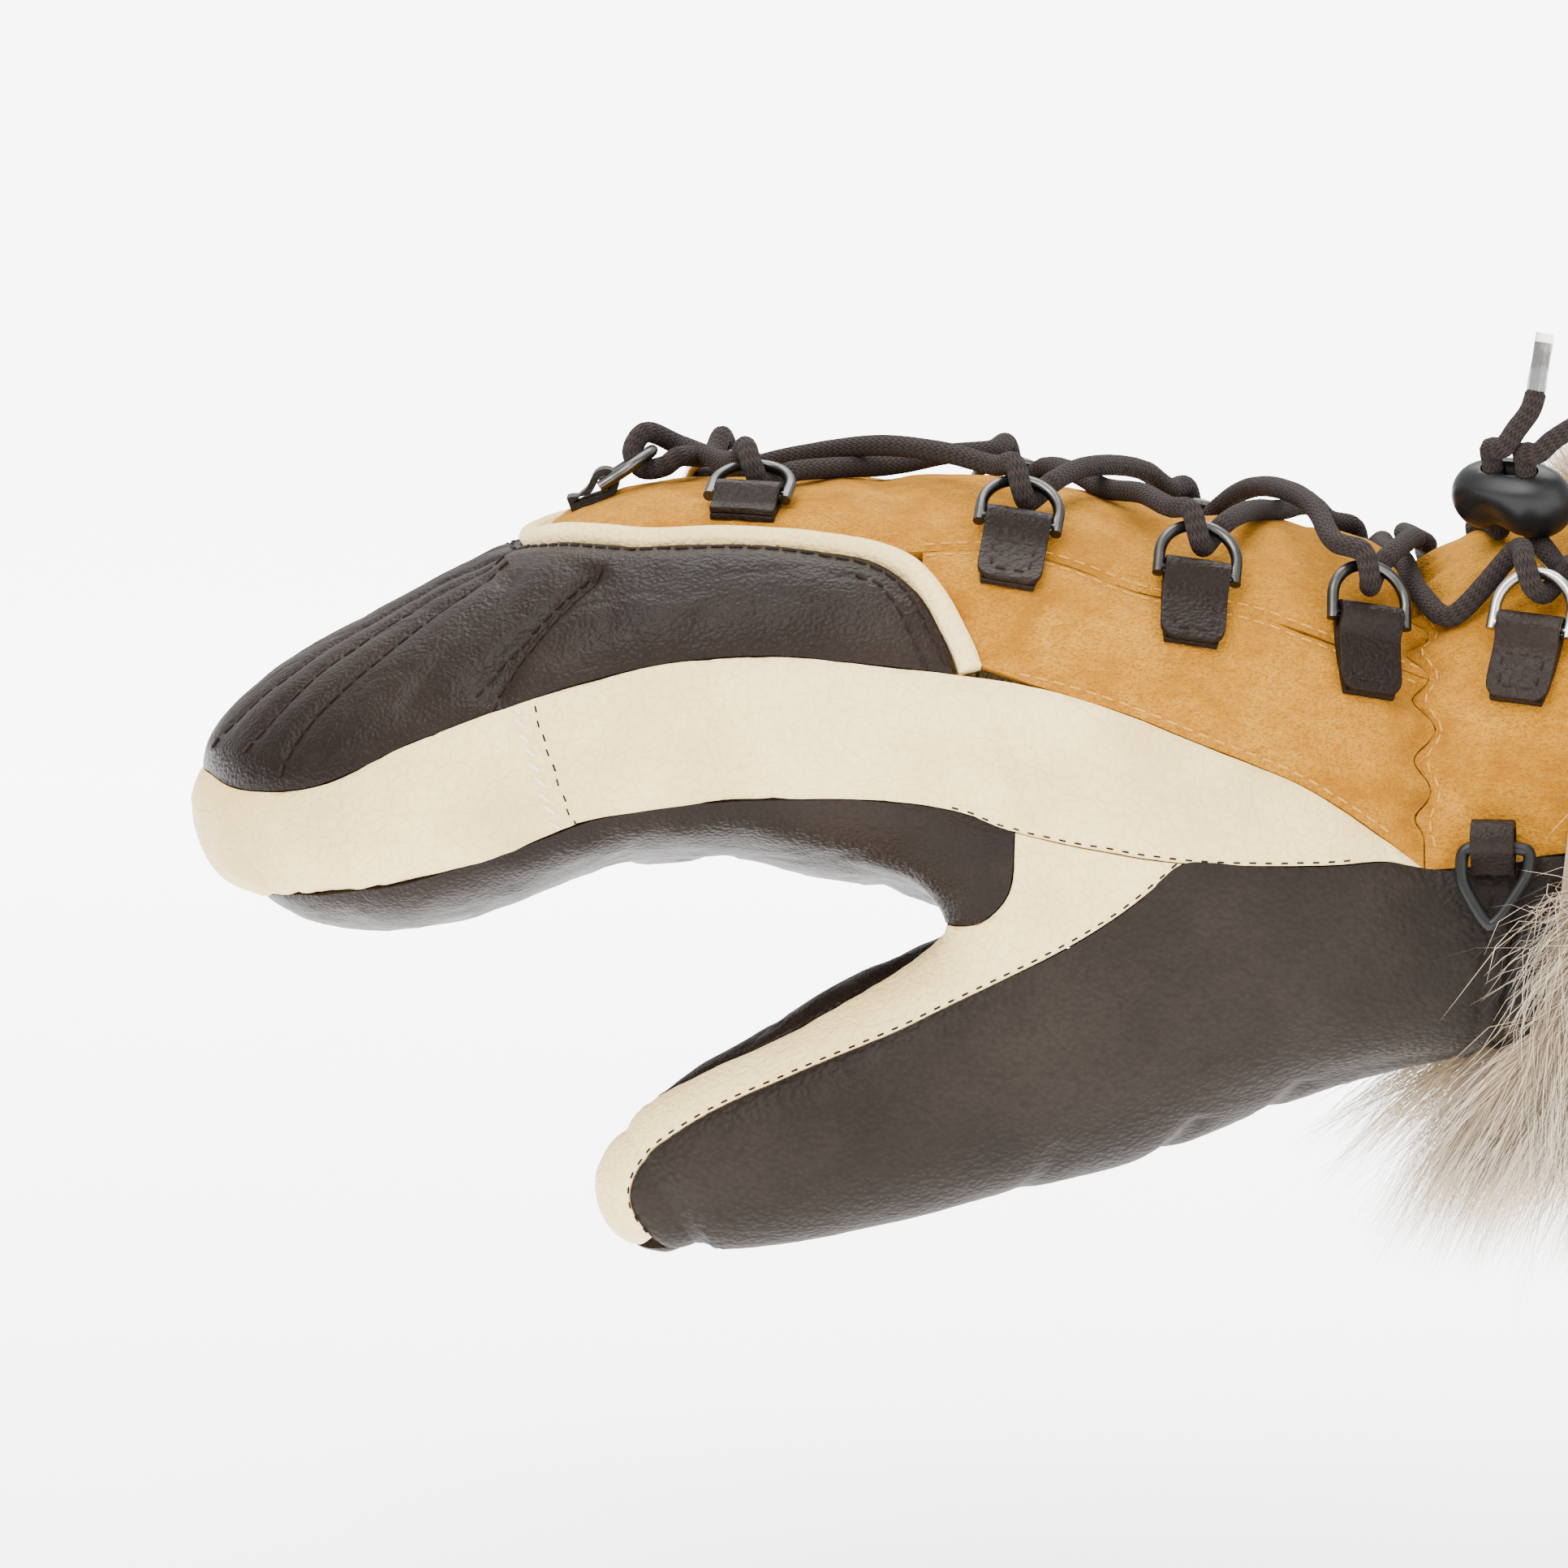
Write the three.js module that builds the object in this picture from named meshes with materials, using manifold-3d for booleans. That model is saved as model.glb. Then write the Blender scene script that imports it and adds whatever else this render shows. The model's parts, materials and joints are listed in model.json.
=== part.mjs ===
// Laced leather mitten for the right hand: fingers toward -X, back of the hand up, thumb toward -Y.
// Millimetres, +Z up. The origin is the centre of the opening that the hand goes into.
import * as THREE from "three";
import { mergeVertices } from "three/addons/utils/BufferGeometryUtils.js";
import Module from "manifold-3d";

const wasm = await Module();
wasm.setup();

// Driving dimensions
const TOE_X = -280;
const LEATHER = 2.6;
const SUEDE = 2.2;
const SEAM_GAP = 0.3;
const CROWN_ROUNDNESS = 2.25;
const BELLY_ROUNDNESS = 2.4;
const FOLD_FILLET = 7;
const SIDE_FILLET = 34;
const FILLET_CHANGE = { from: -26, to: -48 };
const WRIST_X = -74;
const MOUTH_X = 0;
const PIPING_WIDTH = 4;
const PIPING_LIFT = 1.9;
const RIB_DEPTH = 0.9;
const LACE_DIAMETER = 3.6;
const LACE_SIDES = 6;
const FIT = 0.3;
const RING_WIRE = 2;
const RING_WIDTH = 15;
const RING_DEPTH = 11.5;
const RING_TILT = 8;
const TAB_WIDTH = 11;
const TAB_THICKNESS = 2.4;
const TAB_STRAP = 1.2;
const TAB_LIFT = 0.45;
const HANG_WIRE = 2.2;
const HANG_HOLE = 2.5;
const HANG_ROUND = 3.7;
const HANG_WIDTH = 7.2;
const HANG_LIFT = 0.5;
const FUR_BACKING = 3;
const FUR_CLEARANCE = 1.3;

const COLOURS = {
  darkLeather: { color: 0x3b322c, roughness: 0.55, metalness: 0 },
  creamLeather: { color: 0xdccba3, roughness: 0.6, metalness: 0 },
  suede: { color: 0xc98f3a, roughness: 0.95, metalness: 0 },
  lace: { color: 0x2c2321, roughness: 0.9, metalness: 0 },
  gunmetal: { color: 0x6e6c69, roughness: 0.3, metalness: 1 },
  blackPlastic: { color: 0x161717, roughness: 0.4, metalness: 0 },
  clearTip: { color: 0x3a3330, roughness: 0.3, metalness: 0 },
  fur: { color: 0xcdbfa9, roughness: 1, metalness: 0 },
};

function table(names, rows) {
  return rows.map((row) => Object.fromEntries(names.map((name, i) => [name, row[i]])));
}

// Sections of the hand, from the toe to the mouth: crown, widest level, belly and half width.
const HAND = table(["x", "top", "waist", "bottom", "half"], [
  [-280, -3.5, -3.5, -3.5, 0],
  [-274.6, 10.1, -4.5, -15.7, 23],
  [-269.1, 15.6, -5, -18.8, 30.5],
  [-258.1, 23, -5.5, -23, 39],
  [-247, 29, -5, -24.2, 44.5],
  [-236, 35, -3, -22.8, 48],
  [-224.9, 40.5, 0, -19.6, 50.5],
  [-213.9, 46.2, 3.5, -15.2, 52],
  [-202.9, 49.4, 6.5, -12.5, 53],
  [-189.1, 50.3, 8.5, -12, 53.5],
  [-175.3, 50.5, 9, -15, 54],
  [-161.5, 51, 8.5, -17.5, 54],
  [-147.7, 50.6, 7, -22, 54],
  [-133.9, 49, 5, -24.2, 53.5],
  [-120.1, 46.3, 3, -26.2, 53],
  [-106.3, 44.2, 1, -29, 52],
  [-92.5, 43.1, -1, -32.4, 50],
  [-82, 40, -2.5, -35.5, 47.5],
  [-73.8, 35, -4, -38, 45],
  [-66, 39.5, -3.5, -41, 46.5],
  [-56.6, 43.1, -1.5, -43.5, 49],
  [-46.6, 43.5, -1, -44.9, 50.5],
  [-30.4, 44.2, -0.5, -45.5, 52],
  [MOUTH_X, 45.5, 0, -46.2, 54],
]);

// Sections along the middle of the thumb, from its tip into the hand.
const THUMB = table(["x", "y", "z", "deep", "wide"], [
  [-200.8, -31, -66.9, 10.2, 9],
  [-197.3, -31, -63.9, 13.2, 12],
  [-186.3, -31, -59.8, 16.3, 15.5],
  [-175.3, -31, -55.8, 18.2, 17.5],
  [-164.2, -31, -51.5, 20.1, 19],
  [-153.2, -30, -47.3, 21.4, 20.5],
  [-142.1, -29, -43.5, 22.6, 22],
  [-131.1, -28, -39.3, 24, 23.5],
  [-120.1, -27, -35.2, 24.4, 25],
  [-103.5, -25, -30.4, 23.2, 25],
  [-86.9, -22, -28.3, 20.5, 25],
  [-70.4, -19, -27.6, 17.5, 25],
]);

// Upper and lower edge of the cream side wall, and the piping line behind the toe cap, from the
// nose to the wrist. Angles are in degrees round the hand from straight up toward the thumb side.
const SIDE = table(["topX", "topTurn", "lowX", "lowTurn"], [
  [-279, 0, -268.5, 180],
  [-278.6, 45, -268.3, 150],
  [-277, 66, -267.5, 130],
  [-272, 78, -265, 116],
  [-264, 79.5, -258, 108],
  [-256, 78, -250, 104.5],
  [-244, 72.5, -240, 101.5],
  [-230, 71, -228, 100],
  [-215, 71.2, -214, 97.6],
  [-198, 72, -198, 98.5],
  [-182, 72.5, -182, 98.7],
  [-166, 74, -166, 98.5],
  [-152.3, 74.4, -152, 98.8],
  [-137, 74.8, -141.9, 101],
  [-123, 77.3, -125, 101.8],
  [-109, 81.2, -114.3, 101.5],
  [-96, 84.8, -97, 99.6],
  [-87, 89.2, -88, 98.4],
  [-79.5, 93.6, -80, 96.9],
]);
const PIPING = table(["x", "turn"], [
  [-223, 0],
  [-223, 2],
  [-222.9, 4],
  [-222.8, 6],
  [-222.6, 9],
  [-222.2, 12],
  [-220.5, 17],
  [-211, 33],
  [-203, 40.5],
  [-190, 43],
  [-175.4, 46],
  [-160.5, 52],
  [-150.6, 69.3],
  [-149.2, 73.3],
]);
const CAP_ROWS = 13;
const SUEDE_START = 10.7;
const TONGUE_START = 0.07;
// Stitched line between the middle tongue and each suede side, from the piping to the wrist.
const SUEDE_SEAM = table(["x", "turn"], [
  [-157, 48.2],
  [-148, 46.4],
  [-133.5, 47.2],
  [-121.5, 51.2],
  [-104, 51.6],
  [-89, 56],
  [WRIST_X, 56.5],
]);

// Borders of the cream strip that runs up the thumb, from under its tip to the side wall.
const THUMB_STRIP = table(["innerX", "innerY", "innerZ", "outerX", "outerY", "outerZ"], [
  [-204.5, -31, -74.5, -202, -37.5, -73.5],
  [-208.5, -26.5, -68, -205.4, -38.6, -67],
  [-208.5, -25.5, -60, -204, -40, -60.5],
  [-203.5, -26.5, -53, -199, -41.3, -56],
  [-195, -29, -46.7, -191, -42.9, -51],
  [-182, -30, -38.7, -178, -45, -45],
  [-168, -28, -30.5, -164, -46.8, -39],
  [-158, -25.5, -24.5, -152, -46.9, -33.6],
  [-150.5, -24, -21.4, -141.7, -46.9, -29],
  [-152.5, -37, -20.5, -134.5, -46.9, -25.2],
  [-147, -47.5, -19.5, -127.5, -46.9, -20.6],
  [-142.8, -50.3, -14.5, -120.8, -48, -14.8],
]);
// Fold where the thumb meets the palm, from the crotch to the wrist hem.
const PALM_FOLD = table(["x", "y", "z"], [
  [-150.5, -24, -21.4],
  [-146.5, -15, -23.8],
  [-133, -6, -28],
  [-111, 0, -31],
  [-90, 4, -36],
  [-76, 6, -38.8],
  [-64, 8, -41.5],
]);
// Hem behind the palm and thumb, by the angle round the wrist.
const HEM = table(["turn", "x"], [
  [98.5, -58.5],
  [128, -61.5],
  [159, -64.6],
  [192, -64],
  [262, -60],
]);
// Foremost places inside the hand that the panels' rows are laid out from.
const FRONT_CENTRE = { cap: -228, wall: -238, palm: -250 };
const CROTCH_CENTRE = -140;
const SIDE_PULL = 0.6;
const SUEDE_TURN = 96;
const HEM_GAP = 0.5;
const CROTCH_COLUMN = 4;
// Side wall rows that the strip ends on, and the hem angles of the thumb's lower line and fold.
const STRIP_END = { inner: 13, outer: 15 };
const LOW_TURN = 159;
const FOLD_TURN = 192;
const SIDE_HEM_TURN = 98.5;
const FAR_HEM_TURN = 262;
const SIDE_HEM_LEAD = [-70, 97.6];
const THUMB_TIP_LOW = [-199.5, -34.5, -75.8];
// Places along the thumb where the rows of its outer and inner panel meet its lower line.
const OUTER_ROWS = [0.2, 0.9, 1.5, 2.2, 3.1, 4.1, 5, 5.9, 6.8, 7.6, 8.3, 8.9, 9.5, 10, 10.5, 11];
const INNER_ROWS = [0.2, 0.9, 1.5, 2.2, 3.1, 4.2, 5.2, 6.2, 7, 7.9, 8.9, 10, 10.8];
const TIP_CENTRE = 1.1;
const HEM_CENTRE = 11.6;

// Rows of the lacing: place of the ring's bar, its turn on the leather, the tab's length, and
// whether the lace that leaves the thumb side crosses above the other one behind this row.
const LACING = table(["x", "turn", "twist", "tab", "farShift", "thumbSideAbove"], [
  [-186.5, 32, 12, 5.5, -4, false],
  [-142.2, 41.5, 6, 14, 0, true],
  [-112.2, 47.5, 2, 14, 2, false],
  [-83.2, 50, -7, 14, 2, true],
  [-57.5, 54, 18, 13, -10, true],
]);
const FRONT_RING = { x: -209, tab: 7, tilt: 13 };

// Lace through one ring, in wire lengths along the bar, out from the bar and above the ring.
const RING_PASS = table(["along", "out", "above"], [
  [-5.2, 13.8, -2.2],
  [-2.3, 10.1, 3.15],
  [-0.6, 6.6, 1.7],
  [0.8, 6.5, -1.6],
  [2.5, 9.9, -3.25],
  [4, 12.4, -3.1],
]);

// The last strand to the thumb side sags along the wrist's dip, below the lock.
const SAGGING_STRAND = table(["x", "turn"], [
  [-78.5, -16],
  [-76.5, 10],
  [-73, 32],
  [-67.5, 45],
]);

const LOCK = { x: -58, y: -24, z: 49.2, long: 21.5, deep: 13, tall: 15, boreSpread: 6 };
const LOCK_REACH = [0.35, 0.7];
const BORE_LEAD = 2.4;
const LACE_IN_LOCK = [4, 1.2];
const END_IN_LOCK = 4.6;
const LACE_REST = 0.5;
const SHORT_END = [[-60.1, -30.4, 58.2], [-58, -31, 61.2], [-55.7, -31, 64.4], [-54.8, -30.6, 67.2]];
const SHORT_TIP = [[-54.7, -30.5, 67.6], [-53.2, -30, 77.2]];
const LONG_END = [[-54.6, -31.8, 57.2], [-52, -31.6, 59.4], [-48.4, -30.6, 61.6], [-44.4, -29, 63.6],
  [-40, -27.2, 65.2]];
const LONG_TIP = [[-39.6, -27, 65.3], [-30.4, -23.6, 67.4]];

// Fur round the mouth: a full band with rows of locks on it, longest under the wrist.
const FUR_LOCKS = 13;
const FUR_EDGE = { topX: -43, lowX: -57, rearX: -1 };
const FUR_ROWS = table(["part", "shift", "scale", "lean"], [
  [0.2, 0, 1, -0.75],
  [0.66, 0.5, 0.8, -0.25],
]);
const FUR_REACH = { top: 17, low: 42 };
const FUR_FULLNESS = 0.45;
const LOCK_SIZE = { wide: 12, thick: 7.5 };

// Small vector and curve helpers
const vec = (x, y, z) => new THREE.Vector3(x, y, z);
const radians = THREE.MathUtils.degToRad;
const clamp = THREE.MathUtils.clamp;
const UP = vec(0, 0, 1);
const DOWN = vec(0, 0, -1);
const THUMB_SIDE = vec(0, -1, 0);
const FAR_SIDE = vec(0, 1, 0);
const mirrored = (p) => vec(p.x, -p.y, p.z);

// Smooth curve through a column that never overshoots its values.
function monotone(xs, ys) {
  const gaps = xs.slice(1).map((x, i) => x - xs[i]);
  const rises = gaps.map((gap, i) => (ys[i + 1] - ys[i]) / gap);
  const slopes = ys.map((_, i) => {
    if (i === 0) return rises[0];
    if (i === ys.length - 1) return rises[i - 1];
    if (rises[i - 1] * rises[i] <= 0) return 0;
    const before = 2 * gaps[i] + gaps[i - 1];
    const after = gaps[i] + 2 * gaps[i - 1];
    return (before + after) / (before / rises[i - 1] + after / rises[i]);
  });
  return (value) => {
    const q = clamp(value, xs[0], xs[xs.length - 1]);
    let i = 0;
    while (i < gaps.length - 1 && q > xs[i + 1]) i += 1;
    const t = (q - xs[i]) / gaps[i];
    const blend = t * t * (3 - 2 * t);
    const leave = t * (1 - t) * (1 - t) * gaps[i] * slopes[i];
    const arrive = t * t * (t - 1) * gaps[i] * slopes[i + 1];
    return ys[i] * (1 - blend) + ys[i + 1] * blend + leave + arrive;
  };
}

// Form of the whole mitten: a signed distance that is close to true near the surface
const handStations = HAND.map((row) => Math.sqrt(row.x - TOE_X));
const handCurves = {};
for (const name of ["top", "waist", "bottom", "half"]) {
  handCurves[name] = monotone(handStations, HAND.map((row) => row[name]));
}

function handSection(x) {
  const station = Math.sqrt(Math.max(x - TOE_X, 0));
  return {
    top: handCurves.top(station),
    waist: handCurves.waist(station),
    bottom: handCurves.bottom(station),
    half: handCurves.half(station),
  };
}

function handDistance(p) {
  const { top, waist, bottom, half } = handSection(p.x);
  const above = p.z >= waist;
  const height = Math.max(above ? top - waist : waist - bottom, 1e-3);
  const power = above ? CROWN_ROUNDNESS : BELLY_ROUNDNESS;
  const across = Math.abs(p.y) / Math.max(half, 1e-3);
  const up = Math.abs(p.z - waist) / height;
  const scale = (across ** power + up ** power) ** (1 / power);
  const inside = scale > 1e-6 ? Math.hypot(p.y, p.z - waist) * (1 - 1 / scale) : -half;
  return p.x < TOE_X ? Math.max(inside, TOE_X - p.x) : inside;
}

const thumbRows = THUMB.map((_, i) => i);
const thumbCurves = {};
for (const name of ["x", "y", "z", "deep", "wide"]) {
  thumbCurves[name] = monotone(thumbRows, THUMB.map((row) => row[name]));
}
const THUMB_STEPS = 44;
const thumbSpine = Array.from({ length: THUMB_STEPS + 1 }, (_, i) => {
  const q = (i / THUMB_STEPS) * (THUMB.length - 1);
  const centre = vec(thumbCurves.x(q), thumbCurves.y(q), thumbCurves.z(q));
  return { centre, deep: thumbCurves.deep(q), wide: thumbCurves.wide(q) };
});

function thumbDistance(p) {
  let best = Infinity;
  let found = null;
  for (let i = 0; i < THUMB_STEPS; i += 1) {
    const a = thumbSpine[i];
    const b = thumbSpine[i + 1];
    const step = b.centre.clone().sub(a.centre);
    const t = clamp(p.clone().sub(a.centre).dot(step) / step.lengthSq(), 0, 1);
    const distance = p.distanceToSquared(a.centre.clone().addScaledVector(step, t));
    if (distance < best) {
      best = distance;
      found = { a, b, t, step };
    }
  }
  const { a, b, t, step } = found;
  const along = step.clone().normalize();
  const offset = p.clone().sub(a.centre).addScaledVector(step, -t);
  const wideAxis = FAR_SIDE.clone().addScaledVector(along, -along.y).normalize();
  const deepAxis = along.clone().cross(wideAxis);
  const deep = a.deep * (1 - t) + b.deep * t;
  const wide = a.wide * (1 - t) + b.wide * t;
  const scale = Math.hypot(offset.dot(deepAxis) / deep, offset.dot(wideAxis) / wide,
    offset.dot(along) / deep);
  return scale > 1e-6 ? offset.length() * (1 - 1 / scale) : -deep;
}

// Thumb and hand run together: tightly in the crotch and broadly along the thumb's own side.
function formDistance(p) {
  const hand = handDistance(p);
  const thumb = thumbDistance(p);
  const side = clamp((p.y - FILLET_CHANGE.from) / (FILLET_CHANGE.to - FILLET_CHANGE.from), 0, 1);
  const fillet = THREE.MathUtils.lerp(FOLD_FILLET, SIDE_FILLET, side * side * (3 - 2 * side));
  const mix = clamp(0.5 + (0.5 * (thumb - hand)) / fillet, 0, 1);
  return thumb * (1 - mix) + hand * mix - fillet * mix * (1 - mix);
}

function formSlope(p) {
  const reach = 0.3;
  const slope = (axis) => (formDistance(p.clone().addScaledVector(axis, reach))
    - formDistance(p.clone().addScaledVector(axis, -reach))) / (2 * reach);
  return vec(slope(vec(1, 0, 0)), slope(FAR_SIDE), slope(UP));
}
const formNormal = (p) => formSlope(p).normalize();

// Moves a nearby point onto the form's surface, at most two millimetres at a time.
function settle(point) {
  const p = point.clone();
  for (let i = 0; i < 8; i += 1) {
    const slope = formSlope(p);
    p.add(slope.multiplyScalar(-formDistance(p) / slope.lengthSq()).clampLength(0, 2));
  }
  return p;
}

// First point where a line from inside leaves the form, or the hand alone.
function cast(centre, direction, distance = formDistance) {
  const ray = direction.clone().normalize();
  const at = (length) => centre.clone().addScaledVector(ray, length);
  let far = 0;
  while (far < 120 && distance(at(far)) < 0) far += 1.5;
  let near = far - 1.5;
  for (let i = 0; i < 18; i += 1) {
    const middle = (near + far) / 2;
    if (distance(at(middle)) < 0) near = middle;
    else far = middle;
  }
  return at(near);
}

const hemAt = monotone(HEM.map((row) => row.turn), HEM.map((row) => row.x));
const handCentre = (x) => vec(x, 0, handSection(x).waist);
function onHand(x, turn) {
  const angle = radians(turn);
  return cast(handCentre(x), vec(0, -Math.sin(angle), Math.cos(angle)));
}

function thumbAt(q) {
  const last = THUMB.length - 1;
  const inside = Math.min(q, last);
  const beyond = (q - inside) * (THUMB[last].x - THUMB[last - 1].x);
  return vec(thumbCurves.x(inside) + beyond, thumbCurves.y(inside), thumbCurves.z(inside));
}

// Lower line of the thumb, a little onto the palm side of its lowest edge.
function thumbLow(q) {
  const along = thumbAt(q + 0.05).sub(thumbAt(q - 0.05 < 0 ? 0 : q - 0.05)).normalize();
  const down = DOWN.clone().addScaledVector(along, -along.dot(DOWN)).normalize();
  return cast(thumbAt(q), down.addScaledVector(FAR_SIDE, 0.2));
}

// Smooth line through surface points with one knot for each table row.
function seam(points) {
  const curve = new THREE.CatmullRomCurve3(points, false, "centripetal");
  return (u) => settle(curve.getPoint(clamp(u, 0, 1)));
}
const bothSides = (points) => [...points.slice(1).reverse(), ...points.slice(0, 1),
  ...points.slice(1).map(mirrored)];

// Leather panels
function slerp(a, b, t) {
  const angle = a.angleTo(b);
  if (angle < 1e-4) return a.clone().lerp(b, t).normalize();
  const left = Math.sin((1 - t) * angle) / Math.sin(angle);
  const right = Math.sin(t * angle) / Math.sin(angle);
  return a.clone().multiplyScalar(left).addScaledVector(b, right).normalize();
}

// Row of surface points from a to b as seen from a centre, past a direction on the way.
function ruled(a, b, centre, count, via, distance = formDistance) {
  const start = a.clone().sub(centre).normalize();
  const end = b.clone().sub(centre).normalize();
  const first = via ? start.angleTo(via) : 0;
  const total = via ? first + via.angleTo(end) : 1;
  return Array.from({ length: count + 1 }, (_, j) => {
    if (j === 0) return a.clone();
    if (j === count) return b.clone();
    const t = (j / count) * total;
    if (!via) return cast(centre, slerp(start, end, t), distance);
    if (t < first) return cast(centre, slerp(start, via, t / first), distance);
    return cast(centre, slerp(via, end, (t - first) / (total - first)), distance);
  });
}

// Turns flat lists of positions and triangles into a geometry that faces outward.
function geometryFrom(points, triangles) {
  let volume = 0;
  for (const [a, b, c] of triangles) {
    volume += points[a].dot(points[b].clone().cross(points[c]));
  }
  const faces = volume < 0 ? triangles.map(([a, b, c]) => [a, c, b]) : triangles;
  const geometry = new THREE.BufferGeometry();
  const numbers = points.flatMap((p) => [p.x, p.y, p.z]);
  geometry.setAttribute("position", new THREE.Float32BufferAttribute(numbers, 3));
  geometry.setIndex(faces.flat());
  geometry.computeVertexNormals();
  return geometry;
}

// Closed wall from a grid of surface points. A missing point leaves its cells out.
function wall(grid, thickness, lift = () => 0) {
  const columns = grid[0].length;
  const name = (i, j) => i * columns + j;
  const surface = grid.flat();
  const cells = [];
  for (let i = 0; i < grid.length - 1; i += 1) {
    for (let j = 0; j < columns - 1; j += 1) {
      const corners = [name(i, j), name(i + 1, j), name(i + 1, j + 1), name(i, j + 1)];
      if (corners.every((k) => surface[k])) cells.push(corners);
    }
  }
  const edges = new Map();
  for (const corners of cells) {
    corners.forEach((from, k) => edges.set(`${from}_${corners[(k + 1) % 4]}`, [from, corners[(k + 1) % 4]]));
  }
  const rim = [...edges.values()].filter(([from, to]) => !edges.has(`${to}_${from}`));
  const normals = surface.map((p) => (p ? formNormal(p) : null));
  const sense = Math.sign(cells.reduce((sum, [a, b, , d]) => sum + surface[b].clone().sub(surface[a])
    .cross(surface[d].clone().sub(surface[a])).dot(normals[a]), 0));
  const pull = new Map();
  for (const [from, to] of rim) {
    const inward = normals[from].clone().cross(surface[to].clone().sub(surface[from])).normalize()
      .multiplyScalar(sense);
    for (const k of [from, to]) pull.set(k, [...(pull.get(k) ?? []), inward]);
  }
  const placed = surface.map((p, k) => {
    if (!p || !pull.has(k)) return p;
    const [first, second] = pull.get(k);
    const share = 1 / Math.max(1 + first.dot(second), 0.35);
    return settle(p.clone().addScaledVector(first.clone().add(second), SEAM_GAP * share));
  });
  const points = [];
  const outer = placed.map((p, k) => {
    if (!p) return null;
    const rise = lift((k - (k % columns)) / columns / (grid.length - 1), (k % columns) / (columns - 1));
    return points.push(p.clone().addScaledVector(normals[k], rise)) - 1;
  });
  const inner = placed.map((p, k) => (p ? points.push(p.clone()
    .addScaledVector(normals[k], -thickness)) - 1 : null));
  const triangles = [];
  for (const [a, b, c, d] of cells) {
    triangles.push([outer[a], outer[b], outer[c]], [outer[a], outer[c], outer[d]]);
    triangles.push([inner[a], inner[c], inner[b]], [inner[a], inner[d], inner[c]]);
  }
  for (const [a, b] of rim) {
    triangles.push([outer[a], inner[a], inner[b]], [outer[a], inner[b], outer[b]]);
  }
  return geometryFrom(points, triangles);
}

const steps = (count, from = 0, to = 1) => Array.from({ length: count + 1 },
  (_, i) => from + ((to - from) * i) / count);

const sideTopPoints = SIDE.map((row) => onHand(row.topX, row.topTurn));
const sideLowPoints = SIDE.map((row) => onHand(row.lowX, row.lowTurn));
const sideTop = seam(bothSides(sideTopPoints));
const sideLow = seam(bothSides(sideLowPoints));
const pipingPoints = PIPING.map((row) => onHand(row.x, row.turn));
const pipingLine = seam(bothSides(pipingPoints));

// Places on these lines, counted in table rows from the nose toward the thumb side.
const sideRow = (row) => 0.5 - row / (2 * (SIDE.length - 1));
const pipingRow = (row) => 0.5 - row / (2 * (PIPING.length - 1));

// Line beside the piping's middle, toward the toe for a negative distance.
function besidePiping(distance) {
  return (u) => {
    const ahead = pipingLine(Math.min(u + 0.01, 1)).sub(pipingLine(Math.max(u - 0.01, 0))).normalize();
    const p = pipingLine(u);
    return settle(p.clone().addScaledVector(ahead.cross(formNormal(p)), distance));
  };
}

function toeCap() {
  const piping = besidePiping(-(PIPING_WIDTH + SEAM_GAP) / 2);
  const rear = CAP_ROWS - 1;
  const grid = steps(36).map((u) => {
    const row = rear * (1 - 2 * u);
    const a = sideTop(sideRow(row));
    const b = piping(pipingRow(row));
    const x = Math.max((a.x + b.x) / 2, FRONT_CENTRE.cap);
    return ruled(a, b, handCentre(x), 5);
  });
  // Quilted ribs run from the nose of the cap down to the side wall.
  const ribs = (u, v) => RIB_DEPTH * Math.sin(Math.PI * v) * Math.cos(u * 36 * Math.PI)
    * Math.exp(-(((u - 0.5) / 0.22) ** 4));
  return wall(grid, LEATHER, ribs);
}

function pipingBand() {
  const front = besidePiping(-PIPING_WIDTH / 2);
  const back = besidePiping(PIPING_WIDTH / 2);
  const grid = steps(34).map((u) => {
    const a = front(u);
    const b = back(u);
    return [0, 1 / 3, 2 / 3, 1].map((t) => settle(a.clone().lerp(b, t)));
  });
  return wall(grid, LEATHER, (u, v) => PIPING_LIFT * Math.sin(Math.PI * (0.12 + 0.76 * v)));
}

function sideWall() {
  const grid = steps(36).map((u) => {
    const a = sideTop(u);
    const b = sideLow(u);
    return ruled(a, b, handCentre(Math.max((a.x + b.x) / 2, FRONT_CENTRE.wall)), 4);
  });
  return wall(grid, LEATHER);
}

function tongue() {
  const back = besidePiping(PIPING_WIDTH / 2);
  const nearPiping = [0, 2, 4, 5, 6, 7, 8, 9, 10, SUEDE_START].map((row) => back(pipingRow(row)));
  const nearSeam = SUEDE_SEAM.map((row) => onHand(row.x, row.turn));
  const near = seam([...nearPiping, ...nearSeam]);
  const grid = steps(19, TONGUE_START, 1).map((u) => {
    const a = near(u);
    return ruled(a, mirrored(a), handCentre(a.x), 6, UP);
  });
  return wall(grid, SUEDE);
}

function suedeSide(side) {
  const back = besidePiping(PIPING_WIDTH / 2);
  const corner = PIPING.length - 1;
  const low = seam([back(pipingRow(side * corner)),
    ...SIDE.slice(CAP_ROWS).map((row) => onHand(row.topX, side * row.topTurn)),
    onHand(WRIST_X, side * SUEDE_TURN)]);
  const high = seam(SUEDE_SEAM.map((row) => onHand(row.x, side * row.turn)));
  const across = 5;
  const grid = steps(10).map((u) => {
    const b = high(u);
    const row = ruled(low(u), b, handCentre(b.x), across);
    if (u > 0) return row;
    return row.map((p, j) => (j < across
      ? back(pipingRow(side * THREE.MathUtils.lerp(corner, SUEDE_START, j / across))) : p));
  });
  return wall(grid, SUEDE);
}

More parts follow.
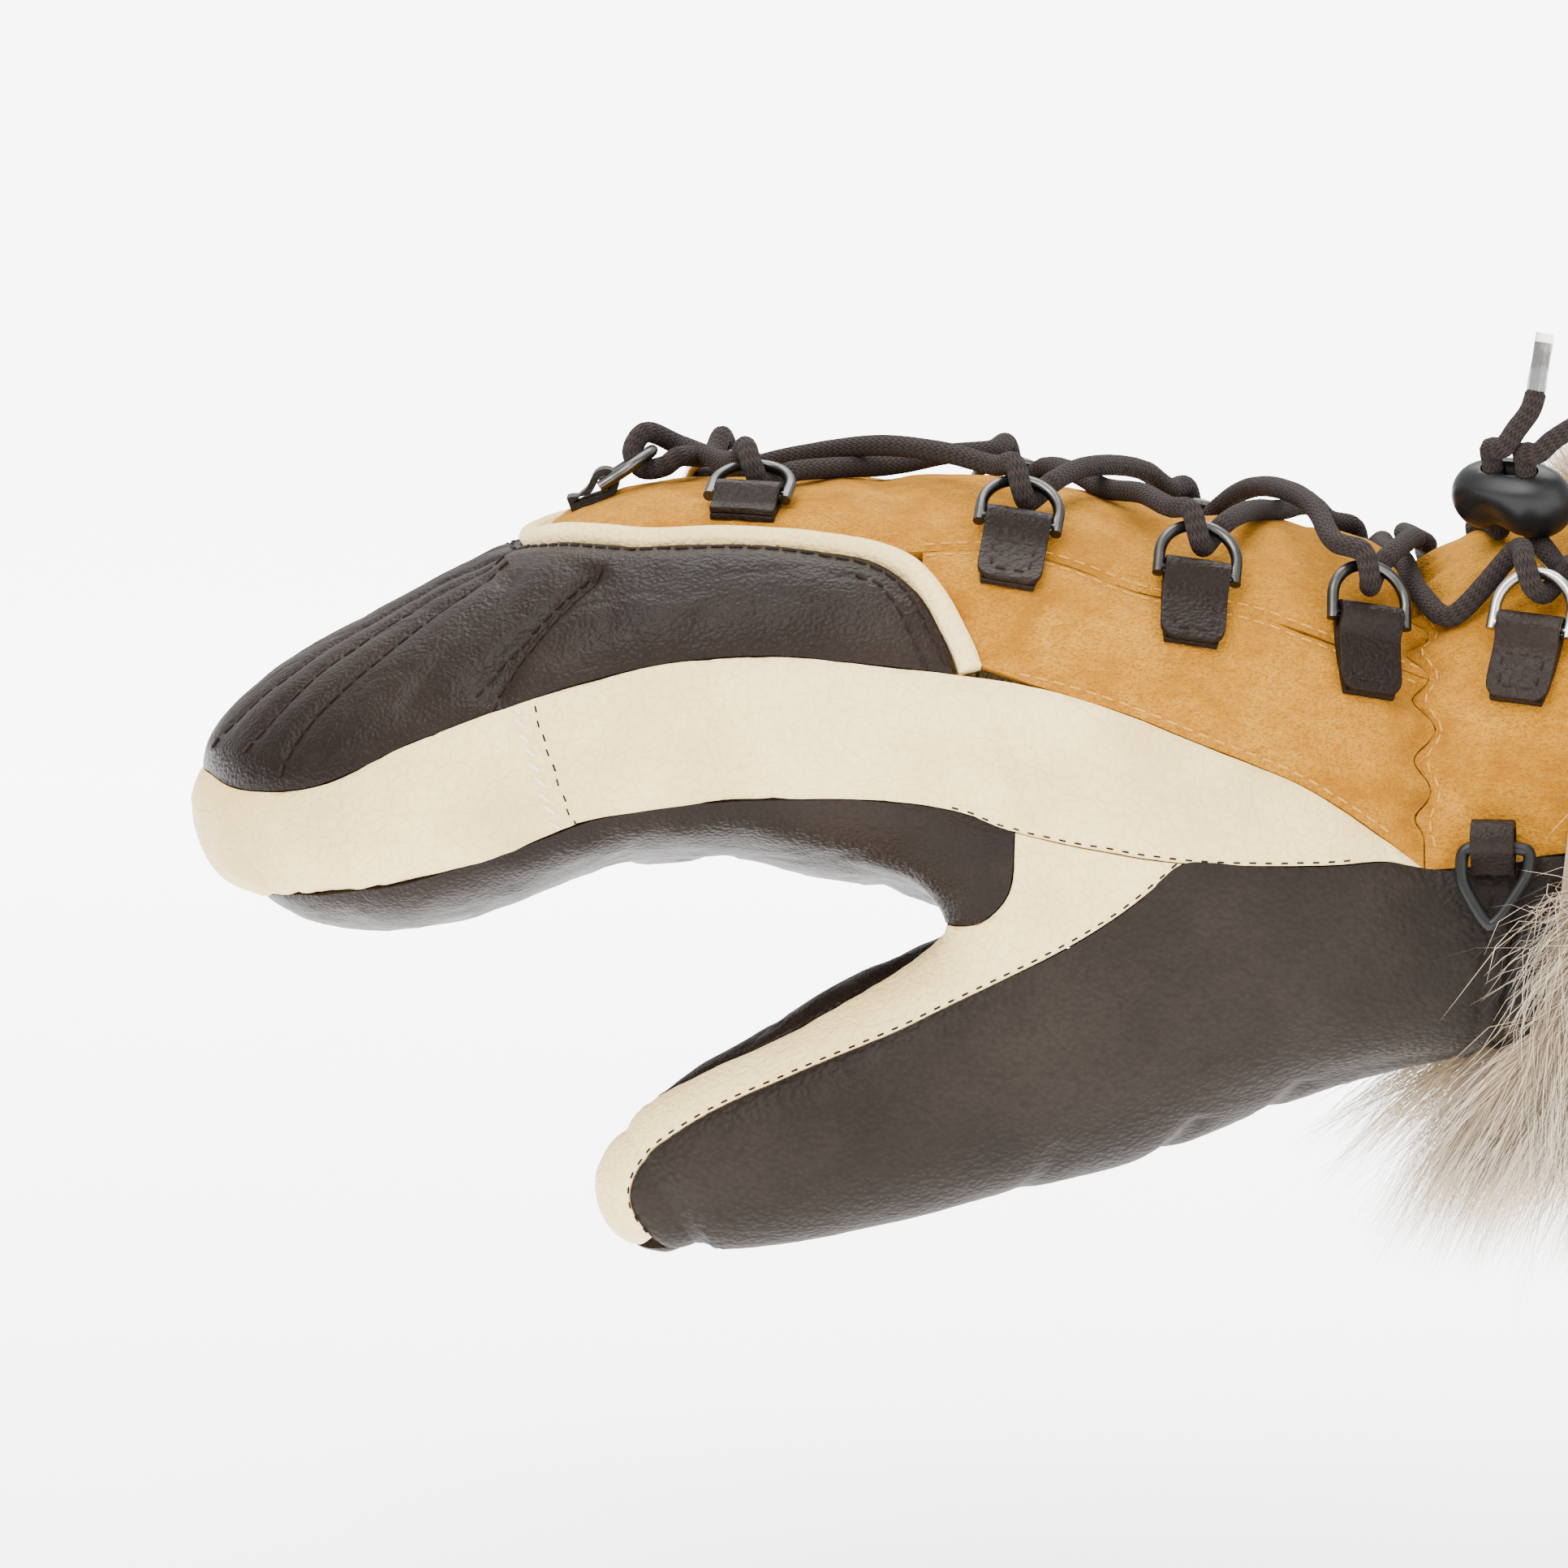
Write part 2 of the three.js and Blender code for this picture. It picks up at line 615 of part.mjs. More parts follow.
const stripInner = [...THUMB_STRIP.map((row) => settle(vec(row.innerX, row.innerY, row.innerZ))),
  sideLowPoints[STRIP_END.inner]];
const stripOuter = [...THUMB_STRIP.map((row) => settle(vec(row.outerX, row.outerY, row.outerZ))),
  sideLowPoints[STRIP_END.outer]];
const hemPoint = (turn) => onHand(hemAt(turn), turn);
const hemRow = (from, to, count) => steps(count, from, to).map(hemPoint);

function palm() {
  const corner = stripInner.length - 1;
  const nearLow = (u) => sideLow(sideRow(STRIP_END.inner * u));
  const farLow = (u) => sideLow(sideRow(-STRIP_END.inner * u));
  const across = 10;
  const behind = across - CROTCH_COLUMN;
  const rows = 13;
  const crotch = stripInner[corner - CROTCH_COLUMN];
  const last = [
    ...stripInner.slice(corner - CROTCH_COLUMN + 1).reverse(),
    ...ruled(crotch, farLow(1), handCentre(CROTCH_CENTRE), behind, DOWN),
  ];
  const grid = steps(rows, 0.03, 1).map((u) => {
    const a = nearLow(u);
    const b = farLow(u);
    const middle = (a.x + b.x) / 2;
    const centre = handCentre(Math.max(middle, FRONT_CENTRE.palm));
    const under = cast(handCentre(middle), DOWN, handDistance).sub(centre).normalize();
    return { u, row: ruled(a, b, centre, across, under, handDistance) };
  });
  const straight = grid[rows].row;
  const front = grid.map(({ u, row }) => row.map((p, j) => {
    const shift = last[j].clone().sub(straight[j]).multiplyScalar(u ** 5);
    return u === 1 ? last[j] : settle(p.clone().add(shift));
  }));
  const fold = seam(PALM_FOLD.map((row) => vec(row.x, row.y, row.z)));
  const farRear = seam([farLow(1), ...sideLowPoints.slice(STRIP_END.inner + 1).map(mirrored),
    hemPoint(FAR_HEM_TURN)]);
  const rear = steps(2 * (PALM_FOLD.length - 1)).slice(1).map((u) => {
    const a = fold(u);
    const b = farRear(u);
    const row = u === 1 ? hemRow(FOLD_TURN, FAR_HEM_TURN, behind)
      : ruled(a, b, handCentre((a.x + b.x) / 2), behind);
    return [...Array(CROTCH_COLUMN).fill(null), ...row];
  });
  return wall([...front, ...rear], LEATHER);
}

function thumbStrip() {
  const inner = seam(stripInner);
  const outer = seam(stripOuter);
  const across = 4;
  const grid = steps(stripInner.length - 1).map((u) => {
    const a = inner(u);
    const b = outer(u);
    return steps(across).map((t) => {
      if (u < 1) return settle(a.clone().lerp(b, t));
      return sideLow(sideRow(THREE.MathUtils.lerp(STRIP_END.inner, STRIP_END.outer, t)));
    });
  });
  return wall(grid, LEATHER);
}

// Leather round one side of the thumb, from an upper border down to the thumb's lower line.
function thumbPanel(border, rows, side, hemTurn) {
  const upper = seam(border);
  const lower = seam([settle(vec(...THUMB_TIP_LOW)), ...rows.map(thumbLow), hemPoint(LOW_TURN)]);
  const centres = [TIP_CENTRE, ...rows.map((q) => Math.max(q + 0.3, TIP_CENTRE)), HEM_CENTRE];
  const centreAt = monotone(centres.map((_, k) => k / (centres.length - 1)), centres);
  const across = 6;
  const grid = steps(border.length - 1).map((u) => {
    if (u === 1) return hemRow(hemTurn, LOW_TURN, across);
    const a = upper(u);
    const b = lower(u);
    const centre = thumbAt(centreAt(u));
    const via = a.clone().sub(centre).normalize().add(b.clone().sub(centre).normalize());
    via.addScaledVector(side, SIDE_PULL * (1 - via.length() / 2)).normalize();
    return ruled(a, b, centre, across, via);
  });
  return wall(grid, LEATHER);
}

function thumbOuter() {
  const border = [...stripOuter, ...sideLowPoints.slice(STRIP_END.outer + 1), onHand(...SIDE_HEM_LEAD),
    hemPoint(SIDE_HEM_TURN)];
  return thumbPanel(border, OUTER_ROWS, THUMB_SIDE, SIDE_HEM_TURN);
}

function thumbInner() {
  const border = [...stripInner.slice(0, stripInner.length - CROTCH_COLUMN),
    ...PALM_FOLD.slice(1).map((row) => settle(vec(row.x, row.y, row.z)))];
  return thumbPanel(border, INNER_ROWS, FAR_SIDE, FOLD_TURN);
}

// Half of the cuff between two angles, from its front edge to the mouth.
function cuffPanel(from, to, frontAt, thickness) {
  const grid = steps(7).map((u) => steps(12, from, to).map((turn) => (
    onHand(THREE.MathUtils.lerp(frontAt(turn), MOUTH_X, u), turn))));
  return wall(grid, thickness);
}

// Frame on the leather: origin, direction along the bar, direction out from the tab, and normal.
function frameOn(point, outward, twist) {
  const normal = formNormal(point);
  const out = outward.clone().addScaledVector(normal, -outward.dot(normal)).normalize();
  out.applyAxisAngle(normal, radians(twist));
  const along = out.clone().cross(normal);
  return { origin: point, along, out, normal };
}
const inFrame = (frame, along, out, above) => frame.origin.clone()
  .addScaledVector(frame.along, along).addScaledVector(frame.out, out)
  .addScaledVector(frame.normal, above);
const matrixOf = ({ along, out, normal, origin }) => new THREE.Matrix4()
  .makeBasis(along, out, normal).setPosition(origin);

const STRAP_HOLE = RING_WIRE / 2 + FIT;
const STRAP_ROUND = STRAP_HOLE + TAB_STRAP;

function manifoldFrom(geometry) {
  const bare = geometry.clone();
  bare.deleteAttribute("normal");
  bare.deleteAttribute("uv");
  const merged = mergeVertices(bare, 1e-4);
  return new wasm.Manifold(new wasm.Mesh({
    numProp: 3,
    vertProperties: new Float32Array(merged.attributes.position.array),
    triVerts: new Uint32Array(merged.index.array),
  }));
}

function geometryOf(solid) {
  const mesh = solid.getMesh();
  const geometry = new THREE.BufferGeometry();
  geometry.setAttribute("position", new THREE.BufferAttribute(mesh.vertProperties, 3));
  geometry.setIndex(new THREE.BufferAttribute(mesh.triVerts, 1));
  geometry.computeVertexNormals();
  return geometry;
}

// Side view of a strap folded round a bar: out from the fold along X, thickness along Y.
function strapShape(hole, round, length, pad) {
  const shape = new THREE.Shape();
  shape.moveTo(-length, -round);
  shape.lineTo(0, -round);
  const turns = steps(6, -90, 90 + 40);
  for (const turn of turns.slice(1)) {
    shape.lineTo(round * Math.cos(radians(turn)), round * Math.sin(radians(turn)));
  }
  shape.lineTo(-round * 1.35, pad - round);
  shape.lineTo(-length, pad - round);
  const eye = new THREE.Path();
  steps(8).slice(0, 8).forEach((t, k) => {
    const x = hole * Math.cos(t * 2 * Math.PI);
    const y = hole * Math.sin(t * 2 * Math.PI);
    if (k === 0) eye.moveTo(x, y);
    else eye.lineTo(x, y);
  });
  shape.holes.push(eye);
  return shape;
}

function strap(width, hole, round, length, pad) {
  const geometry = new THREE.ExtrudeGeometry(strapShape(hole, round, length, pad),
    { depth: width, bevelEnabled: false, steps: 1 });
  geometry.translate(0, 0, -width / 2);
  // The side view's X is the way out, its Y the thickness and its depth the bar's line.
  geometry.applyMatrix4(new THREE.Matrix4().makeBasis(vec(0, 1, 0), vec(0, 0, 1), vec(1, 0, 0)));
  geometry.translate(0, 0, round);
  return geometry;
}

// Wire bent along a closed flat line, mitred at its corners.
function wireLoop(points, across, radius, sides) {
  const count = points.length;
  const rings = points.map((p, i) => {
    const before = p.clone().sub(points[(i + count - 1) % count]).normalize();
    const after = points[(i + 1) % count].clone().sub(p).normalize();
    const along = before.clone().add(after).normalize();
    const side = across.clone().cross(along).normalize();
    const mitre = radius / Math.max(along.dot(after), 0.5);
    return steps(sides).slice(0, sides).map((t) => p.clone()
      .addScaledVector(side, Math.cos(t * 2 * Math.PI) * mitre)
      .addScaledVector(across, Math.sin(t * 2 * Math.PI) * radius));
  });
  const triangles = [];
  for (let i = 0; i < count; i += 1) {
    const next = (i + 1) % count;
    for (let k = 0; k < sides; k += 1) {
      const turn = (k + 1) % sides;
      triangles.push([i * sides + k, next * sides + k, next * sides + turn]);
      triangles.push([i * sides + k, next * sides + turn, i * sides + turn]);
    }
  }
  return geometryFrom(rings.flat(), triangles);
}

// Outline of a D ring in its own plane: bar along the first axis, bow out along the second.
function ringOutline() {
  const half = (RING_WIDTH - RING_WIRE) / 2;
  const rise = RING_DEPTH - RING_WIRE;
  const shoulder = 3;
  const bow = steps(7, 0, Math.PI).map((angle) => [half * Math.cos(angle),
    shoulder + (rise - shoulder) * Math.sin(angle)]);
  return [[-half, 0], [half, 0], ...bow];
}

function ringPlace(row, side) {
  const x = row.x + (side > 0 ? row.farShift : 0);
  const turn = -side * row.turn;
  const bar = onHand(x, turn);
  const crest = onHand(x, turn * 0.8);
  const rough = frameOn(bar, crest.clone().sub(bar), 0);
  const middle = settle(inFrame(rough, 0, -row.tab / 2, 0));
  const twist = side > 0 ? row.twist : -row.twist;
  const seat = frameOn(middle, bar.clone().sub(middle), twist);
  return placeParts(seat, row.tab, side, RING_TILT);
}

function placeParts(seat, tab, side, lean) {
  const lifted = { ...seat, origin: inFrame(seat, 0, tab / 2, TAB_LIFT) };
  const bar = inFrame(lifted, 0, 0, STRAP_ROUND);
  const tilt = radians(lean);
  const ring = {
    origin: bar,
    along: seat.along.clone().multiplyScalar(side > 0 ? -1 : 1),
    out: seat.out.clone().multiplyScalar(Math.cos(tilt)).addScaledVector(seat.normal, Math.sin(tilt)),
    normal: seat.normal.clone().multiplyScalar(Math.cos(tilt)).addScaledVector(seat.out, -Math.sin(tilt)),
  };
  return { tab: lifted, ring, length: tab };
}

function frontPlace() {
  const bar = onHand(FRONT_RING.x, 0);
  const middle = onHand(FRONT_RING.x - FRONT_RING.tab / 2, 0);
  return placeParts(frameOn(middle, bar.clone().sub(middle), 0), FRONT_RING.tab, -1, FRONT_RING.tilt);
}

const places = { front: frontPlace(), near: [], far: [] };
for (const row of LACING) {
  places.near.push(ringPlace(row, -1));
  places.far.push(ringPlace(row, 1));
}

function tabGeometry(place) {
  const geometry = strap(TAB_WIDTH, STRAP_HOLE, STRAP_ROUND, place.length, TAB_THICKNESS);
  return geometry.applyMatrix4(matrixOf(place.tab));
}

function ringGeometry(place) {
  const points = ringOutline().map(([along, out]) => inFrame(place.ring, along, out, 0));
  return wireLoop(points, place.ring.normal, RING_WIRE / 2, 5);
}

// Curve whose steps fall on its knots, so that tight bends get short steps.
class KnotCurve extends THREE.CatmullRomCurve3 {
  getPointAt(u, target) {
    return this.getPoint(u, target);
  }

  getTangentAt(u, target) {
    return this.getTangent(u, target);
  }
}

function cordGeometry(points, diameter, perKnot = 1) {
  const curve = new KnotCurve(points, false, "centripetal");
  const section = new THREE.Shape(steps(LACE_SIDES).slice(0, LACE_SIDES).map((t) => new THREE.Vector2(
    (diameter / 2) * Math.cos(t * 2 * Math.PI), (diameter / 2) * Math.sin(t * 2 * Math.PI))));
  return new THREE.ExtrudeGeometry(section, { extrudePath: curve, steps: (points.length - 1) * perKnot,
    bevelEnabled: false });
}

// The lock's own directions: along its length, up through its bores, and out of its face.
const lockUp = vec(-0.14, -0.52, 0.85).normalize();
const lockLong = vec(0.9, -0.38, -0.15);
lockLong.addScaledVector(lockUp, -lockLong.dot(lockUp)).normalize();
const lockDeep = lockLong.clone().cross(lockUp);
const lockCentre = vec(LOCK.x, LOCK.y, LOCK.z);
const boreAt = (side, height) => lockCentre.clone()
  .addScaledVector(lockLong, (side * LOCK.boreSpread) / 2).addScaledVector(lockUp, height);

function cordLock() {
  const body = new THREE.SphereGeometry(1, 12, 8);
  body.scale(LOCK.long / 2, LOCK.tall / 2, LOCK.deep / 2);
  body.applyMatrix4(new THREE.Matrix4().makeBasis(lockLong, lockUp, lockDeep).setPosition(lockCentre));
  let solid = manifoldFrom(body);
  for (const side of [-1, 1]) {
    const bore = new THREE.CylinderGeometry(LACE_DIAMETER / 2 + FIT, LACE_DIAMETER / 2 + FIT,
      LOCK.tall * 1.4, 10);
    bore.applyMatrix4(new THREE.Matrix4().makeBasis(lockLong, lockUp, lockDeep)
      .setPosition(boreAt(side, 0)));
    solid = solid.subtract(manifoldFrom(bore));
  }
  // The underside is hollowed where the lace turns out of each bore.
  const route = lacePoints();
  for (const stretch of [route.slice(0, 6), route.slice(-5)]) {
    solid = solid.subtract(manifoldFrom(cordGeometry(stretch, LACE_DIAMETER + 3 * FIT)));
  }
  return geometryOf(solid);
}

// Lace from one bore of the lock, down the zigzag to the front ring and back up to the other bore
function passThrough(ring, reversed) {
  const points = RING_PASS.map((row) => inFrame(ring, row.along, row.out, row.above));
  return reversed ? points.reverse() : points;
}

// Lace across the tongue between two rings. Of two crossing strands one lies on the suede and
// the other runs taut above it.
function bridge(from, to, above) {
  const least = LACE_DIAMETER / 2 + LACE_REST;
  const crest = least + (above ? LACE_DIAMETER + FIT : 0);
  const ends = [formDistance(from), formDistance(to)];
  return [0.22, 0.5, 0.78].map((t, k) => {
    const p = from.clone().lerp(to, t);
    const low = Math.max(k === 1 ? crest : (crest + ends[k / 2]) / 2, least);
    const rise = above ? Math.max(formDistance(p), low) : low;
    const foot = settle(p);
    return foot.addScaledVector(formNormal(foot), rise);
  });
}

function laidLace({ x, turn }) {
  const p = onHand(x, turn);
  return p.addScaledVector(formNormal(p), LACE_DIAMETER / 2 + LACE_REST);
}

function laceHalf(firstSide) {
  const points = [];
  let side = firstSide;
  LACING.forEach((row, k) => {
    const ring = (side < 0 ? places.near : places.far)[k].ring;
    if (k > 0) {
      const start = points[points.length - 1];
      const entry = inFrame(ring, RING_PASS[0].along, RING_PASS[0].out, RING_PASS[0].above);
      const fromThumbSide = side > 0;
      const above = LACING[k - 1].thumbSideAbove === fromThumbSide;
      const sags = k === LACING.length - 1 && !fromThumbSide;
      points.push(...(sags ? SAGGING_STRAND.map(laidLace) : bridge(start, entry, above)));
    }
    points.push(...passThrough(ring, false));
    side = -side;
  });
  return points;
}

function lacePoints() {
  const nearStart = laceHalf(-1);
  const farStart = laceHalf(1);
  const front = passThrough(places.front.ring, false);
  const rise = LACE_IN_LOCK.map((height) => height - LOCK.tall / 2);
  const [nearBore, farBore] = [1, -1].map((end) => rise.map((height) => boreAt(end, height)));
  const nearEnd = nearStart[nearStart.length - 1];
  const farEnd = farStart[farStart.length - 1];
  const toNear = LOCK_REACH.map((t) => overTongue(nearBore[1], nearEnd, t));
  const toFar = LOCK_REACH.map((t) => overTongue(farEnd, farBore[1], t));
  return [...nearBore, ...toNear, ...nearStart.reverse(), ...front, ...farStart, ...toFar,
    ...farBore.reverse()];
}

function overTongue(from, to, t) {
  const p = settle(from.clone().lerp(to, t));
  return p.addScaledVector(formNormal(p), LACE_DIAMETER / 2 + LACE_REST);
}

function endCord(side, list) {
  const start = [-LOCK.tall / 2 + END_IN_LOCK, 0, LOCK.tall / 2, LOCK.tall / 2 + BORE_LEAD]
    .map((height) => boreAt(side, height));
  return cordGeometry([...start, ...list.map((p) => vec(...p))], LACE_DIAMETER);
}

function lacePart() {
  return cordGeometry(lacePoints(), LACE_DIAMETER);
}

function tipGeometry(list) {
  const [from, to] = list.map((p) => vec(...p));
  const length = from.distanceTo(to);
  const geometry = new THREE.CylinderGeometry(1.5, 1.7, length, 8);
  const turn = new THREE.Quaternion().setFromUnitVectors(vec(0, 1, 0), to.clone().sub(from).normalize());
  geometry.applyQuaternion(turn);
  return geometry.translate(...from.clone().lerp(to, 0.5).toArray());
}

// Hang loop sewn into the seam at the wrist, with its triangular ring
const hangSeat = (() => {
  const seatPoint = onHand(-62.4, 94);
  const normal = formNormal(seatPoint);
  const up = UP.clone().addScaledVector(normal, -normal.z).normalize();
  return { origin: seatPoint, along: up.clone().cross(normal), out: up, normal };
})();
function hangTab() {
  const geometry = strap(HANG_WIDTH, HANG_HOLE, HANG_ROUND, HANG_ROUND + 1.2, TAB_STRAP * 1.5);
  const frame = { ...hangSeat, origin: inFrame(hangSeat, 0, 0, HANG_LIFT) };
  return geometry.applyMatrix4(matrixOf(frame));
}

function hangRing() {
  const drop = HANG_HOLE - HANG_WIRE / 2 - FIT;
  const centre = inFrame(hangSeat, 0.5, -drop, HANG_LIFT + HANG_ROUND);
  const frame = { ...hangSeat, origin: centre };
  const outline = [[-5.7, 0], [5.7, 0], [5.5, -4.5], [-0.6, -14], [-5.6, -6]];
  const points = outline.map(([along, out]) => inFrame(frame, along, out, 0));
  return wireLoop(points, hangSeat.normal, HANG_WIRE / 2, 6);
}

// Fur round the mouth: how low a place on the cuff is, and how far the fur stands out there
const lowness = (turn) => (1 - Math.cos(radians(turn))) / 2;
const furFront = (turn) => THREE.MathUtils.lerp(FUR_EDGE.topX, FUR_EDGE.lowX, lowness(turn));
const furReach = (turn) => THREE.MathUtils.lerp(FUR_REACH.top, FUR_REACH.low, lowness(turn) ** 1.4);

function furBacking() {
  const count = 26;
  const rings = steps(count, 0, 360).slice(0, count).map((turn) => {
    const rows = [0, 0.33, 0.7, 1].map((t) => THREE.MathUtils.lerp(furFront(turn), FUR_EDGE.rearX, t));
    const surface = rows.map((x) => onHand(x, turn));
    const full = [0.12, 1, 0.9, 0.12].map((share) => FUR_BACKING + share * FUR_FULLNESS * furReach(turn));
    const under = surface.map((p) => p.clone().addScaledVector(formNormal(p), FUR_CLEARANCE));
    const over = surface.map((p, k) => p.clone().addScaledVector(formNormal(p), full[k]));
    return [...under, ...over.reverse()];
  });
  const sides = rings[0].length;
  const triangles = [];
  rings.forEach((_, i) => {
    const next = (i + 1) % rings.length;
    for (let k = 0; k < sides; k += 1) {
      const turn = (k + 1) % sides;
      triangles.push([i * sides + k, next * sides + k, next * sides + turn]);
      triangles.push([i * sides + k, next * sides + turn, i * sides + turn]);
    }
  });
  return geometryFrom(rings.flat(), triangles);
}

// One lock: a broad oval root on the band that bends over and runs out to a point.
function furLock(turn, row) {
  const root = onHand(THREE.MathUtils.lerp(furFront(turn), FUR_EDGE.rearX, row.part), turn);
  const normal = formNormal(root);
  const reach = furReach(turn) * row.scale;
  const heading = normal.clone().add(vec(row.lean, 0, -0.5 * lowness(turn))).normalize();
  const sideways = vec(1, 0, 0).cross(normal).normalize();
  const sides = 5;
  const oval = (share, facing, size) => {
    const centre = root.clone().addScaledVector(normal, FUR_BACKING * 0.7 + reach * share * (1 - share) * 0.6)
      .addScaledVector(heading, reach * share);
    const forward = facing.clone().cross(sideways).normalize();
    return steps(sides).slice(0, sides).map((part) => centre.clone()
      .addScaledVector(sideways, Math.cos(part * 2 * Math.PI) * LOCK_SIZE.wide * size)
      .addScaledVector(forward, Math.sin(part * 2 * Math.PI) * LOCK_SIZE.thick * size));
  };
  const base = oval(0, normal, 1);
  const points = [...base, ...oval(0.45, heading, 0.85), ...oval(0.8, heading, 0.45)];
  const tip = points.push(root.clone().addScaledVector(normal, FUR_BACKING).addScaledVector(heading, reach))
    - 1;
  const foot = points.push(root.clone().addScaledVector(normal, FUR_BACKING * 0.7)) - 1;
  const triangles = [];
  for (let k = 0; k < sides; k += 1) {
    const next = (k + 1) % sides;
    triangles.push([foot, next, k], [2 * sides + k, 2 * sides + next, tip]);
    for (const ring of [0, sides]) {
      triangles.push([ring + k, ring + next, ring + sides + next]);
      triangles.push([ring + k, ring + sides + next, ring + sides + k]);
    }
  }
  return geometryFrom(points, triangles);
}

function furTrim() {
  let solid = manifoldFrom(furBacking());
  for (const row of FUR_ROWS) {
    for (let k = 0; k < FUR_LOCKS; k += 1) {
      const turn = ((k + row.shift) * 360) / FUR_LOCKS;
      solid = solid.add(manifoldFrom(furLock(turn, row)));
    }
  }
  return geometryOf(solid);
}

// Assembly
const mitten = new THREE.Group();
function add(name, geometry, finish) {
  const mesh = new THREE.Mesh(geometry, new THREE.MeshStandardMaterial(finish));
  mesh.name = name;
  mitten.add(mesh);
}

add("toe_cap", toeCap(), COLOURS.darkLeather);
add("piping", pipingBand(), COLOURS.creamLeather);
add("side_wall", sideWall(), COLOURS.creamLeather);
add("palm", palm(), COLOURS.darkLeather);
add("suede_tongue", tongue(), COLOURS.suede);
add("suede_side_near", suedeSide(1), COLOURS.suede);
add("suede_side_far", suedeSide(-1), COLOURS.suede);
add("cuff_suede", cuffPanel(SUEDE_TURN, -SUEDE_TURN, () => WRIST_X, SUEDE), COLOURS.suede);
add("cuff_leather", cuffPanel(SIDE_HEM_TURN, FAR_HEM_TURN, (turn) => hemAt(turn) + HEM_GAP, SUEDE),
  COLOURS.darkLeather);
add("thumb_outer", thumbOuter(), COLOURS.darkLeather);
add("thumb_strip", thumbStrip(), COLOURS.creamLeather);
add("thumb_inner", thumbInner(), COLOURS.darkLeather);
add("tab_front", tabGeometry(places.front), COLOURS.darkLeather);
add("d_ring_front", ringGeometry(places.front), COLOURS.gunmetal);
LACING.forEach((_, k) => {
  add(`tab_near_${k + 1}`, tabGeometry(places.near[k]), COLOURS.darkLeather);
  add(`tab_far_${k + 1}`, tabGeometry(places.far[k]), COLOURS.darkLeather);
  add(`d_ring_near_${k + 1}`, ringGeometry(places.near[k]), COLOURS.gunmetal);
  add(`d_ring_far_${k + 1}`, ringGeometry(places.far[k]), COLOURS.gunmetal);
});
add("lace", lacePart(), COLOURS.lace);
add("cord_lock", cordLock(), COLOURS.blackPlastic);
add("lace_end_short", endCord(-1, SHORT_END), COLOURS.lace);
add("lace_end_long", endCord(1, LONG_END), COLOURS.lace);
add("aglet_short", tipGeometry(SHORT_TIP), COLOURS.clearTip);
add("aglet_long", tipGeometry(LONG_TIP), COLOURS.clearTip);
add("hang_tab", hangTab(), COLOURS.darkLeather);
add("hang_ring", hangRing(), COLOURS.blackPlastic);
add("fur_trim", furTrim(), COLOURS.fur);

export default mitten;
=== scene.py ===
"""Laced leather mitten: dark toe cap, cream side wall, suede back, lace through D rings, fur cuff.

Shapes are worked out in millimetres in the model's own frame and written to the meshes in metres.
"""

import json
import logging
import math
from dataclasses import dataclass, field
from enum import Enum
from typing import Callable, Optional, Sequence

import bmesh
import bpy
import numpy as np
from mathutils import Matrix, Vector
from mathutils.bvhtree import BVHTree
from mathutils.kdtree import KDTree

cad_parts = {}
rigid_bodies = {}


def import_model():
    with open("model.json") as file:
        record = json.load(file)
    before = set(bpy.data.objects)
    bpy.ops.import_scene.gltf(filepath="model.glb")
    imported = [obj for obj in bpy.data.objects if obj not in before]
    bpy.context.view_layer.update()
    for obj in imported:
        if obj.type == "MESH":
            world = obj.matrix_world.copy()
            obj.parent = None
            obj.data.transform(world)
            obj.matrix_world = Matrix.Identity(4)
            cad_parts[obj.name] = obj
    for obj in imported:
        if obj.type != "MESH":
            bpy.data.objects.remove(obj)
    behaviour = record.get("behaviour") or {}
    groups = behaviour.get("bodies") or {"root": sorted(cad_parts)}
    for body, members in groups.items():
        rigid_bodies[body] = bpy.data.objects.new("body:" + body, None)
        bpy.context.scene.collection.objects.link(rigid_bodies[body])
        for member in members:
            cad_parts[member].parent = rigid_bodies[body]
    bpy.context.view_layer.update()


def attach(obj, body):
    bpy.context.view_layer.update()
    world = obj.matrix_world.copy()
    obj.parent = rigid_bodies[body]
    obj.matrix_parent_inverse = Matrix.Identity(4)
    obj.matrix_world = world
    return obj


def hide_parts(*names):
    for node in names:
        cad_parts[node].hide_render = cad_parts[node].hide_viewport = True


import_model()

Array = np.ndarray
Relief = Callable[[Array, Array], Array]
LOG = logging.getLogger("mitten")
MM = 0.001
BODY = "root"

TOE_X = -280.0
WRIST_X = -74.0
MOUTH_X = 0.0
LEATHER = 2.6
SUEDE = 2.2
SEAM_GAP = 0.12
# The wrist seam's gathers: waves a turn, where one starts, and its sway in millimetres.
PUCKER_RATE, PUCKER_START, PUCKER_SWAY = 26.7, 70.6, 1.5
CROWN_ROUNDNESS = 2.25
BELLY_ROUNDNESS = 2.4
FOLD_FILLET = 7.0
SIDE_FILLET = 34.0
FILLET_FROM = -26.0
FILLET_TO = -48.0
PIPING_WIDTH = 4.0
PIPING_LIFT = 1.9
LACE_DIAMETER = 3.6
LACE_REST = 0.5
FIT = 0.3
RING_WIRE = 2.0
RING_WIDTH = 15.0
TAB_WIDTH = 11.0
LONG_TAB = 9.0
TAB_PLY = 1.15
TAB_LIFT = 0.45
STRAP_HOLE = RING_WIRE / 2 + FIT
STRAP_ROUND = STRAP_HOLE + 1.2
HANG_WIRE = 2.2
HANG_HOLE = 2.5
HANG_ROUND = 3.7
HANG_WIDTH = 7.2
HANG_LIFT = 0.5

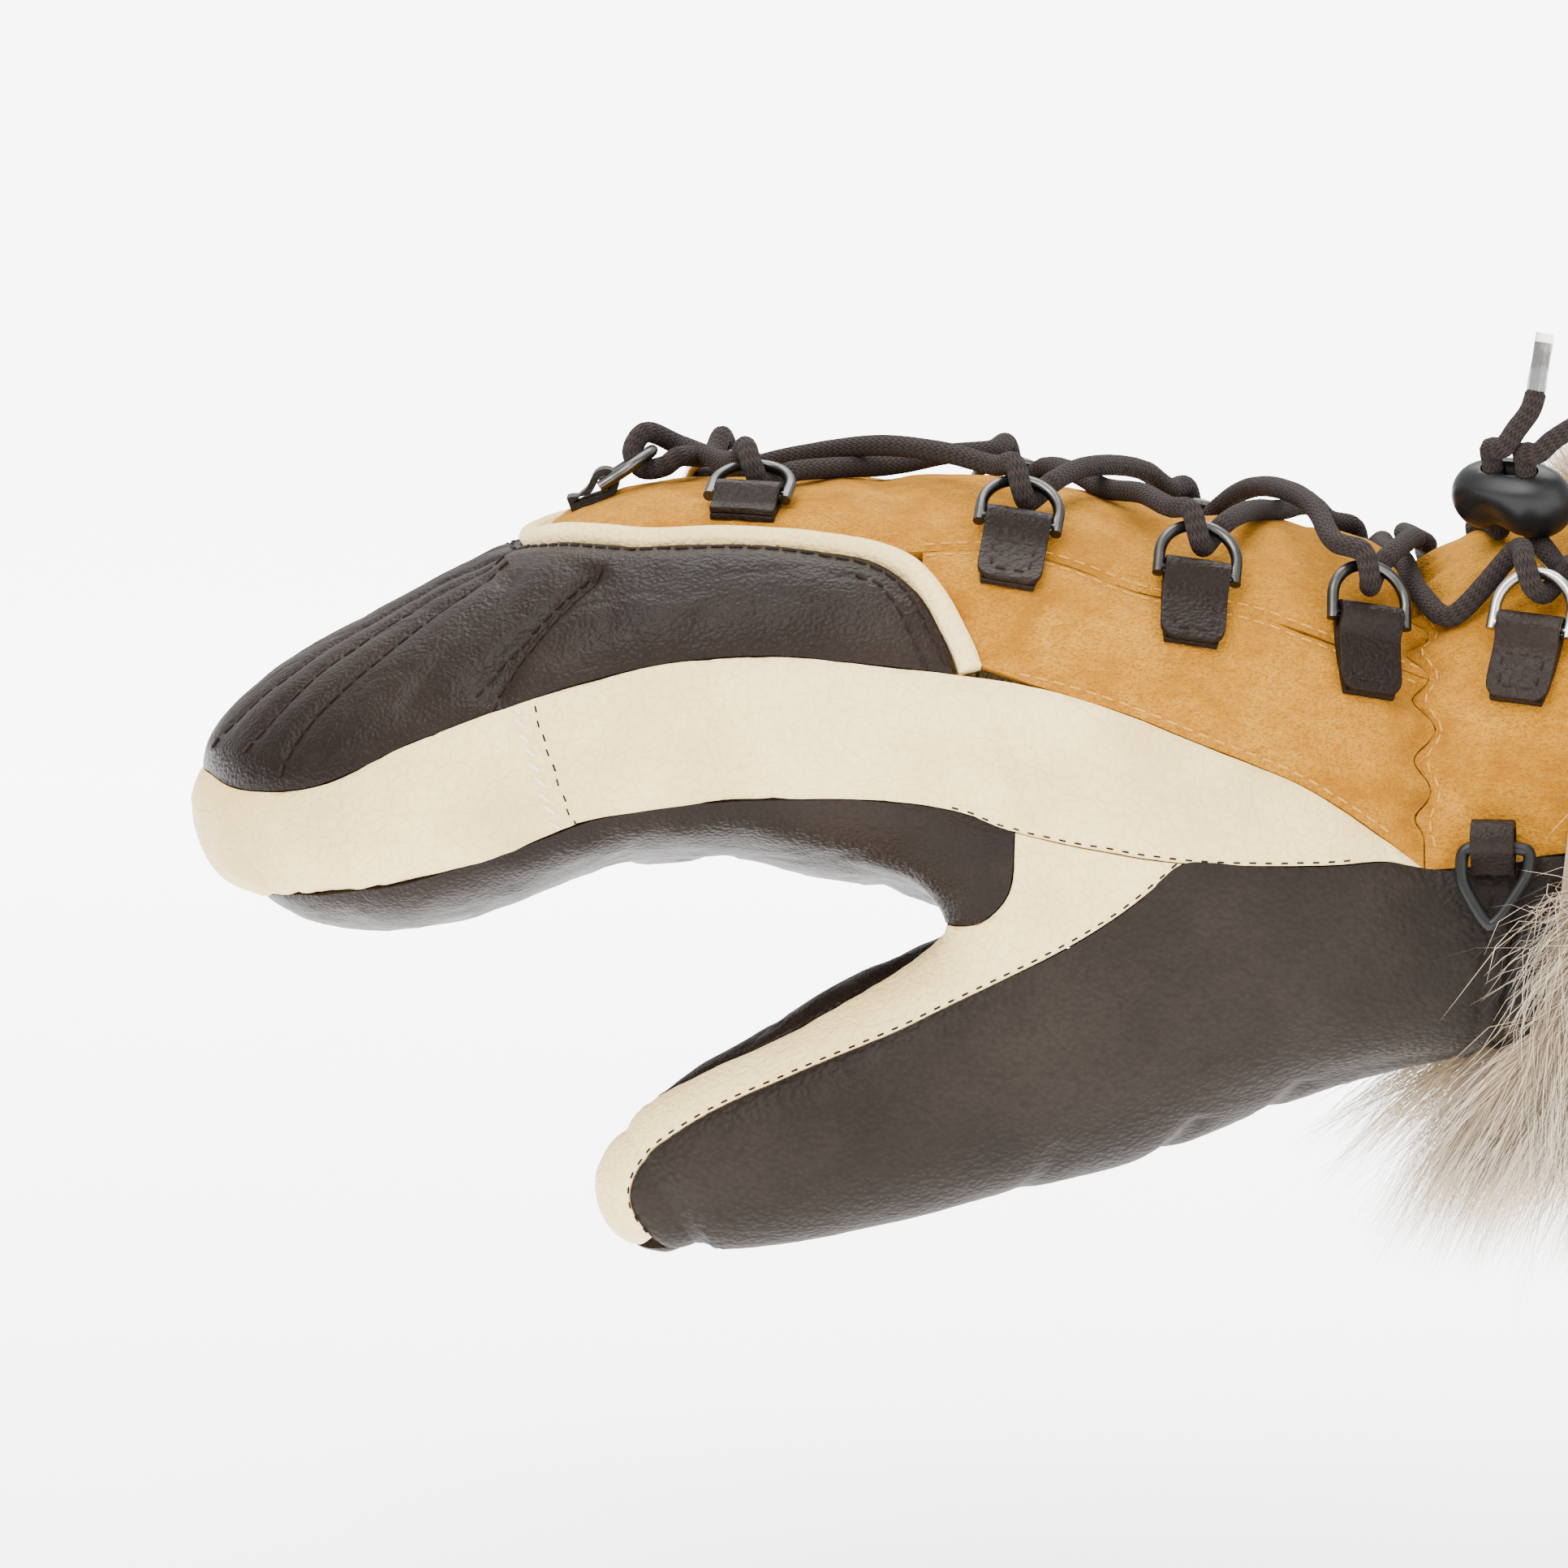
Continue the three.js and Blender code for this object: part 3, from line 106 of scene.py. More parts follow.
# Sections of the hand from the toe to the mouth: x, crown, widest level, belly, half width.
HAND = np.array([
    (-280, -3.5, -3.5, -3.5, 0), (-274.6, 10.1, -4.5, -15.7, 23), (-269.1, 15.6, -5, -18.8, 30.5),
    (-258.1, 23, -5.5, -23, 39), (-247, 29, -5, -24.2, 44.5), (-236, 35, -3, -22.8, 48),
    (-224.9, 40.5, 0, -19.6, 50.5), (-213.9, 46.2, 3.5, -15.2, 52), (-202.9, 49.4, 6.5, -12.5, 53),
    (-189.1, 50.3, 8.5, -12, 53.5), (-175.3, 50.5, 9, -15, 54), (-161.5, 51, 8.5, -17.5, 54),
    (-147.7, 50.6, 7, -22, 54), (-133.9, 49, 5, -24.2, 53.5), (-120.1, 46.3, 3, -26.2, 53),
    (-106.3, 44.2, 1, -29, 52), (-92.5, 43.1, -1, -32.4, 50), (-82, 40, -2.5, -35.5, 47.5),
    (-73.8, 35, -4, -38, 45), (-66, 39.5, -3.5, -41, 46.5), (-56.6, 43.1, -1.5, -43.5, 49),
    (-46.6, 43.5, -1, -44.9, 50.5), (-30.4, 44.2, -0.5, -45.5, 52), (0, 45.5, 0, -46.2, 54),
], float)
# Sections along the thumb from its tip into the hand: x, y, z, half depth, half width.
THUMB = np.array([
    (-200.4, -31, -65.7, 11, 9.8), (-197.3, -31, -63.9, 13.2, 12), (-186.3, -31, -59.8, 16.3, 15.5),
    (-175.3, -31, -55.8, 18.2, 17.5), (-164.2, -31, -51.5, 20.1, 19), (-153.2, -30, -47.3, 21.4, 20.5),
    (-142.1, -29, -43.5, 22.6, 22), (-131.1, -28, -39.3, 24, 23.5), (-120.1, -27, -35.2, 24.4, 25),
    (-103.5, -25, -30.4, 23.2, 25), (-86.9, -22, -28.3, 20.5, 25), (-70.4, -19, -27.6, 17.5, 25),
], float)
# Upper and lower edge of the side wall from the nose to the wrist: x and turn in degrees, twice.
SIDE = np.array([
    (-279, 0, -268.5, 180), (-278.6, 45, -268.3, 150), (-277, 66, -267.5, 130), (-272, 78, -265, 116),
    (-264, 79.5, -258, 108), (-256, 78, -250, 104.5), (-244, 72.5, -240, 101.5), (-230, 71, -228, 100),
    (-215, 71.2, -214, 97.6), (-198, 72, -198, 98.5), (-182, 72.5, -182, 98.7), (-166, 74, -166, 98.5),
    (-152.3, 74.4, -152, 98.8), (-137, 74.8, -141.9, 101), (-123, 77.3, -125, 101.8),
    (-109, 81.2, -114.3, 101.5), (-96, 84.8, -97, 99.6), (-87, 89.2, -88, 98.4), (-79.5, 93.6, -80, 96.9),
], float)
PIPING = np.array([
    (-223, 0), (-223, 2), (-222.9, 4), (-222.8, 6), (-222.6, 9), (-222.2, 12), (-220.5, 17), (-211, 33),
    (-203, 40.5), (-190, 43), (-175.4, 46), (-160.5, 52), (-150.6, 69.3), (-149.2, 73.3),
], float)
CAP_ROWS = 13
SUEDE_START = 10.7
TONGUE_START = 0.07
SUEDE_SEAM = np.array([
    (-157, 48.2), (-148, 46.4), (-133.5, 47.2), (-121.5, 51.2), (-104, 51.6), (-89, 56), (WRIST_X, 56.5),
], float)
# Borders of the cream strip up the thumb: inner and outer points.
THUMB_STRIP = np.array([
    (-204.5, -31, -74.5, -202, -37.5, -73.5), (-208.5, -26.5, -68, -205.4, -38.6, -67),
    (-208.5, -25.5, -60, -204, -40, -60.5), (-203.3, -29, -52.6, -199, -41.3, -56),
    (-194.5, -34, -46.3, -191, -42.9, -51), (-181.5, -38, -38.7, -178, -45, -45),
    (-167.5, -38.5, -31, -164, -46.8, -39), (-158, -34.5, -25, -152, -46.9, -33.6),
    (-150.5, -24, -21.4, -141.7, -46.9, -29), (-152.5, -37, -20.5, -134.5, -46.9, -25.2),
    (-147, -47.5, -19.5, -127.5, -46.9, -20.6), (-142.8, -50.3, -14.5, -120.8, -48, -14.8),
], float)
PALM_FOLD = np.array([
    (-150.5, -24, -21.4), (-146.5, -15, -23.8), (-133, -6, -28), (-111, 0, -31), (-90, 4, -36),
    (-76, 6, -38.8), (-64, 8, -41.5),
], float)
HEM = np.array([(98.5, -58.5), (128, -61.5), (159, -64.6), (192, -64), (262, -60)], float)
CAP_CENTRE = -228.0
WALL_CENTRE = -238.0
PALM_CENTRE = -250.0
CROTCH_CENTRE = -140.0
SIDE_PULL = 0.6
SUEDE_TURN = 97.6
HEM_TUCK = 4.5
LINING_X = -56.0
CROTCH_COLUMN = 4
STRIP_INNER_END = 13
STRIP_OUTER_END = 15
LOW_TURN = 159.0
FOLD_TURN = 192.0
SIDE_HEM_TURN = 98.5
SIDE_HEM_LEAD = (-70.0, 97.6)
FAR_HEM_TURN = 262.0
THUMB_TIP_LOW = (-199.5, -34.5, -75.8)
OUTER_ROWS = (0.2, 0.9, 1.5, 2.2, 3.1, 4.1, 5, 5.9, 6.8, 7.6, 8.3, 8.9, 9.5, 10, 10.5, 11)
INNER_ROWS = (0.2, 0.9, 1.5, 2.2, 3.1, 4.2, 5.2, 6.2, 7, 7.9, 8.9, 10, 10.8)
TIP_CENTRE = 1.1
HEM_CENTRE = 11.6


@dataclass(frozen=True)
class LaceRow:
    """Row of the lacing: a ring on each side of the tongue, at a place and turn."""

    x: float
    turn: float
    twist: float
    tab: float
    far_shift: float
    thumb_strand_above: bool


LACING = (
    LaceRow(-186.5, 32, 12, 5.5, -4, False), LaceRow(-142.2, 41.5, 6, 14, 0, True),
    LaceRow(-112.2, 47.5, 2, 14, 2, False), LaceRow(-83.2, 50, -7, 14, 2, True),
    LaceRow(-57.5, 54, 18, 13, -10, True),
)
# Points of the lace through a ring: along its bar, out and above.
RING_PASS = ((-5.2, 13.8, -2.2), (-2.3, 10.1, 3.15), (-0.6, 6.6, 1.7), (0.8, 6.5, -1.6), (2.5, 9.9, -3.25),
             (4, 12.4, -3.1))
SAGGING_STRAND = ((-78.5, -16), (-76.5, 10), (-73, 32), (-67.5, 45))
LOCK_CENTRE = (-58.0, -24.0, 49.2)
LOCK_LONG, LOCK_TALL, LOCK_DEEP = 21.5, 15.0, 13.0
BORE_SPREAD = 6.0
SHORT_END = ((-60.1, -30.4, 58.2), (-58, -31, 61.2), (-55.7, -31, 64.4), (-54.8, -30.6, 67.2))
SHORT_TIP = ((-54.7, -30.5, 67.6), (-53.2, -30, 77.2))
LONG_END = ((-54.6, -31.8, 57.2), (-52, -31.6, 59.4), (-48.4, -30.6, 61.6), (-44.4, -29, 63.6),
            (-40, -27.2, 65.2))
LONG_TIP = ((-39.6, -27, 65.3), (-30.4, -23.6, 67.4))

UP = np.array((0.0, 0.0, 1.0))
DOWN = -UP
THUMB_SIDE = np.array((0.0, -1.0, 0.0))
FAR_SIDE = -THUMB_SIDE


# Curves and the form

def unit(v: Array) -> Array:
    """Return vectors scaled to length one along the last axis."""
    v = np.asarray(v, float)
    return v / np.maximum(np.linalg.norm(v, axis=-1, keepdims=True), 1e-9)


def mirrored(p: Array) -> Array:
    """Return points reflected to the mitten's other side."""
    return np.asarray(p, float) * (1, -1, 1)


def smooth(t: Array) -> Array:
    """Return a soft step from nought to one."""
    t = np.clip(t, 0, 1)
    return t * t * (3 - 2 * t)


def lerp(a: Array, b: Array, t: float) -> Array:
    """Return the blend from a to b."""
    return a * (1 - t) + b * t


class Monotone:
    """Smooth curve through a column of values that never overshoots them."""

    def __init__(self, xs: Array, ys: Array) -> None:
        """Work out the slopes.

        Args:
            xs: Rising places of the knots.
            ys: Value at each knot.
        """
        self.xs, self.ys = np.asarray(xs, float), np.asarray(ys, float)
        gaps = np.diff(self.xs)
        rises = np.diff(self.ys) / gaps
        slopes = np.empty(len(self.xs))
        slopes[0], slopes[-1] = rises[0], rises[-1]
        for i in range(1, len(self.xs) - 1):
            if rises[i - 1] * rises[i] <= 0:
                slopes[i] = 0
                continue
            before, after = 2 * gaps[i] + gaps[i - 1], gaps[i] + 2 * gaps[i - 1]
            slopes[i] = (before + after) / (before / rises[i - 1] + after / rises[i])
        self.gaps, self.slopes = gaps, slopes

    def __call__(self, value: Array) -> Array:
        """Return the curve's value, held at its ends."""
        q = np.clip(value, self.xs[0], self.xs[-1])
        i = np.clip(np.searchsorted(self.xs, q, side="left") - 1, 0, len(self.gaps) - 1)
        t = (q - self.xs[i]) / self.gaps[i]
        blend = t * t * (3 - 2 * t)
        bend = self.gaps[i] * t * (1 - t) * ((1 - t) * self.slopes[i] - t * self.slopes[i + 1])
        return self.ys[i] * (1 - blend) + self.ys[i + 1] * blend + bend


def hermite(knots: Sequence[Array], t: Array, least: float) -> Array:
    """Return points between the second and third of four knots, on a curve that doesn't overshoot.

    Args:
        knots: The four knots, or arrays of them.
        t: Shares of the way.
        least: Distance that keeps knots on one spot apart.

    Returns:
        The points.
    """
    p0, p1, p2, p3 = knots
    d0, d1, d2 = (np.sqrt(np.linalg.norm(b - a, axis=-1, keepdims=True)) + least
                  for a, b in ((p0, p1), (p1, p2), (p2, p3)))
    leave = ((p1 - p0) / d0 - (p2 - p0) / (d0 + d1) + (p2 - p1) / d1) * d1
    arrive = ((p2 - p1) / d1 - (p3 - p1) / (d1 + d2) + (p3 - p2) / d2) * d1
    return (p1 * (2 * t ** 3 - 3 * t ** 2 + 1) + leave * (t ** 3 - 2 * t ** 2 + t)
            + p2 * (3 * t ** 2 - 2 * t ** 3) + arrive * (t ** 3 - t ** 2))


def spline_rows(grid: Array, fine: int, breaks: Sequence[int] = ()) -> Array:
    """Refine a grid along its rows with a smooth curve through each column.

    Args:
        grid: Points, rows by columns by three.
        fine: Steps for each cell.
        breaks: Rows where the curves may have a corner.

    Returns:
        The refined grid.
    """
    parts = []
    edges = [0, *breaks, len(grid) - 1]
    for start, end in zip(edges, edges[1:]):
        p = grid[start:end + 1]
        whole = np.concatenate([2 * p[:1] - p[1:2], p, 2 * p[-1:] - p[-2:-1]])
        knots = [part[:, None] for part in (whole[:-3], whole[1:-2], whole[2:-1], whole[3:])]
        rows = hermite(knots, (np.arange(fine) / fine)[None, :, None, None], 1e-3)
        parts.append(rows.reshape(-1, *grid.shape[1:]))
    return np.concatenate([*parts, grid[-1:]])


class Curve:
    """Smooth line through points, with one knot for each."""

    def __init__(self, points: Sequence[Array]) -> None:
        """Keep the points."""
        self.points = np.asarray(points, float)

    def __call__(self, u: Array) -> Array:
        """Return the points at shares of the whole line.

        Args:
            u: Shares from nought to one.

        Returns:
            One point for each share.
        """
        p = self.points
        place = np.clip(np.atleast_1d(np.asarray(u, float)), 0, 1) * (len(p) - 1)
        i = np.minimum(place.astype(int), len(p) - 2)
        t = (place - i)[:, None]
        whole = np.concatenate([2 * p[:1] - p[1:2], p, 2 * p[-1:] - p[-2:-1]])
        return hermite([whole[i + k] for k in range(4)], t, 1e-6)

    def even(self, step: float, dense: int = 24) -> Array:
        """Return points along the line at even distances.

        Args:
            step: Rough distance between points.
            dense: Measuring points for each knot.

        Returns:
            The points.
        """
        fine = self(np.linspace(0, 1, dense * (len(self.points) - 1) + 1))
        run = np.concatenate([[0], np.cumsum(np.linalg.norm(np.diff(fine, axis=0), axis=1))])
        places = np.linspace(0, run[-1], max(int(round(run[-1] / step)), 2) + 1)
        return np.stack([np.interp(places, run, fine[:, k]) for k in range(3)], axis=1)


class Form:
    """Outer form of the whole mitten as a signed distance that is close to true near the surface."""

    THUMB_STEPS = 44
    # The thumb reaches no further toward the toe, up and across, and is far from what lies past that.
    THUMB_BOX, THUMB_FAR = (-262.0, 30.0, 70.0), 80.0
    SLOPE_REACH, LONGEST_MOVE = 0.3, 2.0
    CAST_STEP, CAST_STEPS, CAST_HALVINGS = 1.5, 80, 16

    def __init__(self) -> None:
        """Prepare the curves of the hand and the thumb."""
        stations = np.sqrt(HAND[:, 0] - TOE_X)
        self.hand_curves = [Monotone(stations, HAND[:, k]) for k in range(1, 5)]
        rows = np.arange(len(THUMB))
        self.thumb_curves = [Monotone(rows, THUMB[:, k]) for k in range(5)]
        q = np.linspace(0, len(THUMB) - 1, self.THUMB_STEPS + 1)
        self.spine = np.stack([curve(q) for curve in self.thumb_curves], axis=1)
        self.hem = Monotone(HEM[:, 0], HEM[:, 1])

    def section(self, x: Array) -> tuple[Array, Array, Array, Array]:
        """Return crown, widest level, belly and half width at x."""
        station = np.sqrt(np.maximum(np.asarray(x, float) - TOE_X, 0))
        top, waist, bottom, half = (curve(station) for curve in self.hand_curves)
        return top, waist, bottom, half

    def hand(self, p: Array) -> Array:
        """Return the distance to the hand alone."""
        top, waist, bottom, half = self.section(p[:, 0])
        above = p[:, 2] >= waist
        height = np.maximum(np.where(above, top - waist, waist - bottom), 1e-3)
        power = np.where(above, CROWN_ROUNDNESS, BELLY_ROUNDNESS)
        across = np.abs(p[:, 1]) / np.maximum(half, 1e-3)
        up = np.abs(p[:, 2] - waist) / height
        scale = (across ** power + up ** power) ** (1 / power)
        reach = np.hypot(p[:, 1], p[:, 2] - waist)
        inside = np.where(scale > 1e-6, reach * (1 - 1 / np.maximum(scale, 1e-6)), -half)
        return np.where(p[:, 0] < TOE_X, np.maximum(inside, TOE_X - p[:, 0]), inside)

    def thumb(self, p: Array) -> Array:
        """Return the distance to the thumb alone."""
        start, step = self.spine[:-1, :3], np.diff(self.spine[:, :3], axis=0)
        away = p[:, None] - start[None]
        t = np.clip((away * step).sum(-1) / (step * step).sum(-1), 0, 1)
        best = np.argmin(((away - t[..., None] * step) ** 2).sum(-1), axis=1)
        rows = np.arange(len(p))
        t, step, offset = t[rows, best][:, None], step[best], away[rows, best]
        offset = offset - step * t
        along = unit(step)
        wide_axis = unit(FAR_SIDE - along * along[:, 1:2])
        deep_axis = np.cross(along, wide_axis)
        size = self.spine[best, 3:] * (1 - t) + self.spine[best + 1, 3:] * t
        deep, wide = size[:, 0], size[:, 1]
        scale = np.sqrt(((offset * deep_axis).sum(-1) / deep) ** 2 + ((offset * wide_axis).sum(-1) / wide) ** 2
                        + ((offset * along).sum(-1) / deep) ** 2)
        length = np.linalg.norm(offset, axis=1)
        return np.where(scale > 1e-6, length * (1 - 1 / np.maximum(scale, 1e-6)), -deep)

    def distance(self, p: Array) -> Array:
        """Return the distance to the whole form, negative inside."""
        p = np.atleast_2d(p)
        hand = self.hand(p)
        front, top, far = self.THUMB_BOX
        near = (p[:, 0] > front) & (p[:, 2] < top) & (p[:, 1] < far)
        if not near.any():
            return hand
        thumb = np.full(len(p), self.THUMB_FAR)
        thumb[near] = self.thumb(p[near])
        side = smooth((p[:, 1] - FILLET_FROM) / (FILLET_TO - FILLET_FROM))
        fillet = FOLD_FILLET + (SIDE_FILLET - FOLD_FILLET) * side
        mix = np.clip(0.5 + 0.5 * (thumb - hand) / fillet, 0, 1)
        return thumb * (1 - mix) + hand * mix - fillet * mix * (1 - mix)

    def slope(self, p: Array) -> Array:
        """Return how the distance grows along each axis."""
        steps = np.eye(3) * self.SLOPE_REACH
        return np.stack([(self.distance(p + step) - self.distance(p - step)) / (2 * self.SLOPE_REACH)
                         for step in steps], axis=1)

    def normal(self, p: Array) -> Array:
        """Return the outward normals at points near the surface."""
        return unit(self.slope(np.atleast_2d(p)))

    def settle(self, p: Array, rounds: int = 8) -> Array:
        """Move nearby points onto the surface.

        Args:
            p: The points, in an array of any shape.
            rounds: Number of moves.

        Returns:
            The moved points, in the same shape.
        """
        shape = np.shape(p)
        p = np.array(p, float).reshape(-1, 3)
        for _ in range(rounds):
            slope = self.slope(p)
            move = slope * (-self.distance(p) / np.maximum((slope ** 2).sum(-1), 1e-6))[:, None]
            length = np.linalg.norm(move, axis=1, keepdims=True)
            p = p + move * np.minimum(1, self.LONGEST_MOVE / np.maximum(length, 1e-9))
        return p.reshape(shape)

    def cast(self, centre: Array, rays: Array, distance: Optional[Callable[[Array], Array]] = None) -> Array:
        """Return the first points where rays from inside leave the form.

        Args:
            centre: Start of the rays.
            rays: Directions, one row each.
            distance: Distance to cast on, or the whole form's.

        Returns:
            One point for each ray.
        """
        measure = distance or self.distance
        rays = unit(np.atleast_2d(rays))
        far = np.zeros(len(rays))
        for _ in range(self.CAST_STEPS):
            inside = measure(centre + rays * far[:, None]) < 0
            if not inside.any():
                break
            far[inside] += self.CAST_STEP
        near = far - self.CAST_STEP
        for _ in range(self.CAST_HALVINGS):
            middle = (near + far) / 2
            inside = measure(centre + rays * middle[:, None]) < 0
            near, far = np.where(inside, middle, near), np.where(inside, far, middle)
        return centre + rays * near[:, None]

    def centre(self, x: float) -> Array:
        """Return the middle of the hand at x, at its widest level."""
        return np.array((x, 0.0, float(self.section(x)[1])))

    def on_hand(self, x: float, turn: float) -> Array:
        """Return the surface point at x, turned from straight up toward the thumb side."""
        angle = math.radians(turn)
        return self.cast(self.centre(x), np.array((0, -math.sin(angle), math.cos(angle))))[0]

    def on_hem(self, turn: float) -> Array:
        """Return the surface point on the hem at a turn."""
        return self.on_hand(float(self.hem(turn)), turn)

    def thumb_at(self, q: float) -> Array:
        """Return the middle of the thumb at a place counted in table rows."""
        last = len(THUMB) - 1
        inside = min(q, last)
        beyond = (q - inside) * (THUMB[last, 0] - THUMB[last - 1, 0])
        x, y, z = (float(curve(inside)) for curve in self.thumb_curves[:3])
        return np.array((x + beyond, y, z))

    def thumb_low(self, q: float) -> Array:
        """Return the thumb's lower line, a little onto the palm side of its lowest edge."""
        along = unit(self.thumb_at(q + 0.05) - self.thumb_at(max(q - 0.05, 0)))
        down = unit(DOWN - along * along.dot(DOWN))
        return self.cast(self.thumb_at(q), down + FAR_SIDE * 0.2)[0]

    def ruled(self, a: Array, b: Array, centre: Array, count: int, via: Optional[Array] = None,
              distance: Optional[Callable[[Array], Array]] = None) -> Array:
        """Return a row of surface points from a to b as seen from a centre.

        Args:
            a: First point.
            b: Last point.
            centre: Point inside that the row is cast from.
            count: Number of steps.
            via: Direction that the row passes on its way.
            distance: Distance to cast on, or the whole form's.

        Returns:
            The row, with a and b at its ends.
        """
        start, end = unit(a - centre), unit(b - centre)
        first = math.acos(np.clip(start.dot(via), -1, 1)) if via is not None else 0.0
        total = first + math.acos(np.clip(via.dot(end), -1, 1)) if via is not None else 1.0
        rays = []
        for t in np.arange(1, count) / count * total:
            if via is None:
                rays.append(slerp(start, end, t))
            elif t < first:
                rays.append(slerp(start, via, t / first))
            else:
                rays.append(slerp(via, end, (t - first) / (total - first)))
        return np.vstack([a, self.cast(centre, np.array(rays), distance), b])


def slerp(a: Array, b: Array, t: float) -> Array:
    """Return a direction on the arc from a to b."""
    angle = math.acos(float(np.clip(np.dot(a, b), -1, 1)))
    if angle < 1e-4:
        return unit(a + (b - a) * t)
    return unit(a * math.sin((1 - t) * angle) + b * math.sin(t * angle))


class Noise:
    """Seeded value noise on points."""

    def __init__(self, seed: int) -> None:
        """Fill the table of values."""
        self.table = np.random.default_rng(seed).uniform(-1, 1, (64, 64, 64))

    def once(self, p: Array, size: float) -> Array:
        """Return one octave with bumps of the given size in millimetres."""
        q = p / size + 211.3
        cell = np.floor(q).astype(int)
        t = smooth(q - cell)
        total = np.zeros(len(p))
        for corner in np.ndindex(2, 2, 2):
            weight = np.prod(np.where(np.array(corner), t, 1 - t), axis=1)
            i, j, k = ((cell + corner) % 64).T
            total += weight * self.table[i, j, k]
        return total

    def __call__(self, p: Array, size: float, octaves: int = 3) -> Array:
        """Return several octaves added together, each half the size of the last."""
        return sum(self.once(p + 31.7 * k, size / 2 ** k) / 2 ** k for k in range(octaves))

    def creases(self, p: Array, size: float) -> Array:
        """Return thin creases, from nought between them to one in them."""
        return np.clip(1 - 5 * np.abs(self(p, size, 2)), 0, 1) ** 2


FORM = Form()
NOISE = Noise(7)


# Finishes

class Slot(Enum):
    """Material slots of the record."""

    DARK = "dark_leather"
    CREAM = "cream_leather"
    SUEDE = "suede"
    LACE = "lace"
    GUNMETAL = "gunmetal"
    PLASTIC = "black_plastic"
    AGLET = "aglet"
    FUR = "fur"


Colour = tuple[float, float, float]


def rgba(colour: Colour) -> tuple[float, float, float, float]:
    """Return a colour with full alpha."""
    return (*colour, 1.0)


class Graph:
    """Nodes of one material, with a Principled shader at their end."""

    def __init__(self, name: str) -> None:
        """Start a material.

        Args:
            name: Name of the material.
        """
        self.material = bpy.data.materials.new(name)
        self.material.use_nodes = True
        self.tree = self.material.node_tree
        self.tree.nodes.clear()
        self.shader = self.tree.nodes.new("ShaderNodeBsdfPrincipled")
        output = self.tree.nodes.new("ShaderNodeOutputMaterial")
        self.tree.links.new(self.shader.outputs["BSDF"], output.inputs["Surface"])
        self.coords = self.tree.nodes.new("ShaderNodeTexCoord")

    def fill(self, socket: bpy.types.NodeSocket, value: object) -> None:
        """Link a socket to another one, or set its value."""
        if isinstance(value, bpy.types.NodeSocket):
            self.tree.links.new(value, socket)
        else:
            socket.default_value = value

    def node(self, kind: str, settings: dict[str, object], inputs: dict[object, object]) -> bpy.types.Node:
        """Add a node.

        Args:
            kind: Type of the node.
            settings: Its properties.
            inputs: Values or sockets for its inputs, by name or number.

        Returns:
            The node.
        """
        made = self.tree.nodes.new(kind)
        for key, value in settings.items():
            setattr(made, key, value)
        for key, value in inputs.items():
            self.fill(made.inputs[key], value)
        return made

    def shade(self, **inputs: object) -> None:
        """Fill the shader's inputs, with underscores for spaces."""
        for key, value in inputs.items():
            self.fill(self.shader.inputs[key.replace("_", " ")], value)

    def stretched(self, scale: tuple[float, float, float], turn: float = 0.0) -> bpy.types.NodeSocket:
        """Return object coordinates scaled along each axis and turned about Y."""
        return self.node("ShaderNodeMapping", {}, {"Vector": self.coords.outputs["Object"], "Scale": scale,
                                                   "Rotation": (0, turn, 0)}).outputs[0]

    def noise(self, scale: float, detail: float = 3.0, vector: Optional[bpy.types.NodeSocket] = None,
              warp: float = 0.0) -> bpy.types.NodeSocket:
        """Return a noise pattern.

        Args:
            scale: Number of bumps a metre.
            detail: Octaves.
            vector: Coordinates, or the object's own.
            warp: Distortion.

        Returns:
            Its socket.
        """
        made = self.node("ShaderNodeTexNoise", {}, {
            "Vector": vector or self.coords.outputs["Object"], "Scale": scale, "Detail": detail,
            "Distortion": warp})
        return made.outputs[0]

    def cells(self, scale: float, feature: str = "F1", vector: Optional[bpy.types.NodeSocket] = None,
              random: float = 1.0) -> bpy.types.NodeSocket:
        """Return the distances of a cell pattern.

        Args:
            scale: Number of cells a metre.
            feature: What is measured.
            vector: Coordinates, or the object's own.
            random: How uneven the cells are.

        Returns:
            Its socket.
        """
        made = self.node("ShaderNodeTexVoronoi", {"feature": feature}, {
            "Vector": vector or self.coords.outputs["Object"], "Scale": scale, "Randomness": random})
        return made.outputs["Distance"]

    def spread(self, value: bpy.types.NodeSocket, low: float, high: float, to_low: float = 0.0,
               to_high: float = 1.0) -> bpy.types.NodeSocket:
        """Map a range of values onto another one, held at its ends."""
        return self.node("ShaderNodeMapRange", {}, {
            "Value": value, "From Min": low, "From Max": high, "To Min": to_low, "To Max": to_high}).outputs[0]

    def maths(self, operation: str, a: object, b: object = 0.0) -> bpy.types.NodeSocket:
        """Return the result of a sum on two values."""
        return self.node("ShaderNodeMath", {"operation": operation}, {0: a, 1: b}).outputs[0]

    def ramp(self, value: bpy.types.NodeSocket, stops: Sequence[tuple[float, Colour]]) -> bpy.types.NodeSocket:
        """Return a colour from a ramp of stops."""
        made = self.node("ShaderNodeValToRGB", {}, {"Fac": value})
        elements = made.color_ramp.elements
        while len(elements) < len(stops):
            elements.new(0.5)
        for element, (place, colour) in zip(elements, stops):
            element.position = place
            element.color = rgba(colour)
        return made.outputs["Color"]

    def mix(self, share: object, a: object, b: object, blend: str = "MIX") -> bpy.types.NodeSocket:
        """Return a blend of two colours."""
        made = self.node("ShaderNodeMix", {"data_type": "RGBA", "blend_type": blend}, {})
        self.fill(made.inputs[0], share)
        for socket, value in ((made.inputs[6], a), (made.inputs[7], b)):
            self.fill(socket, rgba(value) if isinstance(value, tuple) and len(value) == 3 else value)
        return made.outputs[2]

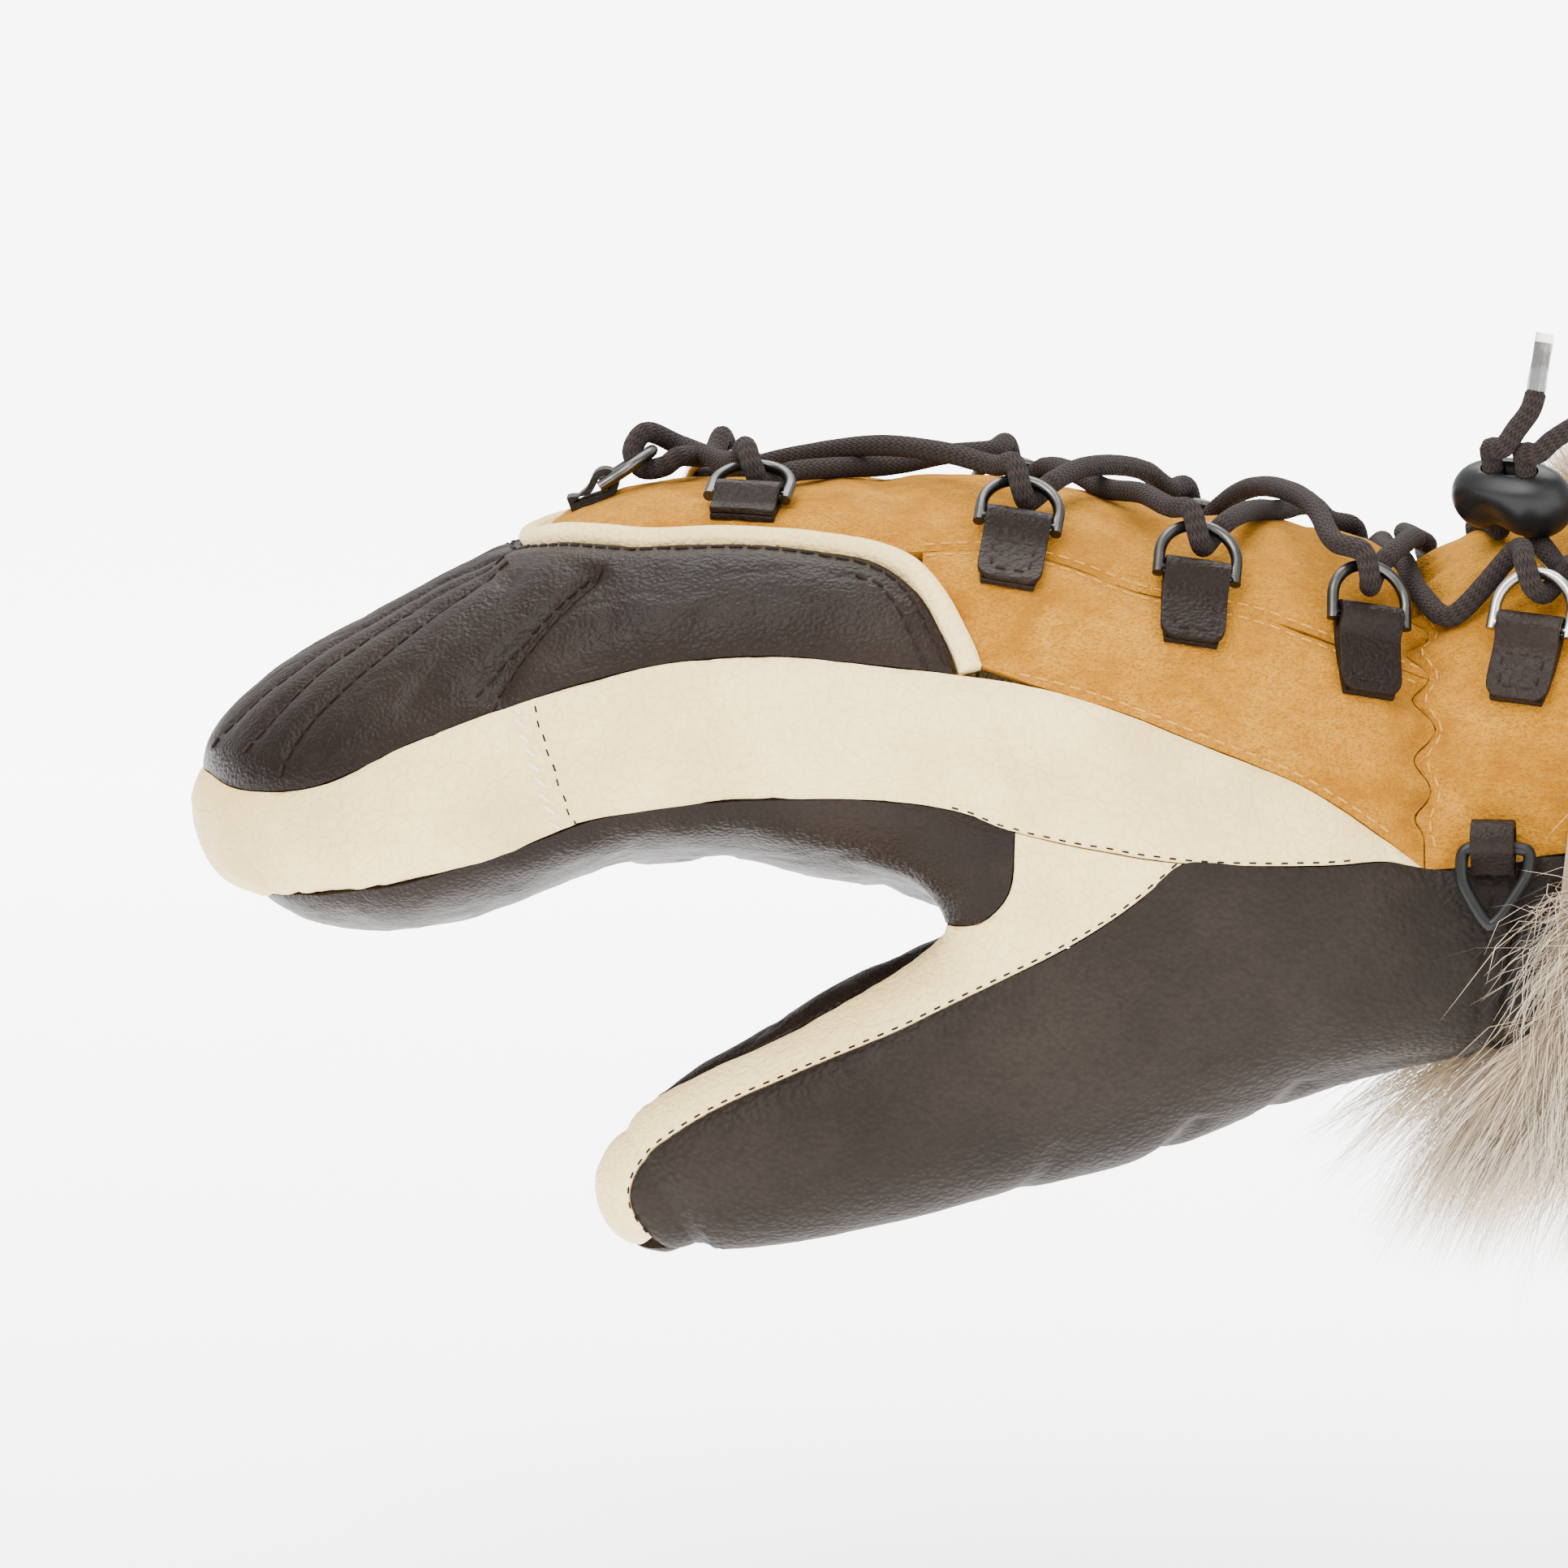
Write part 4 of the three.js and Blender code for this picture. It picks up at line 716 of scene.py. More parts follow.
    def bump(self, height: bpy.types.NodeSocket, depth: float, strength: float = 1.0,
             under: Optional[bpy.types.NodeSocket] = None) -> bpy.types.NodeSocket:
        """Return a normal with bumps.

        Args:
            height: Height of the bumps.
            depth: Depth in millimetres at height one.
            strength: Share of the effect.
            under: Normal that they are added to.

        Returns:
            Its socket.
        """
        inputs: dict[object, object] = {"Height": height, "Distance": depth * MM, "Strength": strength}
        if under is not None:
            inputs["Normal"] = under
        return self.node("ShaderNodeBump", {}, inputs).outputs[0]


@dataclass(frozen=True)
class Leather:
    """Grained leather with pores, fine creases with painted shade in them, and rubbed tones."""

    name: str
    deep: Colour
    middle: Colour
    light: Colour
    roughness: float
    grain: float
    grain_depth: float
    crease_depth: float
    gloss: float = 0.4

    def material(self) -> bpy.types.Material:
        """Return the leather's material."""
        g = Graph(self.name)
        broad = g.noise(28, 4)
        pebbles = g.cells(1000 / self.grain, "SMOOTH_F1", g.stretched((1, 1, 1.15)))
        fine = g.noise(5200, 3)
        creases = g.cells(430, "DISTANCE_TO_EDGE", self.warped(g))
        crease_with_shade = g.spread(creases, 0.0, 0.08, 1.0, 0.0)
        wear = g.noise(220, 5)
        tone = g.ramp(broad, ((0.3, self.deep), (0.52, self.middle), (0.75, self.light)))
        tone = g.mix(g.spread(wear, 0.55, 0.75, 0.0, 0.35), tone, self.light)
        tone = g.mix(g.spread(pebbles, 0.25, 0.75, 0.0, 0.35), tone, self.deep)
        # painted shade: the colour is darkened toward the deep tone along the creases
        tone = g.mix(g.maths("MULTIPLY", crease_with_shade, 0.14), tone, self.deep)
        rough = g.spread(g.maths("ADD", g.maths("MULTIPLY", wear, 0.6), g.maths("MULTIPLY", pebbles, 0.4)),
                         0.2, 0.8, self.roughness - 0.07, self.roughness + 0.1)
        normal = g.bump(pebbles, self.grain_depth, 0.9)
        normal = g.bump(fine, 0.05, 0.6, normal)
        normal = g.bump(g.maths("MULTIPLY", crease_with_shade, -1.0), self.crease_depth, 0.8, normal)
        g.shade(Base_Color=tone, Roughness=rough, Normal=normal, Specular_IOR_Level=self.gloss)
        return g.material

    @staticmethod
    def warped(g: Graph) -> bpy.types.NodeSocket:
        """Return object coordinates bent by noise, for wandering creases."""
        bent = g.node("ShaderNodeTexNoise", {}, {"Vector": g.coords.outputs["Object"], "Scale": 90.0,
                                                 "Detail": 2.0}).outputs["Color"]
        return g.node("ShaderNodeMix", {"data_type": "RGBA", "blend_type": "ADD"}, {
            0: 0.006, 6: g.coords.outputs["Object"], 7: bent}).outputs[2]


@dataclass(frozen=True)
class SuedeNap:
    """Split leather with a brushed nap that turns lighter and darker in patches."""

    name: str
    deep: Colour
    middle: Colour
    light: Colour

    def material(self) -> bpy.types.Material:
        """Return the suede's material."""
        g = Graph(self.name)
        patches = g.noise(75, 5, g.stretched((1, 1, 1.3)), 0.6)
        strokes = g.noise(420, 4, g.stretched((0.6, 1, 1.5), 0.5), 0.8)
        fibres = g.noise(2600, 4, g.stretched((0.7, 1, 1.2), 0.6), 0.5)
        tone = g.ramp(patches, ((0.22, self.deep), (0.46, self.middle), (0.74, self.light)))
        tone = g.mix(g.spread(strokes, 0.5, 0.75, 0.0, 0.4), tone, self.light)
        tone = g.mix(g.spread(strokes, 0.5, 0.27, 0.0, 0.4), tone, self.deep)
        tone = g.mix(g.spread(fibres, 0.56, 0.34, 0.0, 0.85), tone, self.deep)
        normal = g.bump(strokes, 0.7, 0.7)
        normal = g.bump(fibres, 0.5, 0.9, normal)
        g.shade(Base_Color=tone, Roughness=0.95, Normal=normal, Specular_IOR_Level=0.04, Sheen_Weight=0.08,
                Sheen_Roughness=0.55, Sheen_Tint=rgba((1.0, 0.7, 0.25)))
        return g.material


@dataclass(frozen=True)
class Braid:
    """Round braided lace, woven on the piece's own UV map, with painted shade in its grooves and painted highlight
    on its strands.
    """

    name: str
    deep: Colour
    light: Colour
    strands: int = 8
    pitch: float = 1.5

    def material(self) -> bpy.types.Material:
        """Return the braid's material."""
        g = Graph(self.name)
        split = g.node("ShaderNodeSeparateXYZ", {}, {0: g.coords.outputs["UV"]})
        around = g.maths("MULTIPLY", split.outputs[0], float(self.strands))
        along = g.maths("MULTIPLY", split.outputs[1], 1.0 / self.pitch)
        zigzag = g.maths("ABSOLUTE", g.maths("SUBTRACT", g.maths("FRACT", around), 0.5))
        place = g.maths("FRACT", g.maths("ADD", along, g.maths("MULTIPLY", zigzag, 1.6)))
        rib = g.maths("SINE", g.maths("MULTIPLY", place, math.pi))
        groove = g.spread(zigzag, 0.0, 0.1, 0.0, 1.0)
        edge = g.spread(zigzag, 0.42, 0.5, 1.0, 0.35)
        height = g.maths("MULTIPLY", g.maths("MULTIPLY", rib, groove), edge)
        fuzz = g.noise(4200, 3)
        # painted shade and highlight: the colour runs from the deep tone in the braid's grooves to the light tone on
        # its raised strands
        tone = g.mix(g.spread(height, 0.2, 0.95), self.deep, self.light)
        tone = g.mix(g.spread(fuzz, 0.55, 0.75, 0.0, 0.4), tone, self.light)
        normal = g.bump(height, 0.5, 0.9)
        normal = g.bump(fuzz, 0.06, 0.6, normal)
        g.shade(Base_Color=tone, Roughness=0.82, Normal=normal, Specular_IOR_Level=0.12, Sheen_Weight=0.04)
        return g.material


@dataclass(frozen=True)
class Metal:
    """Plated wire with fine scratches and duller patches."""

    name: str
    colour: Colour
    dull: Colour
    roughness: float

    def material(self) -> bpy.types.Material:
        """Return the metal's material."""
        g = Graph(self.name)
        patches = g.noise(260, 4)
        scratches = g.noise(5000, 2, g.stretched((0.15, 1, 1)))
        tone = g.mix(g.spread(patches, 0.4, 0.7), self.colour, self.dull)
        rough = g.spread(patches, 0.3, 0.7, self.roughness - 0.06, self.roughness + 0.14)
        g.shade(Base_Color=tone, Metallic=1.0, Roughness=rough, Normal=g.bump(scratches, 0.02, 0.5))
        return g.material


@dataclass(frozen=True)
class Plastic:
    """Moulded plastic with a faint orange peel and rubbed places."""

    name: str
    colour: Colour
    rubbed: Colour
    roughness: float

    def material(self) -> bpy.types.Material:
        """Return the plastic's material."""
        g = Graph(self.name)
        peel = g.noise(900, 2)
        rub = g.noise(120, 5)
        tone = g.mix(g.spread(rub, 0.55, 0.8, 0.0, 0.6), self.colour, self.rubbed)
        rough = g.spread(rub, 0.35, 0.7, self.roughness, self.roughness + 0.12)
        g.shade(Base_Color=tone, Roughness=rough, Normal=g.bump(peel, 0.05, 0.35), Specular_IOR_Level=0.2)
        return g.material


@dataclass(frozen=True)
class ClearSleeve:
    """Clear shrunk plastic with slight waves."""

    name: str

    def material(self) -> bpy.types.Material:
        """Return the sleeve's material."""
        g = Graph(self.name)
        waves = g.noise(420, 2)
        tone = g.mix(g.spread(waves, 0.3, 0.7), (0.93, 0.92, 0.9), (0.8, 0.79, 0.77))
        g.shade(Base_Color=tone, Roughness=g.spread(waves, 0.3, 0.7, 0.06, 0.2), Transmission_Weight=0.92,
                IOR=1.45, Normal=g.bump(waves, 0.08, 0.5))
        return g.material


@dataclass(frozen=True)
class Thread:
    """Twisted sewing thread."""

    name: str
    deep: Colour
    light: Colour

    def material(self) -> bpy.types.Material:
        """Return the thread's material."""
        g = Graph(self.name)
        twist = g.noise(3800, 2, g.stretched((1, 1, 1.6), 0.7))
        tone = g.mix(g.spread(twist, 0.35, 0.65), self.deep, self.light)
        g.shade(Base_Color=tone, Roughness=0.8, Normal=g.bump(twist, 0.08, 0.7), Specular_IOR_Level=0.08,
                Sheen_Weight=0.03)
        return g.material


@dataclass(frozen=True)
class FurHair:
    """Hair that runs from a darker root to a pale tip, with some dark hairs among it."""

    name: str
    root: Colour
    middle: Colour
    tip: Colour
    guard: Colour

    def material(self) -> bpy.types.Material:
        """Return the hair's material, on the strands' UV map."""
        g = Graph(self.name)
        split = g.node("ShaderNodeSeparateXYZ", {}, {0: g.coords.outputs["UV"]})
        tone = g.ramp(split.outputs[1], ((0.0, self.root), (0.35, self.middle), (0.8, self.tip)))
        patches = g.noise(60, 4)
        tone = g.mix(g.spread(patches, 0.45, 0.75, 0.0, 0.45), tone, self.middle)
        dark = g.maths("MULTIPLY", g.spread(split.outputs[0], 0.9, 0.93), g.spread(split.outputs[1], 0.2, 0.6))
        tone = g.mix(dark, tone, self.guard)
        g.shade(Base_Color=tone, Roughness=0.6, Specular_IOR_Level=0.3, Sheen_Weight=0.25)
        return g.material


class Finishes:
    """All the finishes of the mitten, each made once."""

    def __init__(self) -> None:
        """Make the materials."""
        self.dark = Leather("dark_leather", (0.0052, 0.0027, 0.0017), (0.0098, 0.0056, 0.0037),
                            (0.0175, 0.011, 0.0078), 0.42, 0.7, 0.22, 0.03, 0.1).material()
        self.grained = Leather("dark_grained_leather", (0.0065, 0.0041, 0.0028), (0.0135, 0.0094, 0.0067),
                               (0.0215, 0.0158, 0.0119), 0.52, 0.95, 0.34, 0.02, 0.1).material()
        self.cream = Leather("cream_leather", (0.6, 0.42, 0.16), (0.76, 0.57, 0.25), (0.84, 0.67, 0.33),
                             0.5, 0.9, 0.34, 0.1, 0.25).material()
        self.suede = SuedeNap("tan_suede", (0.21, 0.075, 0.003), (0.33, 0.135, 0.007), (0.45, 0.21, 0.02)).material()
        self.fleece = SuedeNap("fleece", (0.13, 0.085, 0.05), (0.24, 0.17, 0.105), (0.38, 0.29, 0.19)).material()
        self.raw_edge = Leather("raw_leather_edge", (0.06, 0.03, 0.02), (0.11, 0.06, 0.042),
                                (0.18, 0.105, 0.08), 0.85, 0.5, 0.25, 0.05, 0.1).material()
        self.lace = Braid("braided_lace", (0.0022, 0.0012, 0.001), (0.034, 0.0195, 0.0155)).material()
        self.gunmetal = Metal("gunmetal", (0.085, 0.082, 0.078), (0.045, 0.043, 0.04), 0.26).material()
        # painted highlight: a much lighter copy of the gunmetal for two rings that look bright
        self.highlight_metal = Metal("gunmetal_with_painted_highlight", (0.4, 0.385, 0.36), (0.24, 0.23, 0.215), 0.22).material()
        self.plastic = Plastic("black_plastic", (0.0055, 0.0058, 0.006), (0.012, 0.012, 0.012), 0.3).material()
        self.aglet = ClearSleeve("clear_sleeve").material()
        self.pale_thread = Thread("pale_thread", (0.6, 0.5, 0.34), (0.85, 0.77, 0.6)).material()
        self.ochre_thread = Thread("ochre_thread", (0.3, 0.13, 0.015), (0.5, 0.25, 0.05)).material()
        self.brown_thread = Thread("brown_thread", (0.006, 0.0028, 0.0024), (0.02, 0.011, 0.009)).material()
        self.fur = FurHair("fur_hair", (0.14, 0.09, 0.052), (0.44, 0.325, 0.2), (0.76, 0.64, 0.47),
                           (0.018, 0.011, 0.007)).material()


# Meshes

def deselect() -> None:
    """Deselect every object."""
    for obj in bpy.context.selected_objects:
        obj.select_set(False)


def activate(obj: bpy.types.Object) -> None:
    """Select one object alone and make it active."""
    deselect()
    obj.select_set(True)
    bpy.context.view_layer.objects.active = obj


def soften(obj: bpy.types.Object, degrees: float = 40.0) -> None:
    """Shade an object smooth, with edges sharper than an angle left sharp."""
    activate(obj)
    bpy.ops.object.shade_smooth_by_angle(angle=math.radians(degrees))
    deselect()


def mesh_object(name: str, points: Array, faces: Sequence[Sequence[int]],
                uv: Optional[Array] = None) -> bpy.types.Object:
    """Make an object from points in millimetres.

    Args:
        name: Name of the object.
        points: Vertices in millimetres.
        faces: Faces as lists of vertex numbers.
        uv: One pair for each vertex, or None.

    Returns:
        The object, with its origin at the frame's.
    """
    mesh = bpy.data.meshes.new(name)
    mesh.from_pydata((np.asarray(points) * MM).tolist(), [], [list(map(int, f)) for f in faces])
    if uv is not None:
        layer = mesh.uv_layers.new(name="UVMap")
        loops = np.empty(len(mesh.loops), int)
        mesh.loops.foreach_get("vertex_index", loops)
        layer.data.foreach_set("uv", np.asarray(uv, float)[loops].ravel())
    mesh.update()
    obj = bpy.data.objects.new(name, mesh)
    bpy.context.scene.collection.objects.link(obj)
    return obj


def settle_transform(obj: bpy.types.Object) -> None:
    """Move an object's place into its mesh."""
    obj.data.transform(obj.matrix_basis)
    obj.matrix_basis = Matrix.Identity(4)


def coordinates(obj: bpy.types.Object) -> Array:
    """Return an object's vertices in its own units."""
    flat = np.empty(len(obj.data.vertices) * 3)
    obj.data.vertices.foreach_get("co", flat)
    return flat.reshape(-1, 3)


def choose(obj: bpy.types.Object, kind: str, wanted: Callable[[object], bool]) -> None:
    """Select what passes a test, on an object in edit mode.

    Args:
        obj: The object.
        kind: What to test: verts, edges or faces.
        wanted: The test.
    """
    mesh = bmesh.from_edit_mesh(obj.data)
    for part in {"verts": mesh.verts, "edges": mesh.edges, "faces": mesh.faces}[kind]:
        part.select = wanted(part)
    bmesh.update_edit_mesh(obj.data)


def add_bevel(obj: bpy.types.Object, width: float, degrees: float) -> None:
    """Add a bevel in millimetres to the edges sharper than an angle.

    Args:
        obj: The object.
        width: Width of the bevel.
        degrees: The angle.
    """
    rounding = obj.modifiers.new("edges", "BEVEL")
    rounding.width = width * MM
    rounding.segments = 2
    rounding.angle_limit = math.radians(degrees)


def add_boolean(obj: bpy.types.Object, other: bpy.types.Object, operation: str) -> None:
    """Add a boolean with another object.

    Args:
        obj: The object that is changed.
        other: The object that changes it.
        operation: UNION or DIFFERENCE.
    """
    joined = obj.modifiers.new("joined", "BOOLEAN")
    joined.object = other
    joined.operation = operation
    joined.solver = "EXACT"


def apply_modifiers(obj: bpy.types.Object) -> None:
    """Apply an object's modifiers in order."""
    activate(obj)
    for modifier in list(obj.modifiers):
        bpy.ops.object.modifier_apply(modifier=modifier.name)
    deselect()


def hand_over(obj: bpy.types.Object, materials: Sequence[bpy.types.Material], slot: Slot,
              *nodes: str) -> bpy.types.Object:
    """Dress a finished piece and hook it to the frame.

    Args:
        obj: The piece.
        materials: Its materials.
        slot: The record's slot. Not used.
        nodes: CAD nodes that it stands for.

    Returns:
        The piece.
    """
    obj.data.materials.clear()
    for material in materials:
        obj.data.materials.append(material)
    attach(obj, BODY)
    if nodes:
        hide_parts(*nodes)
    LOG.info("%s: %d faces", obj.name, len(obj.data.polygons))
    return obj


def tube(path: Array, radius: Array, sides: int, closed: bool = False) -> tuple[Array, list, Array]:
    """Return a tube round a path.

    Args:
        path: Centres of its rings.
        radius: One radius, or one for each ring.
        sides: Points of each ring.
        closed: Whether the path closes on itself.

    Returns:
        Its points, faces and UV pairs. The second number of a pair runs in millimetres.
    """
    count = len(path)
    radius = np.broadcast_to(np.asarray(radius, float), (count,))
    if closed:
        ahead = unit(np.roll(path, -1, axis=0) - np.roll(path, 1, axis=0))
    else:
        ahead = unit(np.gradient(path, axis=0))
    side = unit(np.cross(ahead[0], UP if abs(ahead[0][2]) < 0.9 else FAR_SIDE))
    sides_list = []
    for along in ahead:
        side = unit(side - along * side.dot(along))
        sides_list.append(side)
    first = np.array(sides_list)
    if closed:
        last = unit(first[-1] - ahead[0] * first[-1].dot(ahead[0]))
        twist = math.atan2(float(np.cross(last, first[0]).dot(ahead[0])), float(last.dot(first[0])))
        turn = (np.arange(count) / count * twist)[:, None]
        first = first * np.cos(turn) + np.cross(ahead, first) * np.sin(turn)
    second = np.cross(ahead, first)
    angles = np.arange(sides) / sides * 2 * np.pi
    points = (path[:, None] + (first[:, None] * np.cos(angles)[:, None]
                               + second[:, None] * np.sin(angles)[:, None]) * radius[:, None, None])
    points = points.reshape(-1, 3)
    run = np.concatenate([[0], np.cumsum(np.linalg.norm(np.diff(path, axis=0), axis=1))])
    uv = np.stack([np.tile(np.abs(np.arange(sides) / sides * 2 - 1), count), np.repeat(run, sides)], axis=1)
    faces = []
    for i in range(count if closed else count - 1):
        after = (i + 1) % count
        for k in range(sides):
            turn_k = (k + 1) % sides
            faces.append((i * sides + k, i * sides + turn_k, after * sides + turn_k, after * sides + k))
    if not closed:
        faces.append(tuple(range(sides))[::-1])
        faces.append(tuple((count - 1) * sides + k for k in range(sides)))
    return points, faces, uv


# Leather panels

def turn_of(p: Array) -> Array:
    """Return each point's turn in degrees, from straight up toward the thumb side."""
    return np.degrees(np.arctan2(-p[:, 1], p[:, 2]))


def pucker_wave(p: Array) -> tuple[Array, Array]:
    """Return the wrist seam's wave round the hand, and how much of it reaches each point."""
    turn = turn_of(p)
    reach = smooth((97 - np.abs(turn)) / 6) * np.exp(-((p[:, 0] - WRIST_X) / 6) ** 2)
    return np.radians(PUCKER_RATE * (np.abs(turn) - PUCKER_START)), reach


def puckered(p: Array) -> Array:
    """Return points moved with the wrist seam's zigzag."""
    wave, reach = pucker_wave(p)
    shift = (PUCKER_SWAY * np.sin(wave) + 0.5 * np.sin(wave * 0.37 + 1)) * reach
    return p + np.stack([shift, np.zeros(len(p)), np.zeros(len(p))], axis=1)


@dataclass(frozen=True)
class Fold:
    """Groove or ridge along a line on the leather."""

    points: Sequence[Sequence[float]]
    width: float
    height: float
    both_sides: bool = False
    step: float = 2.5
    fade: float = 0.12

    def on(self, p: Array) -> Array:
        """Return the fold's height at each point."""
        line = Curve(self.points).even(self.step)
        total = self.profile(p, line)
        if self.both_sides:
            total = total + self.profile(mirrored(p), line)
        return total

    def profile(self, p: Array, line: Array) -> Array:
        """Return the height for one side's line, faded at its ends."""
        low, high = line.min(0) - 4 * self.width, line.max(0) + 4 * self.width
        near = ((p > low) & (p < high)).all(1)
        total = np.zeros(len(p))
        if not near.any():
            return total
        q = p[near][:, None] - line[None, :-1]
        step = np.diff(line, axis=0)[None]
        t = np.clip((q * step).sum(-1) / (step * step).sum(-1), 0, 1)
        away = np.linalg.norm(q - t[..., None] * step, axis=-1)
        best = np.argmin(away, axis=1)
        rows = np.arange(len(best))
        share = (best + t[rows, best]) / (len(line) - 1)
        fade = smooth(share / self.fade) * smooth((1 - share) / self.fade)
        total[near] = self.height * np.exp(-(away[rows, best] / self.width) ** 2) * fade
        return total


@dataclass
class Panel:
    """Leather wall cut from one or more grids of points on the form."""

    name: str
    grids: list[Array]
    fine: tuple[int, int]
    thickness: float
    relief: Relief
    row_breaks: tuple[int, ...] = ()
    inner_step: int = 4

    def sheets(self) -> list[Array]:
        """Return the refined grids, settled on the form."""
        sheets = []
        for grid in self.grids:
            breaks = tuple(b for b in self.row_breaks if b < len(grid) - 1)
            tall = spline_rows(grid, self.fine[0], breaks)
            wide = spline_rows(tall.transpose(1, 0, 2), self.fine[1]).transpose(1, 0, 2)
            sheets.append(FORM.settle(wide, 3))
        return sheets

    def build(self) -> bpy.types.Object:
        """Return the wall as an object, closed all round."""
        sheets = self.sheets()
        flat = puckered(np.concatenate([sheet.reshape(-1, 3) for sheet in sheets]))
        _, first, names = np.unique(np.round(flat, 2), axis=0, return_index=True, return_inverse=True)
        names = names.ravel()
        points = flat[first]
        normals = FORM.normal(points)
        grids, start = [], 0
        for sheet in sheets:
            rows, columns = sheet.shape[:2]
            grids.append(names[start:start + rows * columns].reshape(rows, columns))
            start += rows * columns
        quads = []
        for grid in grids:
            cells = np.stack([grid[:-1, :-1], grid[1:, :-1], grid[1:, 1:], grid[:-1, 1:]], -1).reshape(-1, 4)
            a, b, d = points[cells[:, 0]], points[cells[:, 1]], points[cells[:, 3]]
            facing = (np.cross(b - a, d - a) * normals[cells[:, 0]]).sum()
            quads.append(cells if facing > 0 else cells[:, ::-1])
        quads = np.concatenate(quads)
        quads = quads[[len(set(q)) > 2 for q in quads.tolist()]]
        edges = np.concatenate([quads[:, [k, (k + 1) % 4]] for k in range(4)])
        edges = edges[edges[:, 0] != edges[:, 1]]
        keys = edges.min(1) * len(points) + edges.max(1)
        _, where, count = np.unique(keys, return_index=True, return_counts=True)
        rim = edges[where[count == 1]]
        pull = np.zeros_like(points)
        inward = unit(np.cross(normals[rim[:, 0]], points[rim[:, 1]] - points[rim[:, 0]]))
        np.add.at(pull, rim[:, 0], inward)
        np.add.at(pull, rim[:, 1], inward)
        edge_points = np.unique(rim)
        tree = KDTree(len(edge_points))
        for k, name in enumerate(edge_points):
            tree.insert(points[name], k)
        tree.balance()
        away = np.array([tree.find(p)[2] for p in points])
        placed = points + unit(pull) * SEAM_GAP * (np.linalg.norm(pull, axis=1, keepdims=True) > 0)
        outer = placed + normals * self.relief(points, away)[:, None]
        rims = {(int(a), int(b)) for a, b in rim}
        return self.closed(grids, quads, rims, outer, placed - normals * self.thickness)

    def closed(self, grids: list[Array], quads: Array, rims: set[tuple[int, int]], outer: Array,
               under: Array) -> bpy.types.Object:
        """Add the coarser inner wall and the edge round it.

        Args:
            grids: Vertex numbers of each grid.
            quads: Faces of the outer wall.
            rims: Edges of its rim, in the faces' own direction.
            outer: Points of the outer wall.
            under: The same points moved inward.

        Returns:
            The object.
        """
        step = self.inner_step
        inner: dict[int, int] = {}
        points = [outer]
        added: list[Array] = []

        def inner_name(name: int) -> int:
            """Return the inner wall's number for a vertex of the outer one."""
            if name not in inner:
                inner[name] = len(outer) + len(added)
                added.append(under[name])
            return inner[name]

        faces = [tuple(dict.fromkeys(q)) for q in quads.tolist()]
        directed = {(int(q[k]), int(q[(k + 1) % 4])) for q in quads.tolist() for k in range(4)}
        for grid in grids:
            coarse = grid[::step, ::step]
            forward = (int(grid[0, 0]), int(grid[1, 0])) in directed
            for i in range(len(coarse) - 1):
                for j in range(coarse.shape[1] - 1):
                    cell = (coarse[i, j], coarse[i + 1, j], coarse[i + 1, j + 1], coarse[i, j + 1])
                    face = tuple(dict.fromkeys(inner_name(int(c)) for c in cell))
                    if len(face) > 2:
                        faces.append(face[::-1] if forward else face)
            for line in (grid[0], grid[-1], grid[:, 0], grid[:, -1]):
                for k in range(0, len(line) - 1, step):
                    stretch = [int(v) for v in line[k:k + step + 1]]
                    if (stretch[1], stretch[0]) in rims:
                        stretch.reverse()
                    elif (stretch[0], stretch[1]) not in rims:
                        continue
                    rim_face = [*stretch[::-1], inner_name(stretch[0]), inner_name(stretch[-1])]
                    faces.append(tuple(dict.fromkeys(rim_face)))
        points.append(np.array(added))
        obj = mesh_object(self.name, np.concatenate(points), faces)
        soften(obj, 50)
        return obj


def pillow(away: Array, height: float, reach: float) -> Array:
    """Return how far stuffed leather stands up, growing away from its seams."""
    return height * (1 - np.exp(-(away / reach) ** 2)) - 0.25 * np.exp(-(away / 0.7) ** 2)


